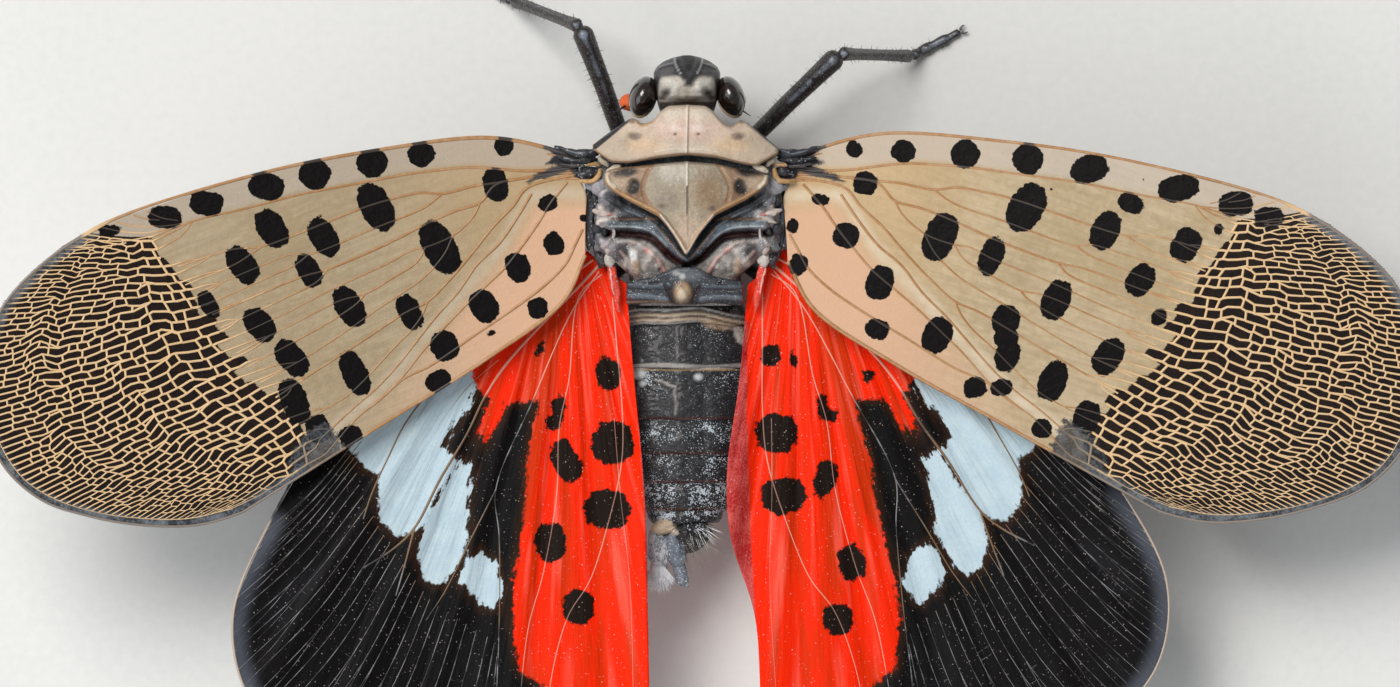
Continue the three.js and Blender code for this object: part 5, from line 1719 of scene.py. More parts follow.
EYE_GLASS = eye_material()
RIM_HORN = painted_material("eye_rim", 0.4, 0.2)
FEELER_SKIN = painted_material("feeler_skin", 0.42, 0.4, bump=0.00005, bump_scale=9.0)
for side, hand in SIDES.items():
    centre = np.array((hand * EYE["x"], EYE["y"], EYE["z"]))
    points, faces = ball(centre, EYE["half"], 56, 40, hand * EYE["lean"])
    crown = np.linalg.norm((points - centre)[:, :2] / 0.72, axis=1)
    eye = make_piece(f"eye_{side}_globe", points, faces, EYE_GLASS, {"crown": crown})
    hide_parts(f"eye_{side}")
    lean = math.radians(EYE["lean"]) * hand
    arc = []
    for degrees in range(-115, 50, 11):
        angle = math.radians(degrees)
        flat = np.array((-hand * math.cos(angle) * 0.43, math.sin(angle) * 0.73))
        turned = (flat[0] * math.cos(lean) - flat[1] * math.sin(lean),
                  flat[0] * math.sin(lean) + flat[1] * math.cos(lean))
        arc.append((centre[0] + turned[0], centre[1] + turned[1], 5.36))
    rim = ring_body(limb_rings(arc, [0.03, 0.075, 0.085, 0.06, 0.03], 14, 0.05))
    colour = np.tile((0.5, 0.36, 0.22), (len(rim[0]), 1))
    piece = painted_piece(f"eye_{side}_rim", *rim, RIM_HORN, colour, slot="horn")
    reach = FEELER_REACH[side]
    bulb = ball((hand * reach, 2.1, 4.12), (0.34, 0.3, 0.36), 40, 26)
    stalk = ring_body(limb_rings([(hand * 1.5, 2.3, 4.0), (hand * 1.8, 2.18, 4.04),
                                  (hand * 2.05, 2.1, 4.06)],
                                 [0.2, 0.2, 0.24], 20, 0.06))
    bristle = ring_body(limb_rings([(hand * (reach + 0.1), 2.0, 4.3), (hand * (reach + 0.4), 1.8, 4.8),
                                    (hand * (reach + 0.7), 1.6, 5.2)],
                                   [0.05, 0.03, 0.012], 10, 0.08))
    joined, all_faces = join_bodies([bulb, stalk, bristle])
    colour = np.tile((0.80, 0.13, 0.025), (len(joined), 1))
    colour[len(bulb[0]) + len(stalk[0]):] = (0.05, 0.04, 0.035)
    joined += 0.012 * grain(joined, 9.0)[:, None]
    piece = painted_piece(f"antenna_{side}_skin", joined, all_faces, FEELER_SKIN, colour, None, "feeler",
                          [f"antenna_{side}"])
beak = ring_body(limb_rings([(0, 1.95, 1.95), (0, 1.2, 1.6), (0, -1.5, 1.55), (0, -4.3, 1.5)],
                            [0.32, 0.3, 0.27, 0.2, 0.12], 20, 0.12))
beak_skin = painted_material("beak_shell", 0.3, 0.3)
painted_piece("rostrum_shell", *beak, beak_skin, np.tile((0.03, 0.028, 0.028), (len(beak[0]), 1)), None,
              "dark_shell", ["rostrum"])
print("eyes, feelers and beak stand")

# %% [markdown]
# Plates of the back
#
# Two horny shields cover the front of the back. Each lies between a front and a rear outline,
# is domed like a watch glass and rolls over at its border. The first one is a collar with a
# sharp keel whose pale crest is a painted highlight. The second one is a kite that ends in a
# point between the wings; a pale painted highlight runs along the front of its keel too.

# %% Shield maker and the first shield
PLATE_Z = 6.45


def shield(front, rear, left, right, step, under, top, round_off=0.16):
    """A grid of plan points between two outlines with a rounded border, and its two faces."""
    columns = max(8, math.ceil((right - left) / step))
    xs = np.linspace(left, right, columns)
    front_y, rear_y = np.interp(xs, *zip(*front)), np.interp(xs, *zip(*rear))
    for _ in range(3):
        front_y[1:-1] = (front_y[:-2] + 2 * front_y[1:-1] + front_y[2:]) / 4
        rear_y[1:-1] = (rear_y[:-2] + 2 * rear_y[1:-1] + rear_y[2:]) / 4
    rows = max(8, math.ceil((front_y - rear_y).max() / step))
    share = np.linspace(0, 1, rows)[:, None]
    x = np.tile(xs, (rows, 1))
    y = front_y * (1 - share) + rear_y * share
    edge = np.minimum.reduce([front_y - y, y - rear_y, x - left + 0 * y, right - x + 0 * y])
    roll = np.clip(edge / round_off, 0, 1)
    roll = np.sqrt(np.maximum(1 - (1 - roll) ** 2, 0))
    base = under(x, y)
    height = base + (top(x, y) - base) * (0.35 + 0.65 * roll)
    return x, y, base, height, roll


def plate_piece(name, x, y, base, height, layers, material, under_colour, slot, stands_for):
    """Closes a sculpted and painted plate and makes it a piece."""
    raised = height + layers.lift.reshape(x.shape)
    top = np.stack([x, y, np.maximum(raised, base + 0.04)], -1)
    bottom = np.stack([x, y, base], -1)
    points, faces = shell_of(top, bottom)
    colour = np.concatenate([layers.colour, np.tile(under_colour, (x.size, 1))])
    return painted_piece(name, points, faces, material, colour, None, slot, stands_for)


PRONOTUM_FRONT = [(-3.25, 0.6), (-2.6, 1.08), (-1.95, 1.5), (-1.8, 1.5), (-1.55, 1.32), (-1.3, 1.36),
                  (-1.1, 1.5),
                  (-0.9, 1.76), (-0.65, 1.93), (0, 1.97), (0.65, 1.93), (0.9, 1.76), (1.1, 1.5), (1.3, 1.3),
                  (1.55, 1.2), (1.85, 1.45), (2.0, 1.42), (2.6, 0.95), (3.15, 0.48)]
PRONOTUM_REAR = [(-3.25, 0.42), (-2.6, -0.02), (-2, -0.05), (-1, 0.12), (0, 0.23), (1, 0.13), (2, -0.1),
                 (2.4, -0.15),
                 (3.15, 0.28)]


def build_pronotum():
    x, y, base, height, roll = shield(PRONOTUM_FRONT, PRONOTUM_REAR, -3.25, 3.15, 0.035, lambda x,
                                      y: PLATE_Z + 0 * x,
                                      lambda x, y: 7.3 - 0.04 * x * x - 0.14 * np.maximum(0, y - 0.7) ** 2)
    plan = np.stack([x.ravel(), y.ravel()], 1)
    layers = Layers(plan, HORN)
    layers.blot((0, 1.1), (1.2, 0.55), ROSY, 0.75, 0.03, soft=0.9)
    layers.blot((0.45, 1.65), (0.35, 0.25), CREAM, 0.75, 0.02, both=True, soft=0.8)
    layers.blot((0.0, 0.45), (1.3, 0.22), (0.66, 0.56, 0.45), 0.7, 0.0, soft=0.7)
    layers.blot((0.4, 1.15), (0.22, 0.14), (0.82, 0.68, 0.6), 0.8, 0.02, both=True, soft=0.8)
    layers.blot((1.6, 0.6), (0.7, 0.28), (0.66, 0.47, 0.30), 0.8, 0.02, lean=12, both=True, soft=0.7)
    layers.blot((2.45, 0.6), (0.5, 0.3), (0.45, 0.37, 0.29), 0.7, 0.0, lean=-30, both=True, soft=0.6)
    layers.blot((0.4, 0.95), (0.06, 0.045), (0.16, 0.09, 0.06), 0.9, -0.03, both=True, soft=0.5)
    layers.blot((1.8, 0.87), (0.2, 0.11), (0.13, 0.10, 0.085), 0.85, -0.05, lean=10, both=True, soft=0.7)
    layers.blot((1.62, 0.92), (0.1, 0.06), (0.35, 0.27, 0.21), 0.7, 0.0, both=True, soft=0.7)
    # Painted highlight: the pale line along the keel's crest.
    layers.stroke([(0.02, 1.97), (0.0, 1.2), (-0.02, 0.25)], 0.03, (0.8, 0.72, 0.62), 0.95, 0.085, soft=0.8)
    layers.stroke([(0.07, 1.9), (0.05, 1.2), (0.04, 0.3)], 0.02, (0.35, 0.24, 0.17), 0.6, 0.0, soft=0.8)
    layers.stroke([(-3.2, 0.42), (-2.6, 0.04), (-1.9, 0.01), (-1, 0.18), (0, 0.28), (1, 0.19), (2, -0.05),
                   (2.4, -0.08),
                   (3.1, 0.3)], 0.035, (0.36, 0.22, 0.12), 0.8, 0.04)
    layers.stroke([(1.1, 0.33), (0.5, 0.42), (0.1, 0.42)], 0.02, (0.75, 0.68, 0.58), 0.7, 0.03, both=True)
    layers.area([(1.9, 1.55), (2.02, 1.36), (2.6, 0.87), (3.15, 0.42), (3.4, 0.45), (2.6, 1.1), (2.0, 1.6)],
                INK, 1.0,
                -0.12, 0.03, both=True)
    layers.area([(1.9, 1.6), (1.78, 1.35), (1.86, 1.3), (2.06, 1.36), (2.1, 1.5)], UMBER, 0.7, 0.0, 0.05,
                both=True)
    layers.stroke([(1.2, 1.36), (1.4, 1.27), (1.55, 1.24), (1.75, 1.36)], 0.04, (0.6, 0.36, 0.17), 0.85,
                  0.02, both=True)
    layers.stroke([(0.66, 1.93), (0.92, 1.73), (1.12, 1.47)], 0.03, (0.62, 0.5, 0.38), 0.8, 0.02, both=True)
    layers.lift += 0.012 * grain(np.column_stack([plan * 1.0, np.zeros(len(plan))]), 4.0)
    skin = painted_material("pronotum_horn", 0.38, 0.3, 0.12, bump=0.00004, coat=0.15)
    return plate_piece("pronotum_plate", x, y, base, height, layers, skin, (0.05, 0.04, 0.035), "horn",
                       ["pronotum"])


pronotum = build_pronotum()
print(pronotum.name, len(pronotum.data.polygons), "faces")

# %% Second shield
MESONOTUM_FRONT = [(-2.85, -0.36), (-2.6, -0.22), (-1.5, -0.12), (-1, -0.06), (0, 0.02), (1, -0.06),
                   (2.0, -0.3),
                   (2.4, -0.36), (2.8, -0.46)]
MESONOTUM_REAR = [(-2.85, -0.72), (-2.55, -1.02), (-2, -1.35), (-0.97, -1.9), (-0.7, -2.2), (-0.45, -2.55),
                  (-0.12, -3.12), (-0.03, -3.24), (0.06, -3.12), (0.42, -2.5), (0.7, -2.15), (0.97, -1.85),
                  (2, -1.33), (2.5, -1.0), (2.8, -0.74)]


def build_mesonotum():
    def dome(x, y):
        disc = np.exp(-((x / 1.25) ** 4) - ((y + 0.75) / 0.95) ** 2)
        return 7.16 - 0.045 * x * x - 0.05 * (y + 0.9) ** 2 + 0.2 * disc

    x, y, base, height, roll = shield(MESONOTUM_FRONT, MESONOTUM_REAR, -2.85, 2.8, 0.033,
                                      lambda x, y: PLATE_Z + 0 * x, dome, 0.12)
    plan = np.stack([x.ravel(), y.ravel()], 1)
    layers = Layers(plan, (0.36, 0.245, 0.16))
    layers.area([(-1.1, 0.1), (1.1, 0.1), (1.42, -0.6), (1.45, -1.1), (0.9, -1.75), (0.4, -2.4), (0, -2.95),
                 (-0.4, -2.4),
                 (-0.95, -1.7), (-1.48, -1.1), (-1.42, -0.6)], (0.42, 0.36, 0.27), 0.95, 0.0, 0.08)
    layers.blot((0.0, -2.3), (0.4, 0.6), (0.62, 0.48, 0.36), 0.85, 0.0, soft=0.6)
    # Painted light: the front left of the disc is paler, as it faces the light.
    layers.blot((-0.45, -0.35), (0.55, 0.35), (0.56, 0.52, 0.45), 0.7, 0.0, soft=0.8)
    layers.blot((0.75, -1.1), (0.5, 0.6), (0.34, 0.2, 0.1), 0.7, 0.0, soft=0.8)
    layers.blot((-0.7, -1.35), (0.4, 0.3), (0.30, 0.24, 0.2), 0.6, 0.0, soft=0.8)
    layers.blot((0.9, -1.62), (0.12, 0.09), (0.13, 0.08, 0.07), 0.85, -0.03, soft=0.7)
    layers.blot((-0.85, -1.55), (0.14, 0.07), (0.22, 0.15, 0.11), 0.8, -0.03, soft=0.7)
    layers.stroke([(-1.12, 0.0), (-1.4, -0.45), (-1.52, -0.95), (-1.4, -1.35)], 0.06, (0.40, 0.22, 0.11),
                  0.8, -0.05)
    layers.stroke([(1.0, 0.0), (1.3, -0.45), (1.48, -0.95), (1.4, -1.35)], 0.06, (0.44, 0.26, 0.14), 0.8,
                  -0.05)
    layers.blot((1.62, -0.55), (0.2, 0.45), (0.40, 0.26, 0.17), 0.7, 0.0, both=True, soft=0.8)
    layers.blot((2.12, -0.38), (0.42, 0.15), (0.022, 0.017, 0.016), 0.97, -0.03, lean=-8, both=True,
                soft=0.4)
    layers.blot((1.8, -1.05), (0.3, 0.42), (0.22, 0.12, 0.07), 0.8, 0.0, lean=12, both=True, soft=0.6)
    layers.blot((1.85, -0.86), (0.22, 0.28), (0.012, 0.009, 0.008), 0.98, -0.03, lean=10, both=True,
                soft=0.3)
    layers.blot((2.3, -0.72), (0.28, 0.22), (0.50, 0.38, 0.27), 0.7, 0.02, both=True, soft=0.7)
    layers.stroke([(2.82, -0.5), (2.6, -0.92), (2.0, -1.27), (1.0, -1.8), (0.55, -2.3), (0.22, -2.8),
                   (0.02, -3.2)],
                  0.09, ORANGE_TAN, 0.9, 0.07, both=True)
    layers.stroke([(2.75, -0.42), (2.72, -0.62), (2.5, -0.88)], 0.07, CREAM, 0.8, 0.04, both=True)
    layers.stroke([(0.9, -1.85), (0.55, -2.3), (0.22, -2.8), (0.04, -3.12)], 0.04, (0.86, 0.8, 0.7), 0.9,
                  0.05,
                  both=True)
    # Painted highlight: the pale line along the front half of the keel.
    layers.stroke([(0, 0), (0, -0.85)], 0.035, (0.82, 0.78, 0.68), 0.9, 0.06)
    layers.stroke([(0, -0.85), (0, -1.8)], 0.03, (0.10, 0.065, 0.045), 0.85, 0.03)
    layers.stroke([(0, -1.8), (0, -2.6)], 0.025, (0.45, 0.33, 0.25), 0.6, 0.03)
    layers.lift += 0.02 * grain(np.column_stack([plan, np.zeros(len(plan))]), 3.0)
    layers.lift += 0.012 * grain(np.column_stack([plan, np.ones(len(plan))]), 8.0)
    skin = painted_material("mesonotum_horn", 0.36, 0.4, 0.12, bump=0.00005, coat=0.2)
    return plate_piece("mesonotum_plate", x, y, base, height, layers, skin, (0.05, 0.04, 0.035), "horn",
                       ["mesonotum"])


mesonotum = build_mesonotum()
print(mesonotum.name, len(mesonotum.data.polygons), "faces")

# %% [markdown]
# The box that carries the wings
#
# Around and behind the second shield lies the hard box of the flight muscles. From above it
# shows black folds with a blue bloom and painted highlights along them that run backwards and
# meet in a point, a red brown cleft deepened with painted shade, and behind them a rough grey
# and black field with rosy bars. A pinkish white patch by each wing hinge is a painted
# highlight. Its upper side is one fine grid, sculpted like the shields, and its flanks and
# belly close it.

# %% Build the thorax
THORAX_RINGS = [
    (1.22, 1.7, 6.1, 1.9, 5.0, 1.6, 3.2, 0.8, 2.6), (0.6, 2.5, 6.15, 2.6, 4.9, 2.0, 3.0, 1.1, 2.4),
    (0.1, 3.08, 6.15, 3.12, 4.9, 2.2, 2.9, 1.2, 2.3), (-1.2, 3.12, 6.15, 3.12, 4.8, 2.3, 2.9, 1.2, 2.2),
    (-2.8, 3.12, 6.05, 3.12, 4.7, 2.2, 2.9, 1.2, 2.2), (-3.4, 2.5, 5.75, 2.5, 4.6, 2.1, 2.9, 1.1, 2.25),
    (-3.95, 1.8, 5.45, 1.86, 4.4, 1.95, 3.1, 1.1, 2.3), (-4.95, 1.5, 4.95, 1.76, 4.2, 1.9, 3.1, 1.0, 2.4),
]
BODY_SHIFT = -0.07


def thorax_layers(plan):
    layers = Layers(plan, (0.10, 0.105, 0.115))
    layers.area([(2.35, -0.3), (3.4, -0.3), (3.4, -3.6), (2.7, -3.7), (2.4, -2.9), (2.35, -1.9)],
                (0.34, 0.32, 0.33), 0.9, 0.05, 0.15, both=True)
    layers.blot((3.0, -1.0), (0.3, 0.35), (0.48, 0.44, 0.45), 0.8, 0.06, both=True, soft=0.6)
    # Painted highlight: a pale pinkish patch by each wing hinge.
    layers.blot((2.85, -1.62), (0.35, 0.16), (0.60, 0.5, 0.47), 0.8, 0.1, lean=15, both=True, soft=0.5)
    layers.blot((2.6, -1.5), (0.22, 0.3), (0.05, 0.055, 0.065), 0.9, -0.05, lean=30, both=True, soft=0.5)
    layers.stroke([(2.45, -1.95), (2.8, -1.98), (3.1, -2.1)], 0.09, (0.66, 0.6, 0.56), 0.85, 0.14, both=True)
    layers.stroke([(2.75, -2.2), (2.6, -2.45), (2.75, -2.8), (3.0, -3.0)], 0.07, (0.55, 0.5, 0.48), 0.8, 0.1,
                  both=True)
    # Painted shade: the slit by the wing hinge is sunk and painted near black.
    layers.blot((2.85, -2.45), (0.16, 0.2), (0.02, 0.02, 0.022), 0.95, -0.1, both=True, soft=0.5)
    layers.stroke([(3.15, -1.5), (3.2, -2.2), (3.05, -2.9), (2.9, -3.4)], 0.07, (0.05, 0.055, 0.07), 0.9,
                  0.08, both=True)
    layers.stroke([(2.75, -1.15), (2.2, -1.5), (1.6, -1.78), (1.0, -2.15), (0.5, -2.75), (0.05, -3.35)],
                  0.13,
                  (0.045, 0.052, 0.064), 0.97, 0.22, both=True)
    # Painted highlight: a thin pale line along the first fold.
    layers.stroke([(2.7, -1.3), (2.2, -1.62), (1.6, -1.88), (0.98, -2.25)], 0.03, (0.2, 0.24, 0.28), 0.85,
                  0.04, both=True)
    layers.blot((2.35, -1.45), (0.3, 0.17), (0.02, 0.022, 0.027), 0.9, 0.04, lean=28, both=True, soft=0.5)
    layers.stroke([(2.55, -1.95), (2.0, -1.98), (1.4, -1.95), (1.05, -2.0)], 0.05, (0.20, 0.11, 0.07), 0.9,
                  -0.1,
                  both=True)
    layers.stroke([(2.65, -2.15), (2.0, -2.15), (1.4, -2.2), (1.0, -2.42), (0.62, -2.85), (0.1, -3.45)],
                  0.13,
                  (0.11, 0.14, 0.17), 0.97, 0.26, both=True)
    # Painted highlight: a thin pale blue line along the second fold.
    layers.stroke([(2.6, -2.22), (2.0, -2.24), (1.5, -2.3), (1.1, -2.5), (0.7, -2.92)], 0.035,
                  (0.52, 0.58, 0.62), 0.8,
                  0.05, both=True)
    layers.stroke([(0.95, -2.28), (0.55, -2.8), (0.15, -3.3)], 0.03, (0.24, 0.14, 0.08), 0.8, -0.02,
                  both=True)
    # Painted shade: the cleft is sunk deep and painted near black, partly its own red brown and partly
    # shade.
    layers.stroke([(2.7, -2.45), (2.0, -2.5), (1.35, -2.58), (0.95, -2.85), (0.5, -3.3), (0.0, -3.58)], 0.12,
                  (0.035, 0.006, 0.004), 0.98, -0.36, both=True)
    layers.area([(2.5, -2.7), (1.9, -2.62), (1.3, -2.78), (0.75, -3.3), (0.3, -3.65), (0, -3.7), (0, -5),
                 (2.4, -5),
                 (2.35, -3.4)], (0.30, 0.27, 0.25), 0.9, 0.02, 0.08, both=True)
    layers.stroke([(1.95, -2.72), (1.5, -2.92), (1.05, -3.3), (0.72, -3.85)], 0.075, (0.55, 0.46, 0.42),
                  0.85, 0.1,
                  both=True)
    layers.stroke([(1.45, -3.0), (1.0, -3.4), (0.75, -3.8)], 0.06, (0.68, 0.3, 0.27), 0.85, 0.03, both=True)
    layers.blot((1.85, -3.25), (0.12, 0.3), (0.62, 0.58, 0.55), 0.8, 0.06, lean=20, both=True, soft=0.6)
    layers.blot((1.75, -3.6), (0.12, 0.33), (0.45, 0.31, 0.2), 0.85, 0.08, both=True, soft=0.5)
    layers.blot((2.2, -3.1), (0.22, 0.3), (0.02, 0.022, 0.026), 0.9, 0.03, lean=-20, both=True, soft=0.5)
    layers.stroke([(2.3, -3.1), (1.95, -3.5)], 0.06, (0.6, 0.42, 0.38), 0.6, 0.03, both=True)
    layers.blot((1.2, -3.55), (0.22, 0.3), (0.28, 0.25, 0.24), 0.8, 0.04, both=True, soft=0.7)
    for seed, (cx, cy) in enumerate([(1.35, -3.35), (1.5, -3.8), (2.05, -3.75), (0.95, -3.7), (2.1, -2.85)]):
        layers.blot((cx, cy), (0.07, 0.05), (0.05, 0.04, 0.04), 0.85, -0.04, lean=seed * 35, both=True,
                    soft=0.5)
    layers.blot((0, -3.72), (0.35, 0.14), (0.12, 0.15, 0.18), 0.8, 0.0, soft=0.6)
    for cx, cy, half_x, half_y, lean, tone in (
            (1.62, -3.0, 0.1, 0.26, 30, 0.62), (1.25, -3.25, 0.12, 0.2, 35, 0.5),
        (2.1, -3.45, 0.09, 0.2, 10, 0.45),
            (1.0, -3.6, 0.1, 0.12, 0, 0.42), (1.45, -3.6, 0.08, 0.2, 10, 0.55),
        (0.62, -3.75, 0.1, 0.12, 0, 0.3)):
        layers.blot((cx, cy), (half_x, half_y), (tone, tone * 0.9, tone * 0.82), 0.85, 0.07, lean=lean,
                    both=True, soft=0.5)
    layers.blot((-1.85, -3.2), (0.12, 0.22), (0.8, 0.8, 0.78), 0.9, 0.05, lean=30, soft=0.5)
    flat = np.column_stack([plan, np.zeros(len(plan))])
    layers.lift += 0.035 * grain(flat, 4.0) + 0.025 * grain(flat + 5, 9.0)
    tone = 1 + 0.35 * grain(flat + 2, 3.0) + 0.25 * grain(flat, 7.0)
    layers.colour *= np.clip(tone + 0.15, 0.4, 1.9)[:, None]
    return layers


def build_thorax():
    table = np.array(THORAX_RINGS)
    order = table[::-1]
    rows = np.linspace(1.22, -4.95, 150)
    shape = np.stack([np.interp(rows, order[:, 0], order[:, k]) for k in range(1, 9)], 1)
    top_share = np.linspace(-1, 1, 130)
    rings = []
    for y, (deck, deck_z, side, side_z, low, low_z, belly, belly_z) in zip(rows, shape):
        upper = np.column_stack([top_share * deck, np.full(130, y), np.full(130, deck_z)])
        edge = np.clip((1 - np.abs(top_share)) * deck / 0.35, 0, 1)
        upper[:, 2] -= 0.3 * (1 - np.sqrt(1 - (1 - edge) ** 2))
        flank = np.array([(deck, deck_z - 0.3), (side, side_z), (low, low_z), (belly, belly_z),
                          (0, belly_z - 0.1)])
        down = np.stack([np.interp(np.linspace(0, 4, 40), np.arange(5), flank[:, k]) for k in (0, 1)], 1)[1:]
        right = np.column_stack([down[:, 0], np.full(39, y), down[:, 1]])
        left = right[:-1][::-1] * (-1, 1, 1)
        rings.append(np.concatenate([upper, right, left]))
    rings = np.array(rings)
    rings[..., 0] += BODY_SHIFT
    points, faces = ring_body(rings)
    layers = thorax_layers(points[:, :2])
    deck_at = np.interp(points[:, 1], order[:, 0], order[:, 2])
    facing_up = ease(points[:, 2], deck_at - 0.55, deck_at - 0.2)
    points[:, 2] += layers.lift * facing_up
    colour = layers.colour * facing_up[:, None] + np.array((0.035, 0.035, 0.04)) * (1 - facing_up[:, None])
    wax = np.clip(colour.mean(1) * 6, 0.05, 1.0)
    skin = painted_material("thorax_shell", 0.27, 0.45, 0.55, (0.6, 0.65, 0.69), bump=0.00006, coat=0.2,
                            wax_scale=15.0)
    return painted_piece("thorax_shell", points, faces, skin, colour, wax, "rear_thorax", ["thorax"])


thorax = build_thorax()
print(thorax.name, len(thorax.data.polygons), "faces")

# %% Rear plate with its knob
def build_metanotum():
    table = np.array(THORAX_RINGS)[::-1]

    def deck(y):
        return np.interp(y, table[:, 0], table[:, 2])

    front = [(-2.1, -4.12), (-1.2, -3.95), (-0.4, -3.62), (0.3, -3.62), (1.0, -3.95), (1.95, -4.12)]
    rear = [(-2.1, -4.9), (-1.0, -4.86), (-0.6, -4.92), (0.35, -4.92), (0.9, -4.86), (1.95, -4.95)]
    x, y, base, height, roll = shield(front, rear, -2.1, 1.95, 0.035, lambda x, y: deck(y) + 0.2,
                                      lambda x, y: deck(y) + 0.62 - 0.05 * x * x - 0.2 * (y + 4.2) ** 2)
    plan = np.stack([x.ravel(), y.ravel()], 1)
    layers = Layers(plan, (0.035, 0.04, 0.05))
    layers.blot((0, -3.85), (0.55, 0.25), (0.14, 0.16, 0.18), 0.9, 0.0, soft=0.5)
    layers.blot((-0.15, -3.95), (0.12, 0.1), (0.7, 0.72, 0.72), 0.8, 0.06, soft=0.5)
    layers.blot((-0.35, -3.85), (0.14, 0.07), (0.6, 0.6, 0.6), 0.6, 0.03, soft=0.5)
    layers.stroke([(-2.0, -4.25), (-1.2, -4.3), (-0.6, -4.25)], 0.07, (0.09, 0.12, 0.15), 0.8, 0.06)
    layers.stroke([(0.4, -4.25), (1.2, -4.3), (1.9, -4.3)], 0.07, (0.09, 0.12, 0.15), 0.8, 0.06)
    layers.stroke([(-2.0, -4.62), (-1.2, -4.66), (-0.7, -4.75)], 0.09, (0.16, 0.2, 0.24), 0.8, 0.1)
    layers.stroke([(0.5, -4.75), (1.1, -4.66), (1.9, -4.7)], 0.09, (0.16, 0.2, 0.24), 0.8, 0.1)
    layers.blot((1.15, -4.17), (0.16, 0.05), (0.03, 0.02, 0.02), 0.9, -0.05, both=True, soft=0.4)
    layers.stroke([(-0.75, -4.25), (-0.55, -4.6), (-0.45, -4.9)], 0.05, (0.04, 0.02, 0.02), 0.9, -0.08)
    layers.stroke([(0.45, -4.25), (0.28, -4.6), (0.15, -4.9)], 0.05, (0.04, 0.02, 0.02), 0.9, -0.08)
    layers.blot((-0.15, -4.5), (0.3, 0.36), (0.45, 0.31, 0.18), 0.97, 0.16, soft=0.35)
    layers.blot((-0.17, -4.6), (0.17, 0.2), (0.72, 0.62, 0.46), 0.9, 0.12, soft=0.5)
    layers.blot((-0.15, -4.25), (0.14, 0.1), (0.3, 0.17, 0.1), 0.8, -0.04, soft=0.5)
    layers.stroke([(-2.1, -4.84), (-0.9, -4.82), (-0.5, -4.9)], 0.04, (0.30, 0.18, 0.11), 0.7, 0.02)
    flat = np.column_stack([plan, np.zeros(len(plan))])
    layers.lift += 0.02 * grain(flat, 5.0)
    skin = painted_material("metanotum_shell", 0.24, 0.4, 0.4, bump=0.00004, coat=0.4, wax_scale=16.0)
    return plate_piece("metanotum_plate", x, y, base, height, layers, skin, (0.03, 0.03, 0.03),
                       "rear_thorax",
                       ["metanotum"])


metanotum = build_metanotum()
print(metanotum.name, len(metanotum.data.polygons), "faces")

# %% [markdown]
# Abdomen
#
# Seven rings of shell slide into one another like a telescope. Each is black and wrinkled,
# with a thin brown lip behind, and white wax lies on it in specks, thicker towards the tail.
# A soft ridge runs down the middle, with a painted highlight along it.

# %% Build the abdomen
SEGMENT_EDGES = [-4.9, -5.6, -7.1, -8.9, -10.1, -11.1, -12.05, -12.5]
ABDOMEN_WIDTH = [(-12.5, 1.15), (-12.05, 1.5), (-11.6, 1.75), (-10.5, 2.15), (-9, 2.45), (-7, 2.52),
                 (-5.6, 2.35),
                 (-5.25, 2.2), (-4.9, 2.12)]
ABDOMEN_RISE = [(-12.5, 1.0), (-11.6, 1.35), (-10.5, 1.55), (-9, 1.68), (-7, 1.72), (-5.25, 1.6)]
ABDOMEN_Z = 3.1
LIP_STEP = 0.13
FRONT_BANDS = [
    (-4.96, (0.03, 0.014, 0.01), 0.05), (-5.05, (0.55, 0.54, 0.52), 0.045),
    (-5.15, (0.16, 0.13, 0.12), 0.04),
    (-5.24, (0.58, 0.47, 0.34), 0.06), (-5.34, (0.2, 0.13, 0.08), 0.03), (-5.42, (0.5, 0.4, 0.3), 0.05),
    (-5.52, (0.3, 0.27, 0.25), 0.04),
]


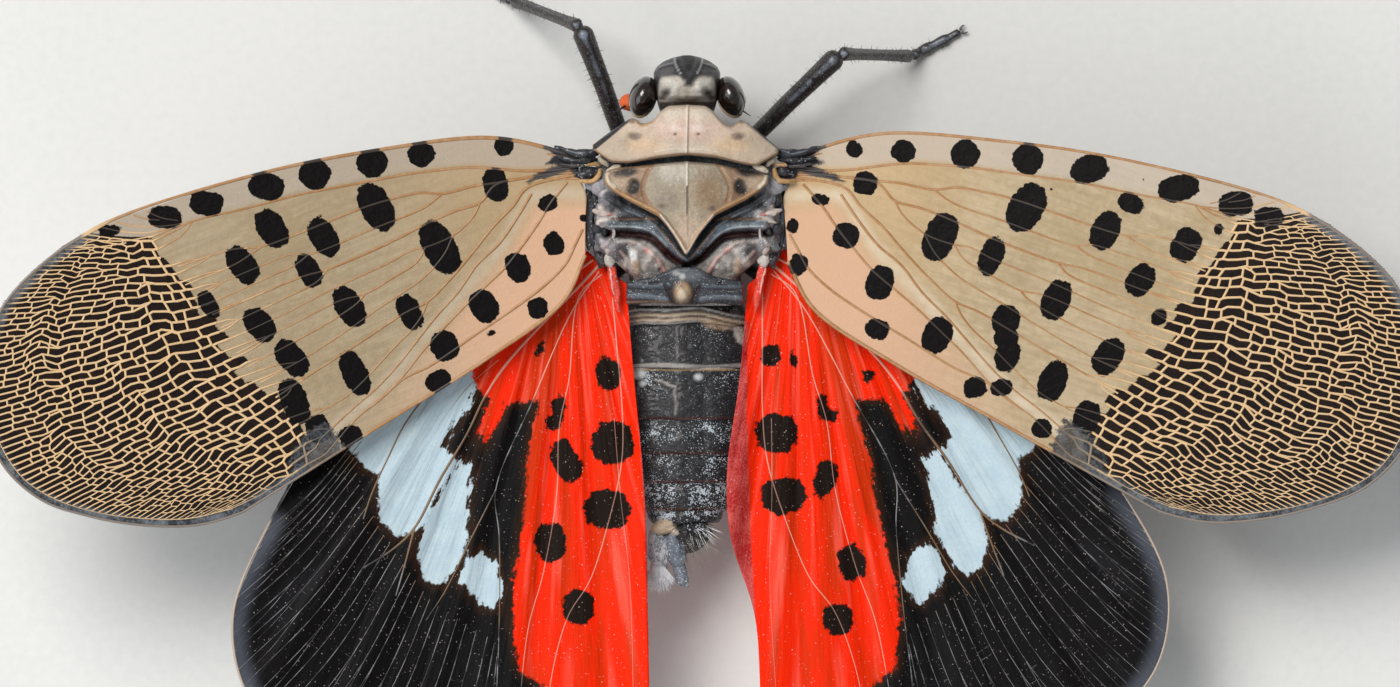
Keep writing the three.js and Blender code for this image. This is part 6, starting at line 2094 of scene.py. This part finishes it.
def build_abdomen():
    rows, insets = [], []
    for number, (front, back) in enumerate(zip(SEGMENT_EDGES[:-1], SEGMENT_EDGES[1:])):
        length = front - back
        shares = np.concatenate([[0.0, 0.02], np.linspace(0.05, 0.95, max(6, int(length / 0.045))),
                                 [0.985, 1.0]])
        rows.append(front - shares * length)
        inset = LIP_STEP * (1 - ease(shares, 0.0, 0.75))
        inset += 0.05 * (1 - np.sqrt(np.clip(1 - ((shares - 0.9) / 0.1).clip(0, 1) ** 2, 0, 1)))
        insets.append(inset)
    rows, insets = np.concatenate(rows), np.concatenate(insets)
    width = np.interp(rows, *zip(*ABDOMEN_WIDTH)) - insets
    rise = np.interp(rows, *zip(*ABDOMEN_RISE)) - insets
    around = 230
    angle = np.linspace(0, 2 * math.pi, around, endpoint=False)
    x = width[:, None] * np.sin(angle)
    z = rise[:, None] * np.cos(angle)
    y = rows[:, None] + 0 * angle
    wave = 0.05 * np.sin(x * 2.1 + rows[:, None]) * (np.cos(angle) > 0) * (np.cos(angle))
    rings = np.stack([x + BODY_SHIFT, y + wave, ABDOMEN_Z + z], -1)
    points, faces = ring_body(rings)
    layers = Layers(points[:, :2], (0.022, 0.022, 0.025))
    row_y = points[:, 1]
    lateral = points[:, 0] - BODY_SHIFT
    for edge in SEGMENT_EDGES[3:-1]:
        layers.lay(1 - ease(np.abs(row_y - edge - 0.05), 0.02, 0.08), (0.055, 0.016, 0.010), 0.95, 0.0)
    sway = 0.09 * lateral ** 2 * np.where(lateral > 0, -0.8, -0.35) + 0.04 * np.sin(lateral * 3.1)
    for offset, colour, size in FRONT_BANDS:
        gap = np.abs(row_y - offset - sway)
        layers.lay(1 - ease(gap, size * 0.5, size * 1.3), colour, 0.92, 0.05 * (sum(colour) > 0.5))
    light = 1 - ease(np.abs(row_y + 7.05 + 0.04 * np.sin(lateral * 2)), 0.05, 0.11)
    layers.lay(light, (0.42, 0.40, 0.38), 0.85, 0.0)
    layers.lay(1 - ease(np.abs(row_y + 7.17), 0.015, 0.04), (0.50, 0.33, 0.15), 0.7, 0.0)
    layers.blot((1.0, -5.62), (0.5, 0.15), (0.42, 0.27, 0.16), 0.7, 0.02, lean=-12)
    layers.blot((1.9, -6.0), (0.22, 0.35), (0.62, 0.56, 0.5), 0.85, 0.04, lean=30)
    layers.blot((-1.7, -7.32), (0.24, 0.16), WHITE_WAX, 0.95, 0.05, soft=0.6)
    layers.blot((-1.55, -7.65), (0.12, 0.1), WHITE_WAX, 0.8, 0.03, soft=0.6)
    layers.blot((0.4, -7.42), (0.14, 0.11), WHITE_WAX, 0.85, 0.03, soft=0.6)
    layers.stroke([(-1.1, -7.52), (-0.86, -7.57), (-0.62, -7.7), (-0.42, -7.74)], 0.045, (0.6, 0.56, 0.52),
                  0.5, 0.03)
    # Painted highlight: a pale line along the middle ridge.
    layers.stroke([(-0.4, -7.75), (-0.44, -8.0), (-0.37, -8.3), (-0.4, -8.7)], 0.04, (0.5, 0.47, 0.43), 0.4,
                  0.03)
    # Painted highlight along the middle ridge, on the first ring.
    layers.stroke([(-0.36, -5.7), (-0.34, -6.4), (-0.34, -6.9)], 0.06, (0.13, 0.12, 0.12), 0.6, 0.03)
    facing_up = ease(points[:, 2] - ABDOMEN_Z, 0.1, 0.7)
    ridge = np.exp(-((lateral + 0.15) / 0.28) ** 2)
    dips = np.exp(-((np.abs(lateral + 0.1) - 0.75) / 0.25) ** 2)
    wrinkle = 0.03 * grain(points * (1, 1.6, 1), 3.5) + 0.022 * grain(points * (1, 1.4, 1) + 3, 8.0)
    points[:, 2] += facing_up * (layers.lift + 0.06 * ridge - 0.05 * dips + wrinkle)
    keel = 1 - 0.5 * facing_up * ridge
    colour = layers.colour * facing_up[:, None] + np.array((0.03, 0.028, 0.03)) * (1 - facing_up[:, None])
    within = np.interp(-row_y, -np.array(SEGMENT_EDGES), np.arange(len(SEGMENT_EDGES)))
    share = within - np.floor(within)
    fresh = 1 - ease(share, 0.15, 0.95)
    wax = 0.42 + 0.62 * ease(-row_y, 8.7, 9.4) + 0.5 * ease(-row_y, 10.7, 11.6)
    wax = (wax - 0.35 * np.exp(-((row_y + 10.35) / 0.4) ** 2)) * (0.55 + 0.6 * fresh)
    wax += 0.75 * np.exp(-((lateral - 1.5) / 0.55) ** 2 - ((row_y + 7.6) / 0.3) ** 2)
    wax += 0.6 * np.exp(-((lateral + 1.4) / 0.5) ** 2 - ((row_y + 7.6) / 0.35) ** 2)
    wax *= (0.3 + 0.7 * facing_up) * keel
    skin = painted_material("abdomen_shell", 0.26, 0.4, 1.0, (0.50, 0.57, 0.63), bump=0.00007,
                            bump_scale=9.0,
                            coat=0.3, wax_scale=17.0)
    return painted_piece("abdomen_shell", points, faces, skin, colour, np.clip(wax, 0, 1.6), "dark_shell",
                         ["abdomen"])


abdomen = build_abdomen()
print(abdomen.name, len(abdomen.data.polygons), "faces")

# %% [markdown]
# Tail
#
# Behind the last ring come small lobes: a beige knob, two blue grey flaps and a tuft of white
# wax threads, and beside them a black lobe with a fan of bristles.

# %% Build the tail lobes
TAIL_HAIR = {"wax_wool": (0.86, 0.89, 0.92), "black_bristle": (0.02, 0.018, 0.018),
             "pale_bristle": (0.3, 0.27, 0.2)}


BRISTLE_ROUGHNESS = 0.5


def plain_material(name, colour):
    """One colour, half rough: for fine bristles, on which no pattern would show."""
    made, tree, shader = new_material(name)
    fill_inputs(tree, shader, {"Base Color": (*colour, 1), "Roughness": BRISTLE_ROUGHNESS})
    return made


TAIL_LOBES = [
    ((-0.15, -12.85, 3.05), (0.95, 0.72, 0.9), 0, (0.035, 0.035, 0.04), 0.5),
    ((-0.8, -12.62, 3.86), (0.46, 0.26, 0.3), 10, (0.62, 0.5, 0.36), 0.1),
    ((-0.42, -12.78, 3.8), (0.24, 0.17, 0.2), -25, (0.66, 0.58, 0.47), 0.2),
    ((-1.0, -13.3, 3.55), (0.38, 0.62, 0.42), -4, (0.32, 0.37, 0.42), 1.3),
    ((-0.42, -13.4, 3.6), (0.36, 0.7, 0.42), 14, (0.2, 0.24, 0.3), 0.8),
    ((-0.28, -13.95, 3.48), (0.24, 0.75, 0.3), 14, (0.24, 0.28, 0.34), 0.9),
    ((-0.98, -14.05, 3.5), (0.3, 0.42, 0.28), 0, (0.74, 0.78, 0.82), 0.4),
    ((-1.18, -13.0, 3.75), (0.16, 0.3, 0.2), 0, (0.55, 0.6, 0.65), 0.4),
    ((-0.85, -13.5, 3.85), (0.1, 0.34, 0.12), -10, (0.66, 0.7, 0.75), 0.4),
    ((-0.12, -14.4, 3.4), (0.12, 0.4, 0.16), 16, (0.3, 0.34, 0.4), 0.5),
    ((0.3, -12.7, 3.6), (0.52, 0.32, 0.42), -16, (0.02, 0.022, 0.028), 0.9),
]


def build_tail():
    bodies, colours, waxes = [], [], []
    for centre, half, turn, colour, wax in TAIL_LOBES:
        points, faces = ball(centre, half, 44, 30, turn)
        points += 0.06 * grain(points, 3.5)[:, None] * (0.6, 0.6, 1) + 0.035 * grain(points, 9.0)[:, None]
        bodies.append((points, faces))
        colours.append(np.tile(colour, (len(points), 1)))
        waxes.append(np.full(len(points), wax))
    points, faces = join_bodies(bodies)
    skin = painted_material("tail_skin", 0.4, 0.4, 1.0, (0.66, 0.71, 0.76), bump=0.0001, wax_scale=13.0)
    piece = painted_piece("tail_lobes", points, faces, skin, np.concatenate(colours), np.concatenate(waxes),
                          "wax_tip", ["terminalia"])
    pale, dark, brown = (plain_material(name, colour) for name, colour in TAIL_HAIR.items())
    tufts = [
        ("tail_wax", ball((-1.0, -14.15, 3.55), (0.25, 0.24, 0.2)), pale, 1000, 0.66, 0.034, (0, -1.5, 0.2)),
        ("tail_wax_side", ball((-0.95, -13.4, 3.6), (0.3, 0.5, 0.38)), pale, 120, 0.22, 0.016,
         (-0.3, -1.4, 0.4)),
        ("tail_fan", ball((0.4, -12.75, 3.62), (0.42, 0.24, 0.38)), pale, 60, 0.62, 0.016, (1.0, -1.3, 0.3)),
        ("tail_hairs", ball((0.1, -13.1, 3.4), (0.5, 0.5, 0.4)), brown, 26, 1.5, 0.008, (0.9, -0.9, 0.2)),
        ("tail_black_hairs", ball((0.3, -12.7, 3.6), (0.52, 0.32, 0.42)), dark, 120, 0.4, 0.016,
         (0.8, -1.4, 0.3)),
    ]
    for number, (name, body, material, density, length, thickness, lean) in enumerate(tufts):
        made = bristles(name, *body, material, density, length, thickness, lean, number)
        print(name, len(made.data.polygons), "faces")
    return piece


tail = build_tail()
print(tail.name, len(tail.data.polygons), "faces")

# %% [markdown]
# Legs
#
# Each leg is a thigh, a shin and a foot of three small joints with two claws. They are black
# with a blue grey bloom and painted sheen where light grazes the flat sides. Thigh, shin and
# foot meet end to end.

# %% Build the legs
LEGS = {
    "front_right": [(1.7, 0.6, 2.4), (2.05, 0.72, 1.95), (5.3, 3.78, 4.3), (7.85, 3.78, 0.6), (9.74, 4.75)],
    "front_left": [(-1.85, 0.6, 2.4), (-2.15, 0.75, 1.95), (-3.7, 4.72, 4.3), (-6.1, 5.72, 0.6),
                   (-7.75, 6.6)],
    "middle_right": [(1.9, -1.2, 2.25), (2.2, -1.25, 1.85), (6.3, -1.5, 4.0), (9.1, -2.7, 0.6), (11, -3.4)],
    "middle_left": [(-2.05, -1.2, 2.25), (-2.35, -1.25, 1.85), (-6.4, -1.3, 4.0), (-9.3, -2.3, 0.6),
                    (-11.2, -2.9)],
    "hind_right": [(1.75, -3.3, 2.28), (2.05, -3.45, 1.85), (5.3, -6.1, 3.6), (7.2, -11.8, 0.6), (7.9, -14)],
    "hind_left": [(-1.9, -3.3, 2.28), (-2.2, -3.45, 1.85), (-5.2, -6.4, 3.6), (-7.4, -12, 0.6),
                  (-7.9, -14.2)],
}
FEMUR_RADII = [0.34, 0.3, 0.31, 0.32, 0.34, 0.38]
TIBIA_RADII = [0.27, 0.21, 0.2, 0.2, 0.21, 0.24]
FOOT_RADII = [0.22, 0.19, 0.17, 0.19, 0.2, 0.15, 0.17, 0.18, 0.12, 0.13, 0.15]
FOOT_Z = 0.24
TOE_Z = 0.15
SPINE_SHARES = [0.25, 0.42, 0.58, 0.74, 0.88]


def angular(rings, amount):
    """Presses four flat sides into a round limb, as insect shins have."""
    centre = rings.mean(1, keepdims=True)
    spokes = rings - centre
    angle = np.linspace(0, 2 * math.pi, rings.shape[1], endpoint=False)
    squeeze = 1 - amount * np.cos(2 * (angle - math.pi / 4)) ** 2
    return centre + spokes * squeeze[None, :, None]


def spine(base, aim, length, radius):
    aim = np.array(aim, float) / np.linalg.norm(aim)
    base = np.array(base, float)
    return ring_body(limb_rings([tuple(base), tuple(base + aim * length * 0.5), tuple(base + aim * length)],
                                [radius, radius * 0.6, 0.012], 10, 0.06, blunt=False))


def leg_bodies(points):
    root, bend, knee, ankle, toe = [np.array(p, float) for p in points]
    middle = (bend + knee) / 2 + (0, 0, 0.12)
    thigh = ring_body(angular(limb_rings([tuple(root), tuple(bend), tuple(middle), tuple(knee)], FEMUR_RADII,
                                         24,
                                         0.08), 0.1))
    shin = ring_body(angular(limb_rings([tuple(knee), tuple((knee + ankle) / 2 + (0, 0, 0.03)),
                                         tuple(ankle)],
                                        TIBIA_RADII, 24, 0.08), 0.16))
    foot_end = np.array((toe[0], toe[1], TOE_Z))
    flat = ankle * (1, 1, 0) + (0, 0, FOOT_Z)
    run = foot_end - flat
    end = flat + run * 0.9
    foot = [ring_body(limb_rings([tuple(ankle), tuple(flat + run * 0.18), tuple(flat + run * 0.5),
                                  tuple(end)],
                                 FOOT_RADII, 20, 0.05))]
    ahead = run / np.linalg.norm(run)
    side = np.cross(ahead, (0, 0, 1))
    for hand in (1, -1):
        tip = end + ahead * 0.24 + side * hand * 0.13
        claw = [end + side * hand * 0.05, end + ahead * 0.14 + side * hand * 0.13 + (0, 0, 0.04), tip]
        foot.append(ring_body(limb_rings([tuple(p) for p in claw], [0.05, 0.04, 0.015], 10, 0.03)))
    return thigh, shin, join_bodies(foot)


def leg_material():
    """Black horn; the flat upper sides carry a blue grey colour, partly bloom and partly painted sheen, that
    fades as they turn away from above.
    """
    made, tree, shader = new_material("leg_shell")
    lumps = noise(tree, millimetres(tree), 1.4, 4.0, 0.7)
    patches = soft_step(tree, lumps, 0.36, 0.6)
    # Blue grey on the up-facing flat sides: partly bloom, partly painted sheen where light from above grazes
    # them.
    flat = soft_step(tree, attribute(tree, "upper"), 0.74, 0.93)
    bloom_and_sheen = times(tree, times(tree, flat, patches), 0.9)
    base = blend_colours(tree, lumps, (0.006, 0.005, 0.005), (0.024, 0.015, 0.011))
    base = blend_colours(tree, bloom_and_sheen, base, (0.17, 0.2, 0.25))
    specks = use_group(tree, WAX, {"Amount": 0.34, "Scale": 15.0}).outputs[0]
    base = blend_colours(tree, specks, base, (0.42, 0.44, 0.47))
    tree.links.new(base, shader.inputs["Base Color"])
    fine = noise(tree, millimetres(tree), 9.0, 4.0)
    bumped(tree, shader, 0.9, 0.00006, fine)
    fill_inputs(tree, shader, {"Roughness": 0.3, "Coat Weight": 0.3, "Coat Roughness": 0.2})
    return made


LEG_SHELL = leg_material()
leg_parts = []
for name, joints in LEGS.items():
    thigh, shin, foot = leg_bodies(joints)
    if name.startswith("hind"):
        knee, ankle = np.array(joints[2]), np.array(joints[3])
        ahead = (ankle - knee) / np.linalg.norm(ankle - knee)
        aim = np.array((math.copysign(1, knee[0]), 0, 0.2)) + 0.7 * ahead
        shin = join_bodies([shin] + [spine(knee + (ankle - knee) * share, aim, 0.8, 0.13)
                                     for share in SPINE_SHARES])
    for part, body in (("femur", thigh), ("tibia", shin), ("tarsus", foot)):
        points, faces = body
        points[:, 2] = np.maximum(points[:, 2], 0.0)
        piece = make_piece(f"{part}_{name}_shell", points, faces, LEG_SHELL)
        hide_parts(f"{part}_{name}")
        leg_parts.append((points, faces))
leg_hairs = bristles("leg_bristles", *join_bodies(leg_parts), bpy.data.materials["black_bristle"], 16, 0.2,
                     0.013,
                     (0, 0, -0.4), 9)
print(len(leg_parts), "leg pieces,", len(leg_hairs.data.polygons), "faces in their bristles")

# %% [markdown]
# Where the wings join the body
#
# The wings don't simply begin. Between them and the box of the back lie little hinge plates,
# soft pale skin and a few dark struts, and in front of each forewing sits a pale lobe above an
# orange brown crescent. They are small lumps and tubes, laid over one another.

# %% Build the wing joints
JOINTS = {
    "lobe": ((2.52, -0.22, 6.62), (0.3, 0.12, 0.1), -22, (0.66, 0.57, 0.45)),
    "lobe_front": ((2.9, 0.02, 6.5), (0.26, 0.1, 0.1), 42, (0.52, 0.44, 0.34)),
    "ring_floor": ((3.38, -0.39, 6.02), (0.42, 0.27, 0.12), 0, (0.03, 0.032, 0.04)),
    "membrane": ((3.2, -0.8, 5.96), (0.32, 0.24, 0.12), 0, (0.28, 0.29, 0.33)),
    # Painted shade: a dark sheet in the gap between wing and thorax.
    "gap_shade_wall": ((3.4, -1.9, 5.6), (0.2, 1.15, 0.14), 0, (0.045, 0.047, 0.055)),
    "pad": ((3.0, -0.85, 6.12), (0.3, 0.34, 0.16), 10, (0.34, 0.33, 0.36)),
    "pad_mid": ((2.82, -1.3, 6.1), (0.28, 0.26, 0.16), 30, (0.22, 0.22, 0.25)),
    # Painted shade: a near black lump in the hollow between the pads.
    "hollow_shade": ((3.15, -1.3, 6.1), (0.13, 0.24, 0.14), 0, (0.02, 0.022, 0.028)),
    # Painted highlight: this pale pinkish lump stands for the shine on the hinge.
    "pad_rear_highlight": ((2.95, -1.74, 6.12), (0.34, 0.12, 0.15), 14, (0.62, 0.52, 0.47)),
    "pad_rose": ((2.7, -1.82, 6.1), (0.22, 0.06, 0.12), -6, (0.62, 0.2, 0.16)),
    "knuckle": ((3.12, -2.3, 6.0), (0.18, 0.22, 0.16), 0, (0.03, 0.032, 0.04)),
    # Painted shade: a near black lump in the slit.
    "slit_shade": ((2.84, -2.4, 6.0), (0.13, 0.17, 0.12), 20, (0.015, 0.015, 0.017)),
    "plate": ((3.02, -2.85, 5.86), (0.16, 0.26, 0.14), 25, (0.14, 0.145, 0.16)),
    "plate_pale": ((2.72, -2.95, 5.88), (0.12, 0.26, 0.12), -8, (0.52, 0.43, 0.40)),
    "hind_pad": ((2.6, -3.3, 5.5), (0.2, 0.24, 0.18), 12, (0.60, 0.52, 0.48)),
    "hind_knuckle": ((2.98, -3.35, 5.4), (0.18, 0.28, 0.18), -25, (0.05, 0.048, 0.055)),
}
JOINT_TUBES = [
    ([(2.95, -0.12, 6.25), (3.2, -0.08, 6.33), (3.5, -0.12, 6.3)], [0.05, 0.08, 0.05], (0.50, 0.29, 0.12)),
    ([(3.0, -0.2, 6.3), (3.03, -0.45, 6.3), (3.2, -0.64, 6.28), (3.5, -0.66, 6.25), (3.75, -0.6, 6.2)],
     [0.07, 0.09, 0.09, 0.08, 0.04], (0.58, 0.35, 0.15)),
    ([(3.1, -0.32, 6.2), (3.35, -0.36, 6.28), (3.65, -0.32, 6.2)], [0.12, 0.17, 0.08],
     (0.025, 0.027, 0.034)),
    # Painted highlight: a thin grey tube along the top of the dark ridge above.
    ([(3.3, -0.44, 6.32), (3.5, -0.4, 6.34), (3.7, -0.42, 6.28)], [0.03, 0.04, 0.02], (0.2, 0.22, 0.25)),
    ([(3.0, 0.4, 6.05), (3.4, 0.3, 6.2), (3.9, 0.32, 6.18), (4.6, 0.56, 6.1)], [0.14, 0.17, 0.12, 0.04],
     (0.035, 0.037, 0.045)),
    # Painted highlight: a thin grey tube along the top of the dark ridge above.
    ([(3.2, 0.38, 6.3), (3.7, 0.3, 6.34), (4.2, 0.42, 6.25)], [0.03, 0.04, 0.02], (0.16, 0.18, 0.21)),
    ([(3.1, 0.12, 6.1), (3.5, 0.06, 6.22), (4.0, 0.06, 6.2), (4.5, 0.16, 6.12)], [0.1, 0.13, 0.09, 0.03],
     (0.02, 0.021, 0.026)),
    # Painted highlight: a thin grey tube along the top of the dark ridge above.
    ([(3.3, 0.1, 6.28), (3.8, 0.08, 6.28), (4.3, 0.14, 6.2)], [0.02, 0.03, 0.02], (0.24, 0.25, 0.28)),
    ([(3.5, -0.14, 6.2), (3.9, -0.12, 6.22), (4.4, -0.05, 6.14)], [0.06, 0.07, 0.03], (0.06, 0.055, 0.06)),
    ([(2.62, -2.1, 6.2), (2.85, -2.02, 6.24), (3.1, -2.1, 6.16)], [0.04, 0.06, 0.04], (0.66, 0.58, 0.52)),
    ([(2.62, -2.12, 6.12), (2.52, -2.4, 6.12), (2.6, -2.75, 6.04), (2.85, -3.0, 5.9)],
     [0.04, 0.05, 0.05, 0.04],
     (0.5, 0.47, 0.47)),
    ([(3.26, -1.3, 5.95), (3.3, -2.0, 5.9), (3.26, -2.7, 5.7), (3.1, -3.3, 5.4)], [0.05, 0.07, 0.07, 0.05],
     (0.04, 0.045, 0.06)),
    ([(2.72, -3.15, 5.72), (2.68, -3.4, 5.55), (2.62, -3.6, 5.4)], [0.1, 0.17, 0.13], (0.70, 0.66, 0.6)),
    ([(2.64, -3.5, 5.38), (2.56, -3.9, 5.3), (2.46, -4.5, 5.25), (2.36, -5.2, 5.2)],
     [0.14, 0.17, 0.15, 0.06],
     (0.85, 0.075, 0.045)),
    # Painted highlight: a thin pale pink tube along the rosy tube above.
    ([(2.7, -3.6, 5.52), (2.62, -4.0, 5.46), (2.52, -4.6, 5.38)], [0.03, 0.045, 0.02], (0.92, 0.42, 0.36)),
    ([(2.9, -3.15, 5.6), (2.95, -3.45, 5.4), (3.02, -3.7, 5.3)], [0.07, 0.1, 0.07], (0.06, 0.05, 0.05)),
]


def build_joints():
    bodies, colours = [], []
    for hand in SIDES.values():
        for centre, half, turn, colour in JOINTS.values():
            points, faces = ball((hand * centre[0], centre[1], centre[2]), half, 28, 18, hand * turn)
            points = points + 0.03 * grain(points, 5.0)[:, None] * (0.5, 0.5, 1)
            bodies.append((points, faces))
            colours.append(np.tile(colour, (len(points), 1)))
        for path, radii, colour in JOINT_TUBES:
            body = ring_body(limb_rings([(hand * x, y, z) for x, y, z in path], radii, 16, 0.06))
            bodies.append(body)
            colours.append(np.tile(colour, (len(body[0]), 1)))
    points, faces = join_bodies(bodies)
    points += 0.035 * np.stack([grain(points + shift, 6.0) for shift in (0, 7, 3)], 1)
    skin = painted_material("joint_skin", 0.3, 0.4, 0.4, (0.6, 0.6, 0.62), bump=0.0001, bump_scale=7.0,
                            coat=0.3)
    return painted_piece("wing_joints", points, faces, skin, np.concatenate(colours), None, "rear_thorax")


joints_piece = build_joints()
print(joints_piece.name, len(joints_piece.data.polygons), "faces")
